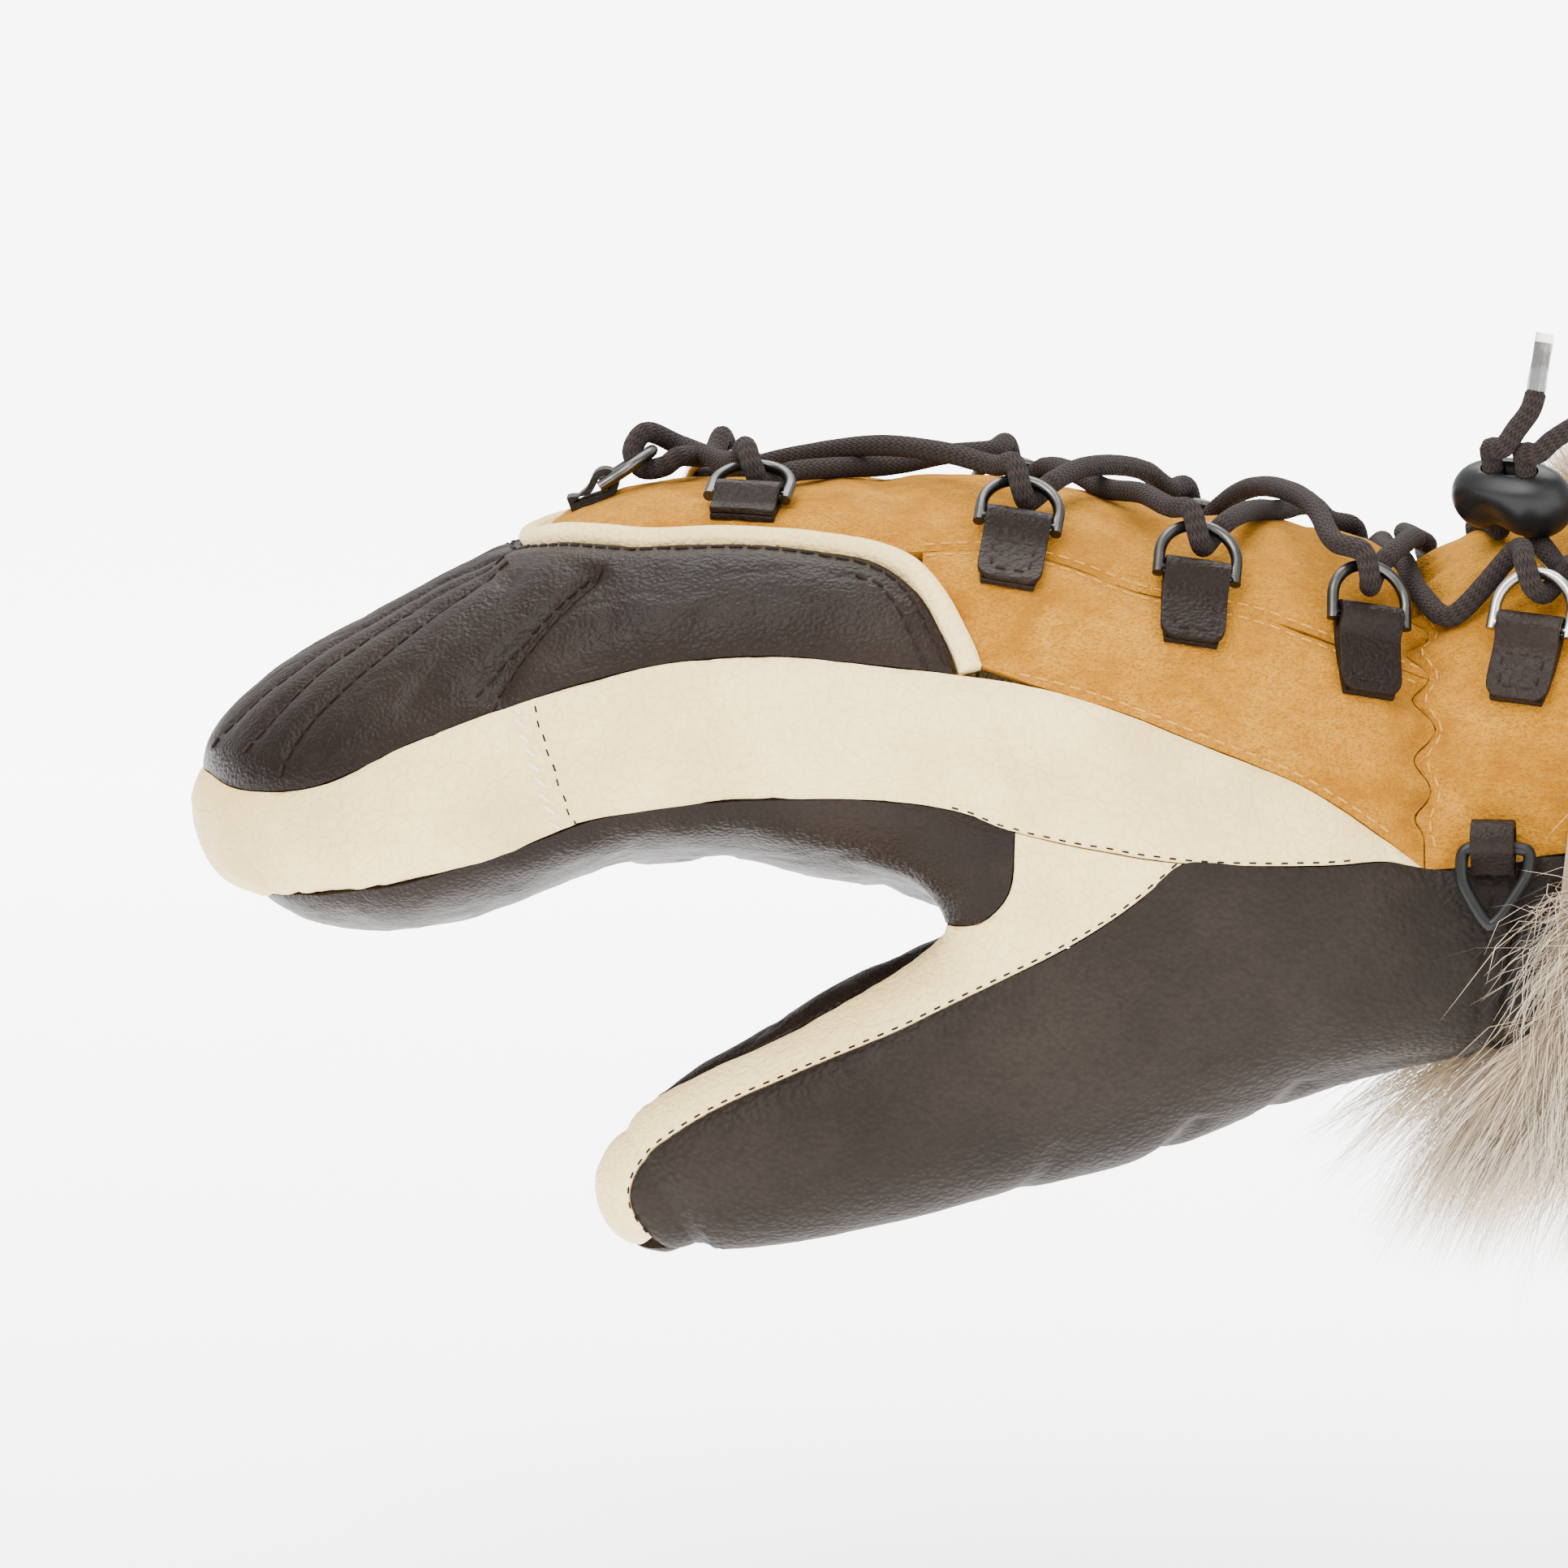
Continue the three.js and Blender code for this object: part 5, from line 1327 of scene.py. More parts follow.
class Shell:
    """Leather and suede panels of the mitten, with their seam lines."""

    def __init__(self) -> None:
        """Lay out the seams."""
        self.side_top_points = [FORM.on_hand(x, turn) for x, turn in SIDE[:, :2]]
        self.side_low_points = [FORM.on_hand(x, turn) for x, turn in SIDE[:, 2:]]
        self.side_top = self.seam(self.both(self.side_top_points))
        self.side_low = self.seam(self.both(self.side_low_points))
        self.piping_line = self.seam(self.both([FORM.on_hand(x, turn) for x, turn in PIPING]))
        self.strip_inner = [*FORM.settle(THUMB_STRIP[:, :3]), self.side_low_points[STRIP_INNER_END]]
        self.strip_outer = [*FORM.settle(THUMB_STRIP[:, 3:]), self.side_low_points[STRIP_OUTER_END]]
        self.seam_points = [FORM.on_hand(x, turn) for x, turn in SUEDE_SEAM]

    @staticmethod
    def both(points: list[Array]) -> list[Array]:
        """Return a line from the thumb side round the nose to the far side."""
        return [*points[:0:-1], points[0], *[mirrored(p) for p in points[1:]]]

    @staticmethod
    def seam(points: Sequence[Array]) -> Callable[[Array], Array]:
        """Return a line on the form through the points."""
        curve = Curve(points)
        return lambda u: FORM.settle(curve(u), 4)

    @staticmethod
    def side_row(row: float) -> float:
        """Return the share of the side lines at a table row."""
        return 0.5 - row / (2 * (len(SIDE) - 1))

    @staticmethod
    def piping_row(row: float) -> float:
        """Return the share of the piping line at a table row."""
        return 0.5 - row / (2 * (len(PIPING) - 1))

    def beside_piping(self, u: Array, distance: float) -> Array:
        """Return points beside the piping's middle, toward the toe for a negative distance."""
        u = np.atleast_1d(u)
        ahead = unit(self.piping_line(np.minimum(u + 0.01, 1)) - self.piping_line(np.maximum(u - 0.01, 0)))
        p = self.piping_line(u)
        return FORM.settle(p + np.cross(ahead, FORM.normal(p)) * distance, 4)

    def hem_row(self, start: float, end: float, count: int) -> Array:
        """Return points on the hem at even turns.

        Args:
            start: First turn.
            end: Last turn.
            count: Number of steps.

        Returns:
            The points.
        """
        turns = np.linspace(start, end, count + 1)
        return np.array([FORM.on_hem(turn) for turn in turns])

    def toe_cap(self) -> Array:
        """Return the toe cap's grid."""
        rear = CAP_ROWS - 1
        grid = []
        for u in np.linspace(0, 1, 37):
            row = rear * (1 - 2 * u)
            a = self.side_top(self.side_row(row))[0]
            b = self.beside_piping(self.piping_row(row), -(PIPING_WIDTH + SEAM_GAP) / 2)[0]
            grid.append(FORM.ruled(a, b, FORM.centre(max((a[0] + b[0]) / 2, CAP_CENTRE)), 5))
        return np.array(grid)

    def piping(self) -> Array:
        """Return the piping's grid."""
        u = np.linspace(0, 1, 69)
        front = self.beside_piping(u, -PIPING_WIDTH / 2)
        back = self.beside_piping(u, PIPING_WIDTH / 2)
        return np.stack([lerp(front, back, t) for t in (0, 1 / 3, 2 / 3, 1)], axis=1)

    def side_wall(self) -> Array:
        """Return the side wall's grid."""
        u = np.linspace(0, 1, 37)
        grid = np.array([FORM.ruled(a, b, FORM.centre(max((a[0] + b[0]) / 2, WALL_CENTRE)), 4)
                         for a, b in zip(self.side_top(u), self.side_low(u))])
        end = np.broadcast_to(FORM.on_hand(WRIST_X + 0.5, SUEDE_TURN - 0.05), (1, *grid.shape[1:]))
        return np.concatenate([end, grid, end * (1, -1, 1)])

    def tongue(self) -> Array:
        """Return the tongue's grid."""
        rows = np.array([0, 2, 4, 5, 6, 7, 8, 9, 10, SUEDE_START])
        near = self.seam([*self.beside_piping(self.piping_row(rows), PIPING_WIDTH / 2), *self.seam_points])
        return np.array([FORM.ruled(a, mirrored(a), FORM.centre(a[0]), 6, UP)
                         for a in near(np.linspace(TONGUE_START, 1, 20))])

    def suede_side(self, side: int) -> Array:
        """Return the grid of one suede side, 1 for the thumb side."""
        corner = len(PIPING) - 1
        across = 5
        low_points = [self.beside_piping(self.piping_row(corner), PIPING_WIDTH / 2)[0],
                      *self.side_top_points[CAP_ROWS:], FORM.on_hand(WRIST_X, SUEDE_TURN)]
        low, high = self.seam(low_points), self.seam(self.seam_points)
        grid = []
        for u in np.linspace(0, 1, 11):
            b = high(u)[0]
            grid.append(FORM.ruled(low(u)[0], b, FORM.centre(b[0]), across))
        rows = lerp(corner, SUEDE_START, np.arange(across) / across)
        grid[0][:across] = self.beside_piping(self.piping_row(rows), PIPING_WIDTH / 2)
        return np.array(grid) * (1, side, 1)

    def palm(self) -> list[Array]:
        """Return the palm's front and rear grids."""
        corner = len(self.strip_inner) - 1
        across, rows = 10, 13
        behind = across - CROTCH_COLUMN
        far_low = self.side_low(self.side_row(-STRIP_INNER_END))[0]
        crotch = self.strip_inner[corner - CROTCH_COLUMN]
        last = np.vstack([np.array(self.strip_inner[corner - CROTCH_COLUMN + 1:])[::-1],
                          FORM.ruled(crotch, far_low, FORM.centre(CROTCH_CENTRE), behind, DOWN)])
        front = []
        for u in np.linspace(0.03, 1, rows + 1):
            a = self.side_low(self.side_row(STRIP_INNER_END * u))[0]
            b = self.side_low(self.side_row(-STRIP_INNER_END * u))[0]
            middle = (a[0] + b[0]) / 2
            centre = FORM.centre(max(middle, PALM_CENTRE))
            under = unit(FORM.cast(FORM.centre(middle), DOWN, FORM.hand)[0] - centre)
            front.append(FORM.ruled(a, b, centre, across, under, FORM.hand))
        shift = last - front[-1]
        shares = np.linspace(0.03, 1, rows + 1) ** 5
        front = [FORM.settle(row + shift * share) for row, share in zip(front[:-1], shares)] + [last]
        fold = self.seam(PALM_FOLD)
        far_rear = self.seam([far_low, *[mirrored(p) for p in self.side_low_points[STRIP_INNER_END + 1:]],
                              FORM.on_hem(FAR_HEM_TURN)])
        rear = [last[CROTCH_COLUMN:]]
        for u in np.linspace(0, 1, 2 * (len(PALM_FOLD) - 1) + 1)[1:]:
            a, b = fold(u)[0], far_rear(u)[0]
            rear.append(self.hem_row(FOLD_TURN, FAR_HEM_TURN, behind) if u == 1 else
                        FORM.ruled(a, b, FORM.centre((a[0] + b[0]) / 2), behind))
        return [np.array(front), np.array(rear)]

    def thumb_strip(self) -> Array:
        """Return the grid of the cream strip up the thumb."""
        shares = np.linspace(0, 1, 5)[None, :, None]
        inner, outer = np.array(self.strip_inner)[:, None], np.array(self.strip_outer)[:, None]
        grid = FORM.settle(inner * (1 - shares) + outer * shares)
        rows = lerp(STRIP_INNER_END, STRIP_OUTER_END, shares.ravel())
        grid[-1] = self.side_low(self.side_row(rows))
        return grid

    def thumb_panel(self, border: list[Array], rows: Sequence[float], side: Array, hem_turn: float) -> Array:
        """Return the grid round one side of the thumb.

        Args:
            border: Knots of its upper border.
            rows: Places where its rows meet the thumb's lower line.
            side: Direction that the panel faces.
            hem_turn: Angle of the hem where the border ends.

        Returns:
            The grid.
        """
        lower = [FORM.settle(np.array(THUMB_TIP_LOW)), *[FORM.thumb_low(q) for q in rows],
                 FORM.on_hem(LOW_TURN)]
        centres = [TIP_CENTRE, *[max(q + 0.3, TIP_CENTRE) for q in rows], HEM_CENTRE]
        centre_at = Monotone(np.linspace(0, 1, len(centres)), centres)
        upper, low = self.seam(border), self.seam(lower)
        grid = []
        for u in np.linspace(0, 1, len(border)):
            if u == 1:
                grid.append(self.hem_row(hem_turn, LOW_TURN, 6))
                continue
            a, b = upper(u)[0], low(u)[0]
            centre = FORM.thumb_at(float(centre_at(u)))
            via = unit(a - centre) + unit(b - centre)
            via = unit(via + side * SIDE_PULL * (1 - np.linalg.norm(via) / 2))
            grid.append(FORM.ruled(a, b, centre, 6, via))
        return np.array(grid)

    def thumb_outer(self) -> Array:
        """Return the grid of the thumb's outer panel."""
        border = [*self.strip_outer, *self.side_low_points[STRIP_OUTER_END + 1:],
                  FORM.on_hand(*SIDE_HEM_LEAD), FORM.on_hem(SIDE_HEM_TURN)]
        return self.thumb_panel(border, OUTER_ROWS, THUMB_SIDE, SIDE_HEM_TURN)

    def thumb_inner(self) -> Array:
        """Return the grid of the thumb's palm-side panel."""
        border = [*self.strip_inner[:len(self.strip_inner) - CROTCH_COLUMN], *FORM.settle(PALM_FOLD[1:])]
        return self.thumb_panel(border, INNER_ROWS, FAR_SIDE, FOLD_TURN)

    @staticmethod
    def cuff(start: float, end: float, front_at: Callable[[float], float]) -> Array:
        """Return the grid of half the cuff.

        Args:
            start: First turn.
            end: Last turn.
            front_at: Its front edge's x at a turn.

        Returns:
            The grid.
        """
        turns = np.linspace(start, end, 13)
        return np.array([[FORM.on_hand(lerp(front_at(turn), MOUTH_X, u), turn) for turn in turns]
                         for u in np.linspace(0, 1, 8)])


# Lines on the leather, in millimetres on the thumb side.
QUILT_TOP = ((-224, 0, 41.5), (-240, 0, 33), (-256, 0, 24), (-272, 0, 13))
QUILT_NEAR = ((-222.4, -12.3, 40.7), (-235.6, -9.3, 34.9), (-252, -10.8, 25.7), (-266.8, -14, 14.6),
              (-276, -13.3, 5.8))
QUILT_RIDGE = ((-226, -15.7, 38.6), (-242, -17.2, 30.6), (-260, -22.1, 18.7), (-270.1, -25.8, 5.8))
QUILT_STITCH = ((-225.3, -19.8, 37.8), (-236, -23.6, 31.2), (-246.4, -27.6, 24.1), (-261.4, -32.6, 10),
                (-264.5, -34.4, 3.1))
QUILT_FOLD = ((-223.4, -25, 37.4), (-229.2, -32.5, 30.7), (-236.9, -37.4, 22.5), (-241.2, -40.1, 16.9),
              (-243.9, -41.9, 12.6))
QUILT_LAST = ((-209.8, -35.3, 38.7), (-217.6, -39.1, 32.4), (-223, -41.3, 27), (-227.2, -43, 22.4),
              (-231.3, -44.7, 17.1))
QUILT_TWIN = ((-209.3, -35.5, 38.4), (-216.9, -39.9, 31.6), (-222, -42.6, 26), (-226.1, -44.8, 20.1),
              (-228.6, -46.7, 14.9))
QUILT_SEAMS = (QUILT_NEAR, QUILT_RIDGE, QUILT_STITCH, QUILT_LAST, QUILT_TWIN)
WALL_SEAM = ((-222.6, -48.2, 16.8), (-221, -50.1, 11.4), (-219, -51.2, 6), (-217.4, -51.5, 1.1),
             (-215.5, -50, -4))


@dataclass
class Upper:
    """Dresses the shell: toe cap, piping, side wall, suede, palm, thumb and cuff."""

    shell: Shell
    finishes: Finishes
    objects: dict[str, bpy.types.Object] = field(default_factory=dict)

    def make(self, panel: Panel, material: bpy.types.Material, slot: Slot) -> None:
        """Build one panel in place of its CAD node.

        Args:
            panel: The panel, named after the node.
            material: Its finish.
            slot: The record's slot.
        """
        obj = panel.build()
        name = panel.name.removesuffix("_panel")
        self.objects[name] = hand_over(obj, [material], slot, name)

    def cap_relief(self, p: Array, away: Array) -> Array:
        """Return the toe cap's quilting, seams and wrinkles."""
        height = pillow(away, 1.0, 3.2)
        for line in QUILT_SEAMS:
            height += Fold(line, 1.3, -0.75, True).on(p) + Fold(line, 4.2, -0.55, True).on(p)
        height += Fold(QUILT_FOLD, 2.4, -0.8, True).on(p) + Fold(QUILT_TOP, 1.6, -0.5).on(p)
        wide = smooth((p[:, 0] + 262) / 60)
        height += 0.35 * NOISE(p, 16, 3) * (0.4 + wide) + 0.09 * NOISE(p, 3.4, 2)
        return height - 0.16 * NOISE.creases(p * (1, 1, 0.7), 11)

    def wall_relief(self, p: Array, away: Array) -> Array:
        """Return the side wall's seam, folds and wrinkles."""
        height = pillow(away, 0.75, 3)
        height += Fold(WALL_SEAM, 0.8, -0.55, True).on(p)
        for x, turn, depth in ((-232, 84, -0.35), (-229, 92, -0.4), (-226.5, 86, -0.35), (-191, 82, -0.3),
                               (-188, 86, -0.35), (-144, 86, -0.6), (-141.5, 92, -0.7), (-139, 84, -0.35),
                               (-268, 104, -0.3), (-262, 108, -0.3)):
            ends = [FORM.on_hand(x - 1.2, turn - 7), FORM.on_hand(x, turn), FORM.on_hand(x + 1.6, turn + 7)]
            height += Fold(ends, 0.9, 1.5 * depth, True).on(p)
        height += 0.45 * NOISE(p * (1, 1, 0.6), 15, 3) + 0.12 * NOISE(p, 3, 2)
        return height - 0.3 * NOISE.creases(p * (1.2, 1, 0.5), 9)

    def suede_relief(self, p: Array, away: Array) -> Array:
        """Return the suede's lumps and brushed surface."""
        height = pillow(away, 0.8, 3) + 0.5 * NOISE(p * (1, 0.8, 1), 17, 3) + 0.12 * NOISE(p, 2.6, 3)
        wave, reach = pucker_wave(p)
        valley = np.exp(-((p[:, 0] - WRIST_X - PUCKER_SWAY * np.sin(wave)) / 2.2) ** 2)
        height += (0.45 * np.cos(wave) - 0.7 * valley) * reach
        for x in (-164, -138, -111, -92):
            row = [FORM.on_hand(x + lean, turn) for lean, turn in ((4, 40), (0, 12), (2, -16), (5, -42))]
            height += Fold(row, 3.8, -0.9).on(p)
        return height

    def palm_relief(self, p: Array, away: Array) -> Array:
        """Return the palm's finger creases and wrinkles."""
        height = pillow(away, 0.5, 3)
        for x, depth in ((-208, -1.5), (-191, -1.7), (-163, -0.8)):
            row = [FORM.cast(FORM.centre(x), np.array((0.0, y, -24.0)), FORM.hand)[0] for y in (-40, -20, 0, 20, 40)]
            height += Fold(row, 2.2, depth).on(p)
        return height + 0.5 * NOISE(p, 14, 3) + 0.1 * NOISE(p, 3.2, 2) - 0.25 * NOISE.creases(p, 9)

    @staticmethod
    def hem_roll(p: Array) -> Array:
        """Return the groove and the rolled lip along the hem."""
        turn = turn_of(p) % 360
        ahead = FORM.hem(turn) - p[:, 0]
        return 0.5 * np.exp(-((ahead - 1.0) / 1.2) ** 2) - 0.45 * np.exp(-((ahead - 3.0) / 0.7) ** 2)

    def thumb_relief(self, p: Array, away: Array) -> Array:
        """Return the thumb's smooth leather, with folds under its root."""
        height = pillow(away, 0.4, 3.2) + 0.22 * NOISE(p, 20, 2) + 0.05 * NOISE(p, 3, 2)
        for q, depth in ((7.1, -1.1), (8.6, -1.0), (5.2, -0.5)):
            low = FORM.thumb_low(q)
            row = FORM.settle(np.array([low + (-3, 6, 3), low + (0, 0, 1), low + (4, -9, 8), low + (9, -14, 16)]))
            height += Fold(row, 2.4, depth).on(p)
        return height + self.hem_roll(p)

    def strip_relief(self, p: Array, away: Array) -> Array:
        """Return the cream strip's wrinkles, closest at the crotch."""
        crotch = np.exp(-(np.linalg.norm(p - PALM_FOLD[0], axis=1) / 26) ** 2)
        return (pillow(away, 0.35, 2.6) + 0.2 * NOISE(p, 12, 2) + 0.06 * NOISE(p, 3, 2)
                - (0.1 + 0.3 * crotch) * NOISE.creases(p * (0.7, 1, 1.2), 8))

    def cuff_relief(self, p: Array, away: Array) -> Array:
        """Return the cuff's gathers behind the wrist."""
        turn = turn_of(p) % 360
        gathers = np.sin(np.radians(turn) * 26 + NOISE(p, 14, 1) * 1.4)
        behind = p[:, 0] - FORM.hem(turn)
        free = smooth((behind + 0.5) / 6)
        return (0.8 * gathers + 0.5 * NOISE(p, 9, 2) + 0.3) * free * np.exp(-behind / 18) - 1.6 * (1 - free)

    def piping_relief(self, p: Array, away: Array) -> Array:
        """Return the piping's round back."""
        share = np.clip(away / (PIPING_WIDTH / 2), 0, 1)
        return PIPING_LIFT * np.sin(np.pi * (0.12 + 0.38 * share)) + 0.06 * NOISE(p, 4, 2)

    def build(self) -> None:
        """Build every panel."""
        shell, finishes = self.shell, self.finishes
        self.make(Panel("toe_cap_panel", [shell.toe_cap()], (8, 16), LEATHER, self.cap_relief),
                  finishes.dark, Slot.DARK)
        self.make(Panel("piping_panel", [shell.piping()], (4, 4), LEATHER, self.piping_relief),
                  finishes.cream, Slot.CREAM)
        self.make(Panel("side_wall_panel", [shell.side_wall()], (12, 12), LEATHER, self.wall_relief),
                  finishes.cream, Slot.CREAM)
        self.make(Panel("suede_tongue_panel", [shell.tongue()], (8, 16), SUEDE, self.suede_relief),
                  finishes.suede, Slot.SUEDE)
        for side, name in ((1, "near"), (-1, "far")):
            self.make(Panel(f"suede_side_{name}_panel", [shell.suede_side(side)], (12, 12), SUEDE,
                            self.suede_relief), finishes.suede, Slot.SUEDE)
        self.make(Panel("cuff_suede_panel", [shell.cuff(SUEDE_TURN, -SUEDE_TURN, lambda _: WRIST_X)],
                        (12, 16), SUEDE, self.suede_relief), finishes.suede, Slot.SUEDE)
        lower_cuff = shell.cuff(SIDE_HEM_TURN - 0.7, FAR_HEM_TURN + 0.7,
                                lambda turn: float(FORM.hem(turn)) - HEM_TUCK)
        self.make(Panel("cuff_leather_panel", [lower_cuff], (8, 16), SUEDE, self.cuff_relief),
                  finishes.dark, Slot.DARK)
        self.make(Panel("palm_panel", shell.palm(), (8, 8), LEATHER, self.palm_relief, (), 4),
                  finishes.dark, Slot.DARK)
        crotch_row = len(shell.strip_inner) - 1 - CROTCH_COLUMN
        self.make(Panel("thumb_outer_panel", [shell.thumb_outer()], (12, 16), LEATHER, self.thumb_relief),
                  finishes.grained, Slot.DARK)
        self.make(Panel("thumb_inner_panel", [shell.thumb_inner()], (12, 12), LEATHER, self.palm_relief,
                        (crotch_row,)), finishes.dark, Slot.DARK)
        self.make(Panel("thumb_strip_panel", [shell.thumb_strip()], (12, 8), LEATHER, self.strip_relief,
                        (crotch_row,)), finishes.cream, Slot.CREAM)


# Places of the fittings

@dataclass(frozen=True)
class Seat:
    """Place on the leather: origin, direction along the bar, way out of the tab and normal."""

    origin: Array
    along: Array
    out: Array
    normal: Array

    def at(self, along: float, out: float, above: float) -> Array:
        """Return a point given in the seat's own directions."""
        return self.origin + self.along * along + self.out * out + self.normal * above

    def matrix(self) -> Matrix:
        """Return the seat as a matrix in metres."""
        columns = np.stack([self.along, self.out, self.normal, self.origin * MM], axis=1)
        return Matrix([*columns.tolist(), [0, 0, 0, 1]])

    def leaning(self, degrees: float, side: int) -> "Seat":
        """Return the seat of a ring that leans up off the leather, with its bar turned for its side."""
        tilt = math.radians(degrees)
        return Seat(self.at(0, 0, STRAP_ROUND), self.along * (-side),
                    self.out * math.cos(tilt) + self.normal * math.sin(tilt),
                    self.normal * math.cos(tilt) - self.out * math.sin(tilt))


def seat_on(point: Array, outward: Array, twist: float) -> Seat:
    """Return a seat on the leather.

    Args:
        point: Surface point.
        outward: Rough direction out of the tab.
        twist: Turn about the normal in degrees.

    Returns:
        The seat.
    """
    normal = FORM.normal(point)[0]
    out = unit(outward - normal * outward.dot(normal))
    angle = math.radians(twist)
    out = out * math.cos(angle) + np.cross(normal, out) * math.sin(angle)
    return Seat(point, np.cross(out, normal), out, normal)


@dataclass(frozen=True)
class Fitting:
    """A tab's seat, its length and the seat of the ring in it."""

    name: str
    tab: Seat
    length: float
    ring: Seat


@dataclass
class Layout:
    """Places of the tabs, rings, lock and hang loop, worked out from the form."""

    front_x: float = -209.0
    front_tab: float = 7.0
    front_lean: float = 13.0
    ring_lean: float = 8.0
    lock_rise: tuple[float, float, float] = (-0.14, -0.52, 0.85)
    lock_run: tuple[float, float, float] = (0.9, -0.38, -0.15)
    hang_x: float = -62.4
    hang_turn: float = 94.0

    def __post_init__(self) -> None:
        """Place every fitting."""
        bar, middle = FORM.on_hand(self.front_x, 0), FORM.on_hand(self.front_x - self.front_tab / 2, 0)
        self.front = self.fitting("front", seat_on(middle, bar - middle, 0), self.front_tab, -1,
                                  self.front_lean)
        self.near = [self.row_fitting(k, -1) for k in range(len(LACING))]
        self.far = [self.row_fitting(k, 1) for k in range(len(LACING))]
        self.lock_up = unit(np.array(self.lock_rise))
        long = np.array(self.lock_run)
        self.lock_long = unit(long - self.lock_up * long.dot(self.lock_up))
        self.lock_deep = np.cross(self.lock_long, self.lock_up)
        point = FORM.on_hand(self.hang_x, self.hang_turn)
        normal = FORM.normal(point)[0]
        up = unit(UP - normal * normal[2])
        self.hang = Seat(point, np.cross(up, normal), up, normal)

    @staticmethod
    def fitting(name: str, seat: Seat, tab: float, side: int, lean: float) -> Fitting:
        """Return a fitting whose tab is centred on a seat.

        Args:
            name: Its name.
            seat: Middle of its tab.
            tab: Length of the tab.
            side: -1 for a ring that the lace enters from the thumb side.
            lean: How far the ring leans up off the leather, in degrees.

        Returns:
            The fitting.
        """
        lifted = Seat(seat.at(0, tab / 2, TAB_LIFT), seat.along, seat.out, seat.normal)
        return Fitting(name, lifted, tab, lifted.leaning(lean, side))

    def row_fitting(self, k: int, side: int) -> Fitting:
        """Return the fitting on one side of a lacing row.

        Args:
            k: Number of the row.
            side: -1 toward the thumb, 1 away from it.

        Returns:
            The fitting.
        """
        row = LACING[k]
        x, turn = row.x + (row.far_shift if side > 0 else 0), -side * row.turn
        bar, crest = FORM.on_hand(x, turn), FORM.on_hand(x, turn * 0.8)
        rough = seat_on(bar, crest - bar, 0)
        middle = FORM.settle(rough.at(0, -row.tab / 2, 0))
        seat = seat_on(middle, bar - middle, row.twist if side > 0 else -row.twist)
        name = f"{'near' if side < 0 else 'far'}_{k + 1}"
        return self.fitting(name, seat, row.tab, side, self.ring_lean)

    def bore(self, side: int, height: float) -> Array:
        """Return a point on the axis of one of the lock's bores."""
        return (np.array(LOCK_CENTRE) + self.lock_long * (side * BORE_SPREAD / 2) + self.lock_up * height)


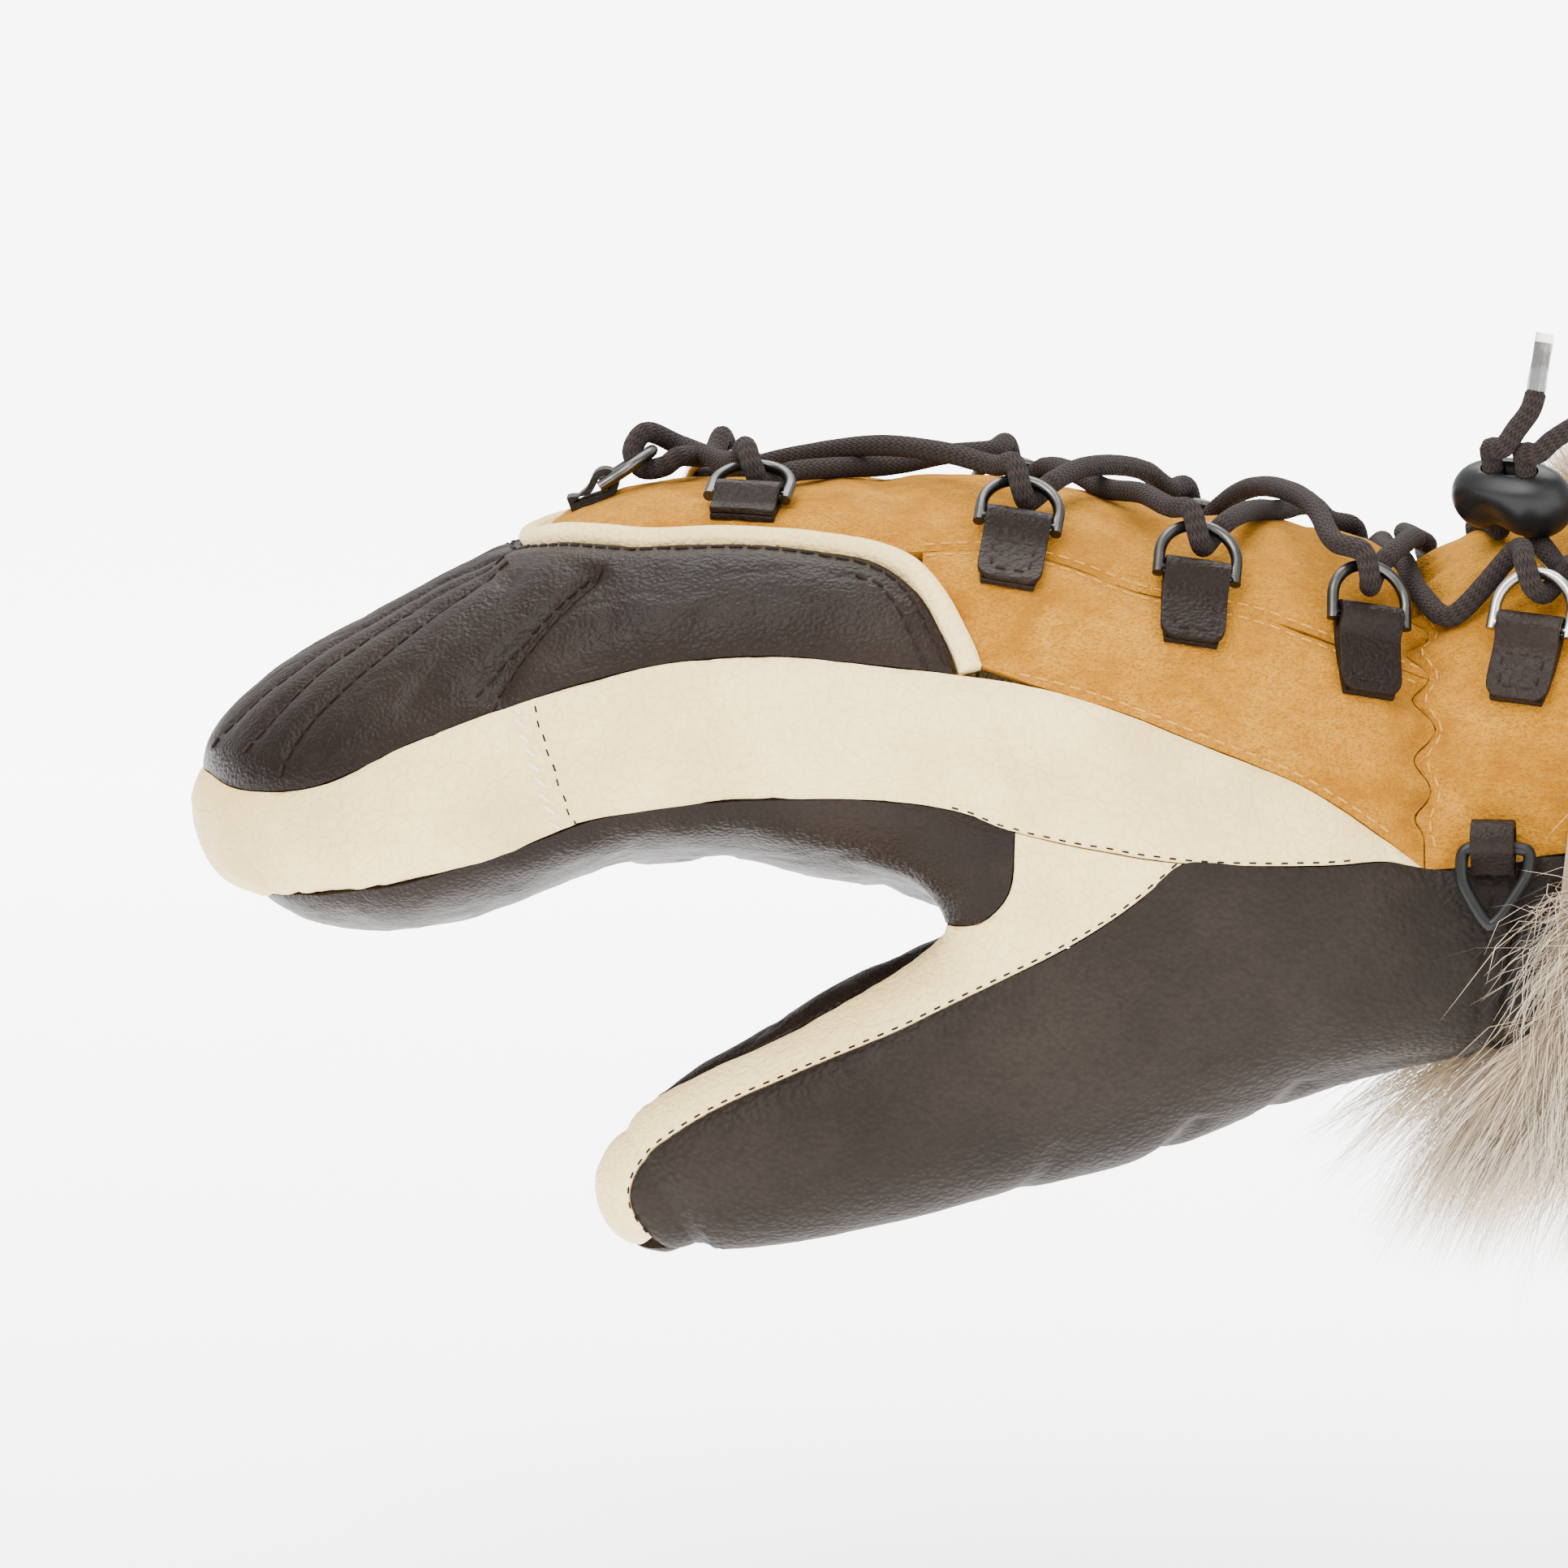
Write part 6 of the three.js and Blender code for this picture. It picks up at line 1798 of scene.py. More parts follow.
@dataclass
class Lacing:
    """The lace: its route through the rings and the lock, and its two free ends.

    In the lock, the route ends at two heights over the bottom and a free end starts at a third.
    """

    layout: Layout
    step: float = 0.62
    sides: int = 16
    route_in_lock: tuple[float, float] = (4.0, 1.2)
    end_in_lock: float = 4.6
    lead: float = 2.4
    reach: tuple[float, float] = (0.35, 0.7)
    in_sleeve: tuple[float, float, float] = (0.12, 0.5, 0.84)
    squeezed: float = 1.38
    sleeve_radius: float = 1.68
    sleeve_wall: float = 0.24

    @staticmethod
    def laid(x: float, turn: float) -> Array:
        """Return a lace point on the suede."""
        p = FORM.on_hand(x, turn)
        return p + FORM.normal(p)[0] * (LACE_DIAMETER / 2 + LACE_REST)

    @staticmethod
    def through(ring: Seat) -> list[Array]:
        """Return the lace's points through one ring."""
        return [ring.at(*row) for row in RING_PASS]

    @staticmethod
    def bridge(start: Array, end: Array, above: bool) -> list[Array]:
        """Return the points of a strand across the tongue.

        Args:
            start: Where it leaves a ring.
            end: Where it enters the next ring.
            above: Whether it crosses above the other strand.

        Returns:
            Its three points.
        """
        least = LACE_DIAMETER / 2 + LACE_REST
        crest = least + (LACE_DIAMETER + FIT if above else 0)
        ends = FORM.distance(np.array([start, end]))
        points = []
        for k, t in enumerate((0.22, 0.5, 0.78)):
            p = lerp(start, end, t)
            low = max(crest if k == 1 else (crest + ends[k // 2]) / 2, least)
            rise = max(float(FORM.distance(p)[0]), low) if above else low
            foot = FORM.settle(p)
            points.append(foot + FORM.normal(foot)[0] * rise)
        return points

    def half(self, first_side: int) -> list[Array]:
        """Return the lace from the front ring to the last row.

        Args:
            first_side: Side that it starts on, -1 toward the thumb.

        Returns:
            Its points.
        """
        points: list[Array] = []
        side = first_side
        for k in range(len(LACING)):
            ring = (self.layout.near if side < 0 else self.layout.far)[k].ring
            if k > 0:
                from_thumb_side = side > 0
                if k == len(LACING) - 1 and not from_thumb_side:
                    points += [self.laid(*place) for place in SAGGING_STRAND]
                else:
                    points += self.bridge(points[-1], ring.at(*RING_PASS[0]),
                                          LACING[k - 1].thumb_strand_above == from_thumb_side)
            points += self.through(ring)
            side = -side
        return points

    def over_tongue(self, start: Array, end: Array, share: float) -> Array:
        """Return the lace's point on the tongue between two places.

        Args:
            start: First place.
            end: Last place.
            share: How far along it lies.

        Returns:
            The point.
        """
        p = FORM.settle(lerp(start, end, share))
        return p + FORM.normal(p)[0] * (LACE_DIAMETER / 2 + LACE_REST)

    def route(self) -> list[Array]:
        """Return the lace's knots from one bore of the lock to the other."""
        near, far = self.half(-1), self.half(1)
        heights = [height - LOCK_TALL / 2 for height in self.route_in_lock]
        near_bore = [self.layout.bore(1, height) for height in heights]
        far_bore = [self.layout.bore(-1, height) for height in heights]
        to_near = [self.over_tongue(near_bore[1], near[-1], t) for t in self.reach]
        to_far = [self.over_tongue(far[-1], far_bore[1], t) for t in self.reach]
        return [*near_bore, *to_near, *near[::-1], *self.through(self.layout.front.ring), *far, *to_far,
                *far_bore[::-1]]

    def free_end(self, side: int, places: Sequence[Sequence[float]], tip: Sequence[Sequence[float]]) -> Array:
        """Return the even path of one free end, from inside the lock to inside its sleeve.

        Args:
            side: Which bore it leaves.
            places: Its knots between the lock and the sleeve.
            tip: The sleeve's two ends.

        Returns:
            The path.
        """
        heights = (-LOCK_TALL / 2 + self.end_in_lock, 0, LOCK_TALL / 2, LOCK_TALL / 2 + self.lead)
        start, stop = np.array(tip, float)
        inside = [lerp(start, stop, t) for t in self.in_sleeve]
        knots = [self.layout.bore(side, height) for height in heights] + [np.array(p, float) for p in places]
        return Curve([*knots, *inside]).even(self.step)

    def cord(self, name: str, path: Array, material: bpy.types.Material, *nodes: str,
             thin: int = 0) -> bpy.types.Object:
        """Build one stretch of lace.

        Args:
            name: Name of the piece.
            path: Its even path.
            material: The braid.
            nodes: CAD nodes that it stands for.
            thin: Number of last rings that a sleeve squeezes.

        Returns:
            The piece.
        """
        radius = np.full(len(path), LACE_DIAMETER / 2)
        radius += 0.05 * NOISE(path, 6, 2)
        if thin:
            radius[-thin:] = self.squeezed
        points, faces, uv = tube(path, radius, self.sides)
        obj = mesh_object(name, points, faces, uv)
        soften(obj, 60)
        return hand_over(obj, [material], Slot.LACE, *nodes)

    def build(self, finishes: Finishes) -> None:
        """Args:
            finishes: The finishes.
        """
        layout = self.layout
        self.cord("laced_cord", Curve(self.route()).even(self.step), finishes.lace, "lace")
        ends = (("short", -1, SHORT_END, SHORT_TIP), ("long", 1, LONG_END, LONG_TIP))
        for name, side, places, tip in ends:
            path = self.free_end(side, places, tip)
            sleeve = self.sleeve(name, tip, finishes.aglet)
            inside = len(path) - int(np.argmin(np.linalg.norm(path - np.array(tip[0], float), axis=1)))
            piece = self.cord(f"{name}_lace_tail", path, finishes.lace, f"lace_end_{name}", thin=inside)
            tuple(layout.bore(side, LOCK_TALL / 2) * MM)

    def sleeve(self, name: str, tip: Sequence[Sequence[float]], material: bpy.types.Material) -> bpy.types.Object:
        """Build the clear sleeve on one end of the lace.

        Args:
            name: Which end.
            tip: The sleeve's two ends.
            material: Its finish.

        Returns:
            The piece.
        """
        start, stop = (Vector(p) * MM for p in tip)
        axis = stop - start
        deselect()
        bpy.ops.mesh.primitive_cylinder_add(vertices=28, radius=self.sleeve_radius * MM, depth=axis.length)
        obj = bpy.context.object
        obj.name = f"{name}_lace_sleeve"
        bpy.ops.object.mode_set(mode="EDIT")
        bpy.ops.mesh.select_all(action="DESELECT")
        choose(obj, "faces", lambda face: abs(face.normal.z) > 0.9)
        bpy.ops.mesh.delete(type="ONLY_FACE")
        bpy.ops.mesh.select_all(action="SELECT")
        bpy.ops.mesh.subdivide(number_cuts=7)
        bpy.ops.object.mode_set(mode="OBJECT")
        for vertex in obj.data.vertices:
            share = vertex.co.z / axis.length + 0.5
            swell = 1 + 0.035 * math.sin(9 * share) - 0.05 * share
            vertex.co.x *= swell
            vertex.co.y *= swell * (1 - 0.06 * share)
        wall = obj.modifiers.new("wall", "SOLIDIFY")
        wall.thickness = self.sleeve_wall * MM
        wall.offset = -1
        apply_modifiers(obj)
        obj.rotation_mode = "QUATERNION"
        obj.rotation_quaternion = axis.to_track_quat("Z", "Y")
        obj.location = (start + stop) / 2
        bpy.context.view_layer.update()
        settle_transform(obj)
        soften(obj, 45)
        return hand_over(obj, [material], Slot.AGLET, f"aglet_{name}")


@dataclass
class Hardware:
    """Tabs, D rings, cord lock, hang loop and its ring."""

    layout: Layout
    finishes: Finishes
    highlight_rings: tuple[str, ...] = ("near_5", "far_1")
    shoulder: float = 3.0
    tab_pad: float = 2.4
    hang_pad: float = 2.4
    hang_corners: tuple[tuple[float, float], ...] = (
        (-5.7, 0), (5.7, 0), (5.5, -4.5), (-0.6, -14), (-5.6, -6))
    hang_cuts: tuple[float, ...] = (0.14, 0.25, 0.25)

    @staticmethod
    def strip(name: str, path: Sequence[tuple[float, float]], widths: Sequence[float], ply: float,
              bend: float = 0.0) -> bpy.types.Object:
        """Model a leather strip folded along a path.

        Args:
            name: Name of the object.
            path: Places along the strip, as distance out and height.
            widths: Width of the strip at each place.
            ply: Thickness of the leather.
            bend: Height of a slight bow across the strip.

        Returns:
            The strip, with its cut edges in the second material.
        """
        deselect()
        bpy.ops.mesh.primitive_grid_add(x_subdivisions=8, y_subdivisions=1, size=1)
        obj = bpy.context.object
        obj.name = name
        bpy.ops.object.mode_set(mode="EDIT")
        bpy.ops.mesh.select_all(action="DESELECT")
        choose(obj, "verts", lambda vertex: vertex.co.y > 0)
        bpy.ops.mesh.delete(type="VERT")
        bpy.ops.mesh.select_all(action="SELECT")
        out, height = path[0]
        bpy.ops.transform.resize(value=(widths[0] * MM, 1, 1))
        bpy.ops.transform.translate(value=(0, (out + 500) * MM, height * MM))
        for (out, height), (next_out, next_height), width, next_width in zip(
                path, path[1:], widths, widths[1:]):
            bpy.ops.mesh.extrude_region_move(TRANSFORM_OT_translate={
                "value": (0, (next_out - out) * MM, (next_height - height) * MM)})
            if next_width != width:
                bpy.ops.transform.resize(value=(next_width / width, 1, 1))
        bpy.ops.mesh.select_all(action="SELECT")
        bpy.ops.mesh.normals_make_consistent(inside=False)
        bpy.ops.object.mode_set(mode="OBJECT")
        wall = obj.modifiers.new("ply", "SOLIDIFY")
        wall.thickness = ply * MM
        wall.offset = 0
        wall.material_offset_rim = 1
        add_bevel(obj, 0.16, 60)
        smoothing = obj.modifiers.new("smoothing", "SUBSURF")
        smoothing.levels = smoothing.render_levels = 1
        obj.data.materials.append(None)
        obj.data.materials.append(None)
        apply_modifiers(obj)
        points = coordinates(obj) / MM
        points[:, 2] += 0.1 * NOISE(points, 2.4, 2) + bend * (1 - (points[:, 0] / (max(widths) / 2)) ** 2)
        obj.data.vertices.foreach_set("co", (points * MM).ravel())
        return obj

    @staticmethod
    def folded_path(length: float, hole: float, round_: float, ply: float, pad: float) -> list[tuple[float, float]]:
        """Return the path of a strip that runs out, round a bar and back.

        Args:
            length: Length of the flat part.
            hole: Radius of the eye.
            round_: Height of the bar's middle.
            ply: Thickness of the leather.
            pad: Thickness of both plies together.

        Returns:
            Places as distance out and height.
        """
        reach = hole + ply / 2
        low, high = ply / 2, pad - ply / 2
        path = [(-length, low), (-length * 0.5, low), (-round_ * 0.5, low)]
        for degrees in range(-90, 135, 20):
            angle = math.radians(degrees)
            path.append((reach * math.cos(angle), round_ + reach * math.sin(angle)))
        path += [(-round_ * 0.95, (round_ + high) * 0.62), (-round_ * 1.35, high + 0.15)]
        if length > round_ * 2.2:
            path += [(-(length + round_ * 1.35) / 2, high), (-length + 2.2, high), (-length + 1.0, high)]
        path.append((-length, high))
        return path

    def tab(self, fitting: Fitting) -> bpy.types.Object:
        """Model one ring's tab on its seat."""
        path = self.folded_path(fitting.length, STRAP_HOLE, STRAP_ROUND, TAB_PLY, self.tab_pad)
        widths = [TAB_WIDTH] * len(path)
        if fitting.length > LONG_TAB:
            widths[-1], widths[-2] = TAB_WIDTH - 3.6, TAB_WIDTH - 1.2
            widths[0] = TAB_WIDTH - 2
        obj = self.strip(f"ring_tab_{fitting.name}", path, widths, TAB_PLY, 0.12)
        obj.matrix_basis = fitting.tab.matrix()
        settle_transform(obj)
        soften(obj, 60)
        node = "tab_front" if fitting.name == "front" else f"tab_{fitting.name}"
        return hand_over(obj, [self.finishes.dark, self.finishes.raw_edge], Slot.DARK, node)

    def ring_model(self) -> bpy.types.Object:
        """Model the D ring flat, its bar along X and its bow along Y."""
        half, shoulder, wire = (RING_WIDTH - RING_WIRE) / 2, self.shoulder, RING_WIRE / 2
        deselect()
        bpy.ops.mesh.primitive_torus_add(major_segments=56, minor_segments=16, major_radius=half * MM,
                                         minor_radius=wire * MM, location=(0, shoulder * MM, 0))
        bow = bpy.context.object
        settle_transform(bow)
        bpy.ops.object.mode_set(mode="EDIT")
        bpy.ops.mesh.select_all(action="SELECT")
        bpy.ops.mesh.bisect(plane_co=(0, shoulder * MM, 0), plane_no=(0, 1, 0), clear_inner=True,
                            clear_outer=False, threshold=1e-7)
        choose(bow, "edges", lambda edge: edge.is_boundary)
        bpy.ops.mesh.extrude_region_move(TRANSFORM_OT_translate={"value": (0, -(shoulder + 1.1) * MM, 0)})
        bpy.ops.mesh.edge_face_add()
        bpy.ops.object.mode_set(mode="OBJECT")
        deselect()
        bpy.ops.mesh.primitive_cylinder_add(vertices=16, radius=wire * 0.96 * MM, depth=2 * half * MM,
                                            rotation=(0, math.pi / 2, 0))
        bar = bpy.context.object
        settle_transform(bar)
        add_boolean(bow, bar, "UNION")
        apply_modifiers(bow)
        bpy.data.objects.remove(bar)
        return bow

    def copy(self, model: bpy.types.Object, name: str, seat: Seat, material: bpy.types.Material,
             slot: Slot, node: str) -> bpy.types.Object:
        """Place a copy of a model with its own mesh.

        Args:
            model: What is copied.
            name: Name of the copy.
            seat: Its place.
            material: Its finish.
            slot: The record's slot.
            node: CAD node that it stands for.

        Returns:
            The copy.
        """
        obj = model.copy()
        obj.data = model.data.copy()
        obj.name = obj.data.name = name
        bpy.context.scene.collection.objects.link(obj)
        obj.data.transform(seat.matrix())
        if seat.matrix().determinant() < 0:
            obj.data.flip_normals()
        soften(obj, 50)
        return hand_over(obj, [material], slot, node)

    @staticmethod
    def bean(p: Array) -> Array:
        """Return the lock's egg with full sides, a flatter top, a scooped face and a hollow underside."""
        p = p.copy()
        p[:, 0] *= 1 + 0.1 * (1 - np.abs(p[:, 0]) / (LOCK_LONG / 2))
        shelf = LOCK_TALL * 0.3
        p[:, 1] = np.where(p[:, 1] > shelf, shelf + (p[:, 1] - shelf) * 0.72, p[:, 1])
        scoop = np.exp(-(((p[:, 0] + 2.4) / 3.6) ** 2)) * smooth((p[:, 2] - 1) / 4) * smooth((4.5 - p[:, 1]) / 6)
        p[:, 2] -= 2.3 * scoop
        under = np.exp(-((p[:, 0] / 4.5) ** 2)) * smooth((-2.5 - p[:, 1]) / 4)
        p[:, 1] += 1.8 * under
        return p

    def lock(self) -> bpy.types.Object:
        """Model the cord lock: a smooth bean with a scooped face, two bores and a hollow between."""
        deselect()
        bpy.ops.mesh.primitive_uv_sphere_add(segments=64, ring_count=40, radius=1)
        obj = bpy.context.object
        obj.name = "bean_lock"
        bpy.ops.object.mode_set(mode="EDIT")
        bpy.ops.mesh.select_all(action="SELECT")
        bpy.ops.transform.resize(value=(LOCK_LONG / 2, LOCK_TALL / 2, LOCK_DEEP / 2))
        bpy.ops.object.mode_set(mode="OBJECT")
        obj.data.vertices.foreach_set("co", (self.bean(coordinates(obj)) * MM).ravel())
        cutters = []
        for side in (-1, 1):
            deselect()
            bpy.ops.mesh.primitive_cylinder_add(vertices=32, radius=(LACE_DIAMETER / 2 + FIT) * MM,
                                                depth=LOCK_TALL * 1.4 * MM, rotation=(math.pi / 2, 0, 0),
                                                location=(side * BORE_SPREAD / 2 * MM, 0, 0))
            cutters.append(bpy.context.object)
        deselect()
        bpy.ops.mesh.primitive_uv_sphere_add(segments=32, ring_count=20, radius=1,
                                             location=(0, 6.4 * MM, 0.2 * MM))
        bpy.ops.transform.resize(value=(3.6 * MM, 2.3 * MM, 1.9 * MM))
        cutters.append(bpy.context.object)
        for cutter in cutters:
            settle_transform(cutter)
            add_boolean(obj, cutter, "DIFFERENCE")
        add_bevel(obj, 0.35, 38)
        apply_modifiers(obj)
        for cutter in cutters:
            bpy.data.objects.remove(cutter)
        seat = Seat(np.array(LOCK_CENTRE), self.layout.lock_long, self.layout.lock_up, self.layout.lock_deep)
        obj.matrix_basis = seat.matrix()
        settle_transform(obj)
        soften(obj, 40)
        return hand_over(obj, [self.finishes.plastic], Slot.PLASTIC, "cord_lock")

    def hang_loop(self) -> None:
        """Model the hang loop and its triangular ring."""
        seat = self.layout.hang
        lifted = Seat(seat.at(0, 0, HANG_LIFT), seat.along, seat.out, seat.normal)
        path = self.folded_path(HANG_ROUND + 1.2, HANG_HOLE, HANG_ROUND, 1.2, self.hang_pad)
        loop = self.strip("hang_loop", path, [HANG_WIDTH] * len(path), 1.15, 0.1)
        loop.matrix_basis = lifted.matrix()
        settle_transform(loop)
        soften(loop, 60)
        hand_over(loop, [self.finishes.dark, self.finishes.raw_edge], Slot.DARK, "hang_tab")
        drop = HANG_HOLE - HANG_WIRE / 2 - FIT
        centre = seat.at(0.5, -drop, HANG_LIFT + HANG_ROUND)
        frame_seat = Seat(centre, seat.along, seat.out, seat.normal)
        line = np.array([frame_seat.at(along, out, 0) for along, out in self.hang_corners])
        for share in self.hang_cuts:
            after = np.roll(line, -1, axis=0)
            line = np.stack([lerp(line, after, share), lerp(line, after, 1 - share)], axis=1).reshape(-1, 3)
        points, faces, _ = tube(line, HANG_WIRE / 2, 14, closed=True)
        ring = mesh_object("hang_triangle", points, faces)
        soften(ring, 50)
        hand_over(ring, [self.finishes.plastic], Slot.PLASTIC, "hang_ring")

    def build(self) -> None:
        """Build every fitting."""
        model = self.ring_model()
        for fitting in (self.layout.front, *self.layout.near, *self.layout.far):
            self.tab(fitting)
            # painted highlight: the listed rings take the lighter copy of the gunmetal
            metal = self.finishes.highlight_metal if fitting.name in self.highlight_rings else self.finishes.gunmetal
            self.copy(model, f"ring_{fitting.name}", fitting.ring, metal, Slot.GUNMETAL,
                      f"d_ring_{fitting.name}")
        bpy.data.objects.remove(model)
        self.lock()
        self.hang_loop()


# Stitching

@dataclass(frozen=True)
class Stitch:
    """Pitch, length, radius and slant in degrees of one kind of stitch."""

    pitch: float
    length: float
    radius: float = 0.33
    slant: float = 0.0


CAP_STITCH = Stitch(3.0, 2.3)
CAP_QUILTING = Stitch(3.0, 2.2)
SUEDE_STITCH = Stitch(2.8, 1.9, 0.22)
WALL_GROOVE = Stitch(2.4, 1.3, 0.16)
SEAM_STITCH = Stitch(2.6, 1.2, 0.17)
TAB_STITCH = Stitch(2.3, 1.7, 0.26)


@dataclass(frozen=True)
class StitchRow:
    """A row of stitches along a line, with the way up where it isn't the leather's."""

    line: Array
    stitch: Stitch
    up: Optional[Array] = None


@dataclass
class Sewing:
    """Sets rows of stitches on the finished leather."""

    upper: Upper
    suede_gap: float = 1.5
    wall_slant: float = 32.0
    wrist_turn: float = 94.0
    tab_front: float = -5.2
    tab_height: float = 2.42

    def __post_init__(self) -> None:
        """Collect the surfaces that stitches sit on."""
        points: list[Vector] = []
        faces: list[list[int]] = []
        for obj in self.upper.objects.values():
            start = len(points)
            points += [v.co.copy() for v in obj.data.vertices]
            faces += [[start + v for v in face.vertices] for face in obj.data.polygons]
        self.surface = BVHTree.FromPolygons(points, faces)
        self.shell = self.upper.shell

    @staticmethod
    def template(length: float, radius: float) -> tuple[Array, list[tuple[int, ...]]]:
        """Return a small rounded stitch along X.

        Args:
            length: Its length.
            radius: Its radius.

        Returns:
            Its points and faces.
        """
        half = length / 2
        rings = ((-half, 0.45), (-half + radius, 1.0), (half - radius, 1.0), (half, 0.45))
        angles = np.arange(6) / 6 * 2 * np.pi
        points = np.array([(x, math.cos(a) * radius * size, math.sin(a) * radius * size * 0.85)
                           for x, size in rings for a in angles])
        faces = [(r * 6 + (k + 1) % 6, (r + 1) * 6 + (k + 1) % 6, (r + 1) * 6 + k, r * 6 + k)
                 for r in range(3) for k in range(6)]
        return points, [*faces, tuple(range(6)), tuple(range(23, 17, -1))]

    def sew(self, name: str, rows: Sequence[StitchRow], material: bpy.types.Material, slot: Slot) -> None:
        """Build one piece of stitching.

        Args:
            name: Name of the piece.
            rows: Its rows.
            material: The thread.
            slot: The record's slot.
        """
        all_points, all_faces, start = [], [], 0
        for row in rows:
            stitch = row.stitch
            places = Curve(row.line).even(stitch.pitch) if len(row.line) > 2 else np.linspace(
                row.line[0], row.line[1], max(int(np.linalg.norm(np.subtract(*row.line)) / stitch.pitch), 1) + 1)
            points, faces = self.template(stitch.length, stitch.radius)
            places = (places[1:] + places[:-1]) / 2
            along = unit(np.gradient(places, axis=0))
            for place, ahead in zip(places, along):
                up, centre = row.up, place
                if up is None:
                    seat, normal, _, _ = self.surface.find_nearest(Vector(place * MM))
                    up, outward, centre = np.array(normal), FORM.normal(place)[0], np.array(seat) / MM
                    up = up if up.dot(outward) > 0.3 else outward
                ahead = unit(ahead - up * ahead.dot(up))
                side = np.cross(up, ahead)
                angle = math.radians(stitch.slant)
                ahead, side = (ahead * math.cos(angle) + side * math.sin(angle),
                               side * math.cos(angle) - ahead * math.sin(angle))
                all_points.append(centre + up * stitch.radius * 0.35 + points @ np.stack([ahead, side, up]))
                all_faces += [tuple(start + v for v in face) for face in faces]
                start += len(points)
        obj = mesh_object(name, np.concatenate(all_points), all_faces)
        soften(obj, 60)
        hand_over(obj, [material], slot)

    def piping_rows(self, distance: float, low: float, high: float) -> list[Array]:
        """Return lines beside the piping, on both sides.

        Args:
            distance: Distance from the piping's middle, negative toward the toe.
            low: First table row.
            high: Last table row.

        Returns:
            The two lines.
        """
        rows = np.linspace(low, high, max(int(abs(high - low) * 5), 3))
        return [self.shell.beside_piping(self.shell.piping_row(side * rows), distance) for side in (1, -1)]

    def cap_rows(self) -> list[StitchRow]:
        """Return the toe cap's rows, beside the piping and in the quilting."""
        rows = [StitchRow(line, CAP_STITCH)
                for line in (*self.piping_rows(-3.7, 0.4, 12.6), *self.piping_rows(-6.9, 10.6, 12.5))]
        for quilt in QUILT_SEAMS:
            rows += [StitchRow(line, CAP_QUILTING) for line in (np.array(quilt, float), mirrored(quilt))]
        return rows

    def suede_rows(self) -> list[StitchRow]:
        """Return the suede's rows: on both sides of its seams, over the side wall and at the wrist."""
        lines = []
        for seam in (np.array(self.shell.seam_points), mirrored(self.shell.seam_points)):
            even = Curve(seam).even(6)
            across = unit(np.cross(np.gradient(even, axis=0), FORM.normal(even)))
            lines += [even + across * self.suede_gap, even - across * self.suede_gap]
        top = self.shell.side_top(np.linspace(0, self.shell.side_row(CAP_ROWS - 0.3), 40))
        inward = FORM.settle(top + UP * 1.7)
        wrist = puckered(np.array([FORM.on_hand(WRIST_X + 1.7, turn)
                                   for turn in np.linspace(self.wrist_turn, -self.wrist_turn, 120)]))
        return [StitchRow(line, SUEDE_STITCH) for line in (*lines, inward, mirrored(inward), wrist)]

    def seam_rows(self, layout: Layout) -> list[StitchRow]:
        """Return the dark thread's rows: in the wall's groove, along the thumb's strip and on the tabs."""
        shell = self.shell
        rows = [StitchRow(np.array(WALL_SEAM, float) * (1, sign, 1) + (1.4, 0, 0), WALL_GROOVE)
                for sign in (1, -1)]
        strip = Curve(shell.strip_outer).even(5)
        rows.append(StitchRow(FORM.settle(strip + (-0.4, 0, 0.5)), SEAM_STITCH))
        low = shell.side_low(np.linspace(0.02, shell.side_row(STRIP_INNER_END) + 0.03, 40))
        rows.append(StitchRow(FORM.settle(low + UP * 0.6), SEAM_STITCH))
        for fitting in (*layout.near, *layout.far):
            if fitting.length > LONG_TAB:
                rows += self.tab_box(fitting)
        return rows

    def tab_box(self, fitting: Fitting) -> list[StitchRow]:
        """Return the box of stitches on a tab."""
        half, rear = TAB_WIDTH / 2 - 1.9, -fitting.length + 2
        corners = [(-half, self.tab_front), (half, self.tab_front), (half - 0.5, rear), (-half + 0.5, rear)]
        points = [fitting.tab.at(along, out, self.tab_height) for along, out in corners]
        return [StitchRow(np.array([points[k], points[(k + 1) % 4]]), TAB_STITCH, fitting.tab.normal)
                for k in range(4)]

    def build(self, finishes: Finishes, layout: Layout) -> None:
        """Sew every seam.

        Args:
            finishes: The finishes.
            layout: Places of the tabs.
        """
        self.sew("cap_stitching", self.cap_rows(), finishes.brown_thread, Slot.DARK)
        self.sew("suede_stitching", self.suede_rows(), finishes.ochre_thread, Slot.SUEDE)
        wall = [StitchRow(np.array(WALL_SEAM, float) * (1, sign, 1) + (-2.0, 0, 0),
                          Stitch(2.6, 2.3, slant=self.wall_slant * sign)) for sign in (1, -1)]
        self.sew("wall_stitching", wall, finishes.pale_thread, Slot.CREAM)
        self.sew("seam_stitching", self.seam_rows(layout), finishes.brown_thread, Slot.DARK)


# Fur

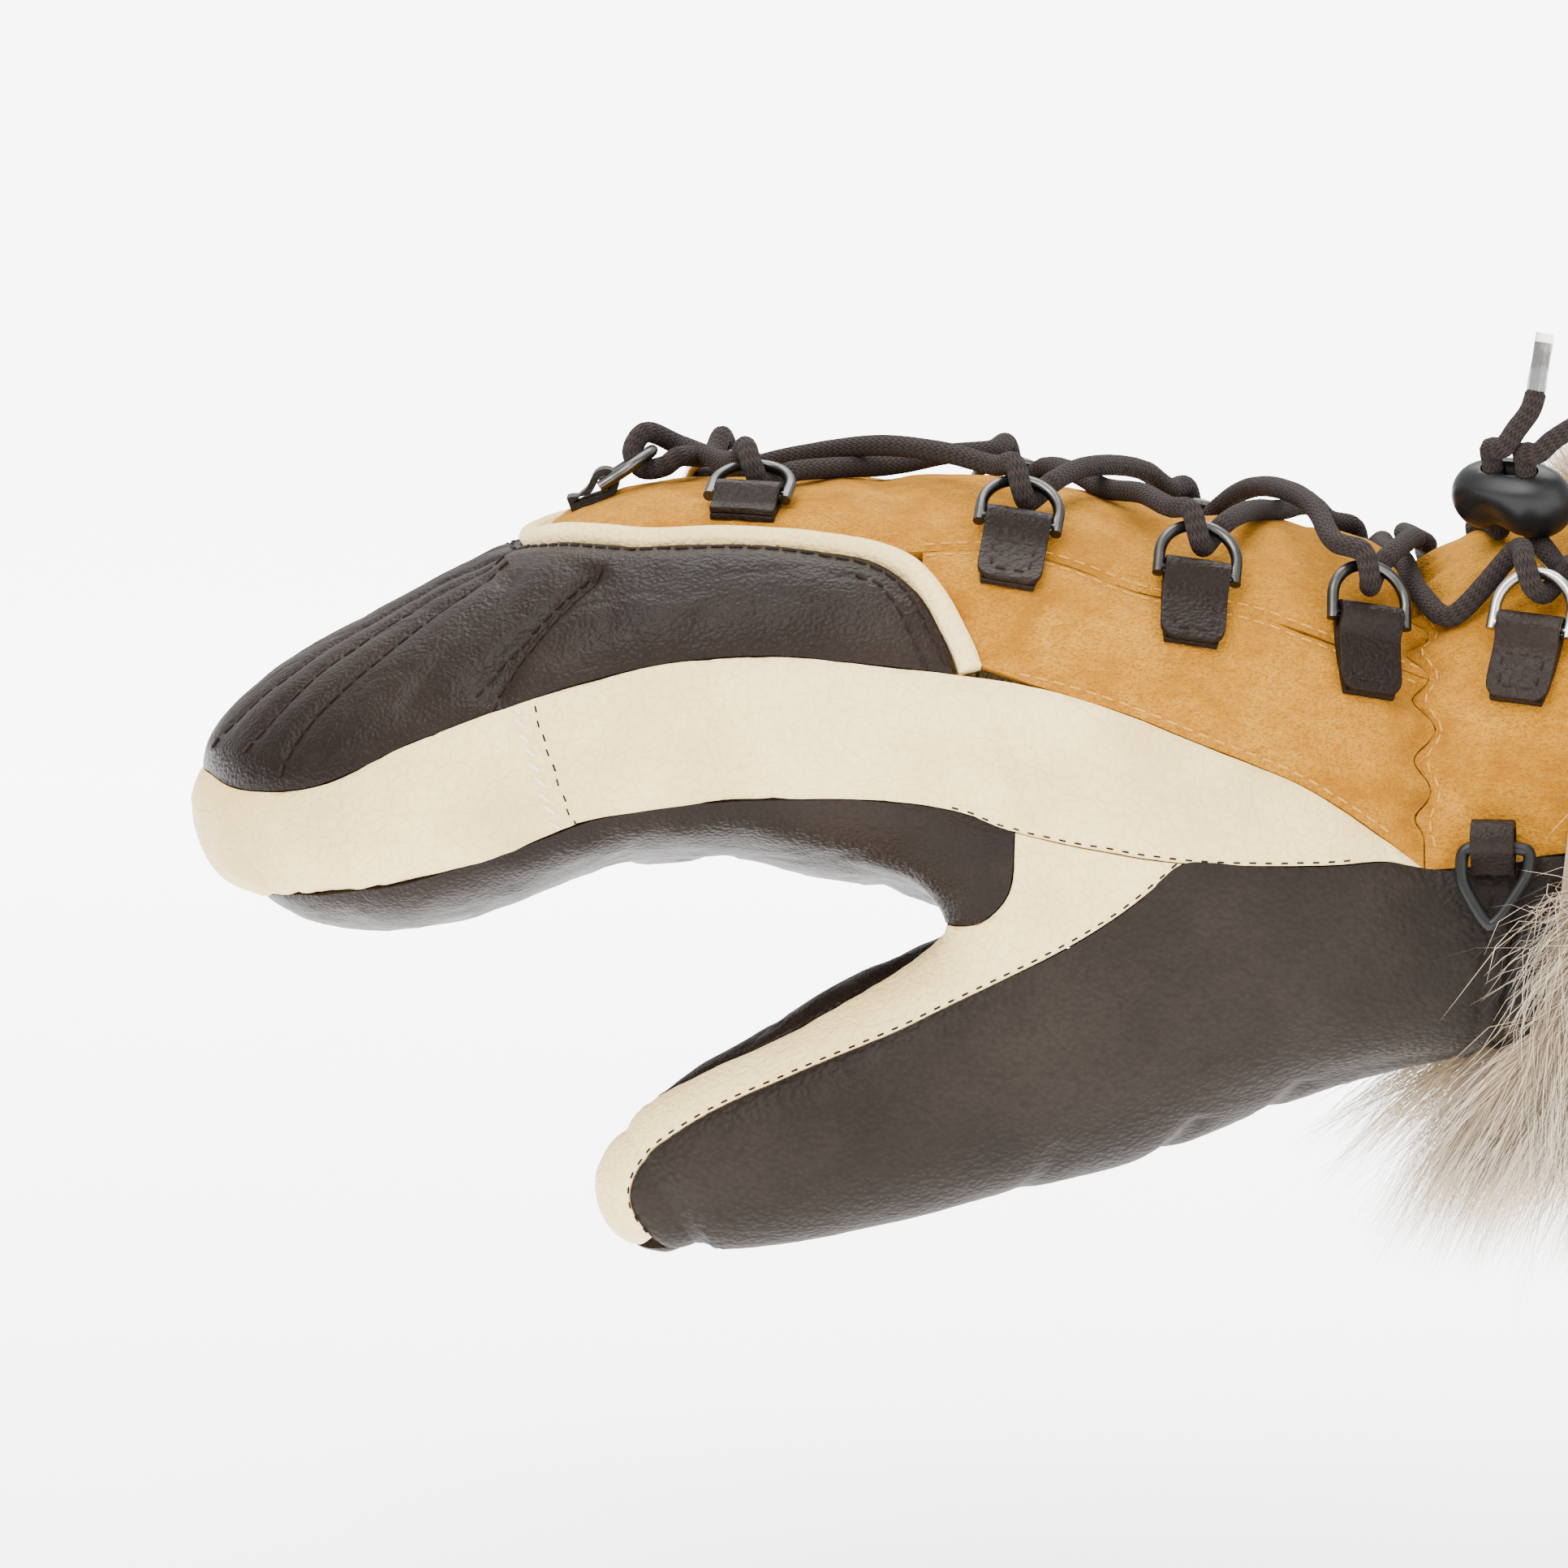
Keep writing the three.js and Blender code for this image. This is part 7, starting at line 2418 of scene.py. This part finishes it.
@dataclass
class Fur:
    """Fur trim round the mouth: a hide band, a fleece facing and two coats of hair.

    Hair between the swept turns leans back off the suede and the hang loop. None passes the mouth or
    the low limit by more than a little: each limit is where hair starts to be held, and its room.
    """

    turns: int = 96
    rows: int = 14
    top_x: float = -43.0
    low_x: float = -57.0
    rear_x: float = -1.0
    top_hair: float = 21.0
    extra_low_hair: float = 20.0
    hairs: int = 12400
    tufts: int = 210
    swept: tuple[float, float] = (8.0, 109.0)
    swept_fade: tuple[float, float] = (22.0, 14.0)
    mouth_limit: tuple[float, float] = (6.0, 9.0)
    low_limit: tuple[float, float] = (84.0, 12.0)
    dark_turns: tuple[float, float] = (98.0, 142.0)
    dark_share: float = 0.42

    def __post_init__(self) -> None:
        """Cast the band's surface."""
        turns = np.linspace(0, 360, self.turns + 1)
        self.surface = np.array([[FORM.on_hand(float(self.front(t) + (self.rear_x - self.front(t)) * s), t)
                                  for s in np.linspace(0, 1, self.rows + 1)] for t in turns])
        flat = self.surface.reshape(-1, 3)
        self.normals = FORM.normal(flat).reshape(self.surface.shape)

    @staticmethod
    def lowness(turn: Array) -> Array:
        """Return how far under the wrist a place is, from nought to one."""
        return (1 - np.cos(np.radians(turn))) / 2

    def front(self, turn: Array) -> Array:
        """Return the band's front edge."""
        return self.top_x + (self.low_x - self.top_x) * self.lowness(turn)

    def reach(self, turn: Array) -> Array:
        """Return the hair's length round the mouth."""
        return self.top_hair + self.extra_low_hair * self.lowness(turn) ** 1.3

    def swept_back(self, turn: Array) -> Array:
        """Return how far hair at a turn is combed back, from nought to one."""
        (start, end), (rise, fall) = self.swept, self.swept_fade
        return smooth((turn - start) / rise) * smooth((end - turn) / fall)

    @staticmethod
    def held(value: Array, limit: tuple[float, float]) -> Array:
        """Return values eased so that none passes a limit's start by more than its room."""
        start, room = limit
        return np.where(value > start, start + room * (1 - np.exp(-(value - start) / room)), value)

    def root(self, turn: Array, share: Array) -> tuple[Array, Array]:
        """Return places on the band by bilinear lookup.

        Args:
            turn: Turns round the mouth.
            share: Shares of the way from the front edge to the rear one.

        Returns:
            The surface points and their normals.
        """
        a, b = turn / 360 * self.turns, share * self.rows
        i, j = np.minimum(a.astype(int), self.turns - 1), np.minimum(b.astype(int), self.rows - 1)
        s, t = (a - i)[:, None], (b - j)[:, None]
        point, normal = ((grid[i, j] * (1 - s) + grid[i + 1, j] * s) * (1 - t)
                         + (grid[i, j + 1] * (1 - s) + grid[i + 1, j + 1] * s) * t
                         for grid in (self.surface, self.normals))
        return point, unit(normal)

    def band(self, name: str, profiles: Sequence[Array]) -> bpy.types.Object:
        """Build a closed band round the mouth.

        Args:
            name: Name of the piece.
            profiles: Closed outline at each of the even turns.

        Returns:
            The band.
        """
        sides, count = len(profiles[0]), len(profiles)
        faces = [(i * sides + k, i * sides + (k + 1) % sides, (i + 1) % count * sides + (k + 1) % sides,
                  (i + 1) % count * sides + k) for i in range(count) for k in range(sides)]
        obj = mesh_object(name, np.concatenate(profiles), faces, np.full((count * sides, 2), 0.12))
        activate(obj)
        bpy.ops.object.mode_set(mode="EDIT")
        bpy.ops.mesh.select_all(action="SELECT")
        bpy.ops.mesh.normals_make_consistent(inside=False)
        bpy.ops.object.mode_set(mode="OBJECT")
        soften(obj, 60)
        return obj

    def hide(self, finishes: Finishes) -> None:
        """Build the band that the hair grows from."""
        profiles = []
        for turn in np.linspace(0, 360, self.turns, endpoint=False):
            shares = np.linspace(0, 1, 12)
            p, n = self.root(np.full(12, turn), shares)
            swell = 1.4 + 2.2 * np.sin(np.pi * shares) ** 0.5 + 0.5 * NOISE(p, 5, 2)
            profiles.append(np.concatenate([p + n * 0.9, (p + n * swell[:, None])[::-1]]))
        hand_over(self.band("fur_hide", profiles), [finishes.fur], Slot.FUR, "fur_trim")

    def lining(self, finishes: Finishes) -> None:
        """Build the fleece facing inside the mouth."""
        profiles = []
        places = np.linspace(MOUTH_X - 0.8, LINING_X, 26)
        for turn in np.linspace(0, 360, self.turns, endpoint=False):
            p = np.array([FORM.on_hand(float(x), float(turn)) for x in places])
            n = FORM.normal(p)
            depth = 3.7 + 0.45 * NOISE(p, 4, 2) + 0.5 * NOISE(p, 19, 1)
            depth[0], depth[-1] = 2.9, 2.8
            profiles.append(np.concatenate([p - n * 2.4, (p - n * depth[:, None])[::-1]]))
        hand_over(self.band("fleece_lining", profiles), [finishes.fleece], Slot.FUR)

    def coat(self, name: str, seed: int, guard: float, finishes: Finishes) -> None:
        """Build one coat of hair in drifting tufts.

        Args:
            name: Name of the piece.
            seed: Seed of the draws.
            guard: Share of longer stray hairs.
            finishes: The finishes.
        """
        draw, count = np.random.default_rng(seed), self.hairs
        turn = draw.uniform(0, 359.99, count)
        share = draw.uniform(0, 1, count) ** 1.15
        root, normal = self.root(turn, share)
        stray = draw.uniform(0, 1, count) < guard
        swept = self.swept_back(turn)
        length = self.reach(turn) * draw.uniform(0.62, 1.05, count) * (1 - 0.15 * share) * (1 - 0.2 * swept)
        length = length * np.where(stray, 1.16, 1)
        tuft_turn, tuft_share = draw.uniform(0, 359.99, self.tufts), draw.uniform(0, 1, self.tufts)
        tuft_root, tuft_normal = self.root(tuft_turn, tuft_share)
        near = np.argmin(((root[:, None] - tuft_root[None]) ** 2).sum(-1), axis=1)
        lean = -0.55 - 0.4 * self.lowness(turn) + 0.8 * share
        lean = lerp(lean, 0.75, swept)
        tuft_sway = draw.normal(0, 0.3, (self.tufts, 3))
        heading = unit(normal + np.stack([lean, np.zeros(count), np.zeros(count)], 1) + tuft_sway[near]
                       + draw.normal(0, np.where(stray, 0.35, 0.13)[:, None], (count, 3)))
        heading = unit(heading + normal * np.maximum(0.25 - (heading * normal).sum(-1), 0)[:, None])
        droop = 0.28 * length * (1 - 0.3 * np.abs(normal[:, 2]))
        tuft_lean = tuft_root + unit(tuft_normal + tuft_sway * 0.8) * self.reach(tuft_turn)[:, None] * 0.85
        tuft_lean[:, 0] += lerp(-0.4, 0.5, self.swept_back(tuft_turn)) * self.reach(tuft_turn)
        curl = unit(np.cross(heading, draw.normal(0, 1, (count, 3))))
        rings = []
        places = (0.0, 0.3, 0.63, 1.0)
        for s in places:
            p = root + normal * 1.0 + heading * (length * s)[:, None]
            p[:, 2] -= droop * s ** 2.2
            p += curl * (np.sin(s * math.pi * 1.4) * length * 0.07)[:, None]
            pull = np.where(stray, 0.05, 0.36)[:, None] * s ** 1.8
            p = p * (1 - pull) + (tuft_lean[near] + (p - root) * 0.15) * pull
            p[:, 0] = self.held(p[:, 0], self.mouth_limit)
            p[:, 2] = -self.held(-p[:, 2], self.low_limit)
            rings.append(p)
        rings = np.array(rings)
        along = unit(rings[-1] - rings[0])
        side = unit(np.cross(along, draw.normal(0, 1, (count, 3))))
        points, faces = self.strands(rings, side, np.cross(along, side), draw.uniform(0.06, 0.115, count))
        hue = draw.uniform(0, 1, count)
        first, last = self.dark_turns
        shaded = (turn > first) & (turn < last) & (draw.uniform(0, 1, count) < self.dark_share)
        hue = np.where(shaded, 0.97, hue)
        uv = np.stack([np.repeat(hue, 10), np.tile([*np.repeat(places[:3], 3), 1.0], count)], axis=1)
        hand_over(mesh_object(name, points, faces, uv), [finishes.fur], Slot.FUR)

    @staticmethod
    def strands(rings: Array, side: Array, other: Array, thick: Array) -> tuple[Array, list[tuple[int, ...]]]:
        """Return hairs of three sides that run to a point.

        Args:
            rings: Four places along each hair.
            side: A direction across each hair.
            other: The direction across both.
            thick: Radius of each hair at its root.

        Returns:
            Their points and faces.
        """
        count = len(thick)
        size = (1.0, 0.85, 0.5)
        points = np.empty((count, 10, 3))
        for r in range(3):
            for k in range(3):
                angle = 2 * math.pi * k / 3
                offset = side * math.cos(angle) + other * math.sin(angle)
                points[:, r * 3 + k] = rings[r] + offset * (thick * size[r])[:, None]
        points[:, 9] = rings[3]
        faces = [(r * 3 + k, r * 3 + (k + 1) % 3, r * 3 + 3 + (k + 1) % 3, r * 3 + 3 + k)
                 for r in range(2) for k in range(3)] + [(6 + k, 6 + (k + 1) % 3, 9) for k in range(3)]
        all_faces = [tuple(10 * i + v for v in face) for i in range(count) for face in (*faces, (2, 1, 0))]
        return points.reshape(-1, 3), all_faces

    def build(self, finishes: Finishes) -> None:
        """Build the hide, the facing and both coats."""
        self.hide(finishes)
        self.lining(finishes)
        self.coat("fur_under_coat", 3, 0.03, finishes)
        self.coat("fur_top_coat", 5, 0.12, finishes)


# Studio

@dataclass(frozen=True)
class Studio:
    """Camera at the photographed angle, soft lights and a pale floor."""

    elevation: float = 5.0
    distance: float = 1800.0
    target: tuple[float, float, float] = (-180.0, 0.0, -0.8)
    view_width: float = 266.6
    sensor: float = 36.0
    floor: float = -140.0

    def camera(self) -> None:
        """Make the camera."""
        angle = math.radians(self.elevation)
        data = bpy.data.cameras.new("camera")
        data.sensor_width = self.sensor
        data.lens = self.sensor * self.distance / self.view_width
        data.clip_end = 50
        camera = bpy.data.objects.new("camera", data)
        back = Vector((0, -math.cos(angle), math.sin(angle)))
        camera.location = (Vector(self.target) + back * self.distance) * MM
        camera.rotation_euler = (math.pi / 2 - angle, 0, 0)
        bpy.context.scene.collection.objects.link(camera)
        bpy.context.scene.camera = camera

    def light(self, name: str, place: tuple[float, float, float], size: float, power: float) -> None:
        """Make one soft square light that faces the mitten.

        Args:
            name: Its name.
            place: Where it stands, in metres.
            size: Its width in metres.
            power: Its power in watts.
        """
        data = bpy.data.lights.new(name, "AREA")
        data.shape = "SQUARE"
        data.size = size
        data.energy = power
        lamp = bpy.data.objects.new(name, data)
        lamp.location = place
        aim = Vector((-0.15, 0, 0)) - Vector(place)
        lamp.rotation_euler = aim.to_track_quat("-Z", "Y").to_euler()
        bpy.context.scene.collection.objects.link(lamp)

    def build(self) -> None:
        """Make the lights, the sky and the floor."""
        self.light("key_light", (-0.7, -1.1, 1.3), 1.1, 58)
        self.light("fill_light", (0.9, -1.3, 0.5), 1.4, 22)
        self.light("top_light", (-0.1, 0.5, 1.5), 1.4, 50)
        world = bpy.data.worlds.new("studio_sky")
        world.use_nodes = True
        world.node_tree.nodes["Background"].inputs["Color"].default_value = (1, 1, 1, 1)
        world.node_tree.nodes["Background"].inputs["Strength"].default_value = 1.5
        bpy.context.scene.world = world
        deselect()
        bpy.ops.mesh.primitive_plane_add(size=90, location=(0, 0, self.floor * MM))
        floor = bpy.context.object
        floor.name = "studio_floor"
        g = Graph("pale_floor")
        tone = g.ramp(g.noise(3, 2), ((0.3, (0.93, 0.93, 0.93)), (0.7, (0.95, 0.95, 0.95))))
        behind = g.node("ShaderNodeSeparateXYZ", {}, {0: g.coords.outputs["Object"]}).outputs[1]
        g.shade(Base_Color=tone, Roughness=0.9, Emission_Color=rgba((1, 1, 1)),
                Emission_Strength=g.spread(behind, 0.0, 1.6, 2.2, 6.5))
        floor.data.materials.append(g.material)
        settle_transform(floor)


def main() -> None:
    """Build the mitten piece by piece."""
    logging.basicConfig(level=logging.INFO, format="%(name)s: %(message)s")
    studio = Studio()
    studio.camera()
    finishes = Finishes()
    layout = Layout()
    Lacing(layout).build(finishes)
    upper = Upper(Shell(), finishes)
    upper.build()
    Hardware(layout, finishes).build()
    Sewing(upper).build(finishes, layout)
    Fur().build(finishes)
    studio.build()


if __name__ == "__main__":
    main()
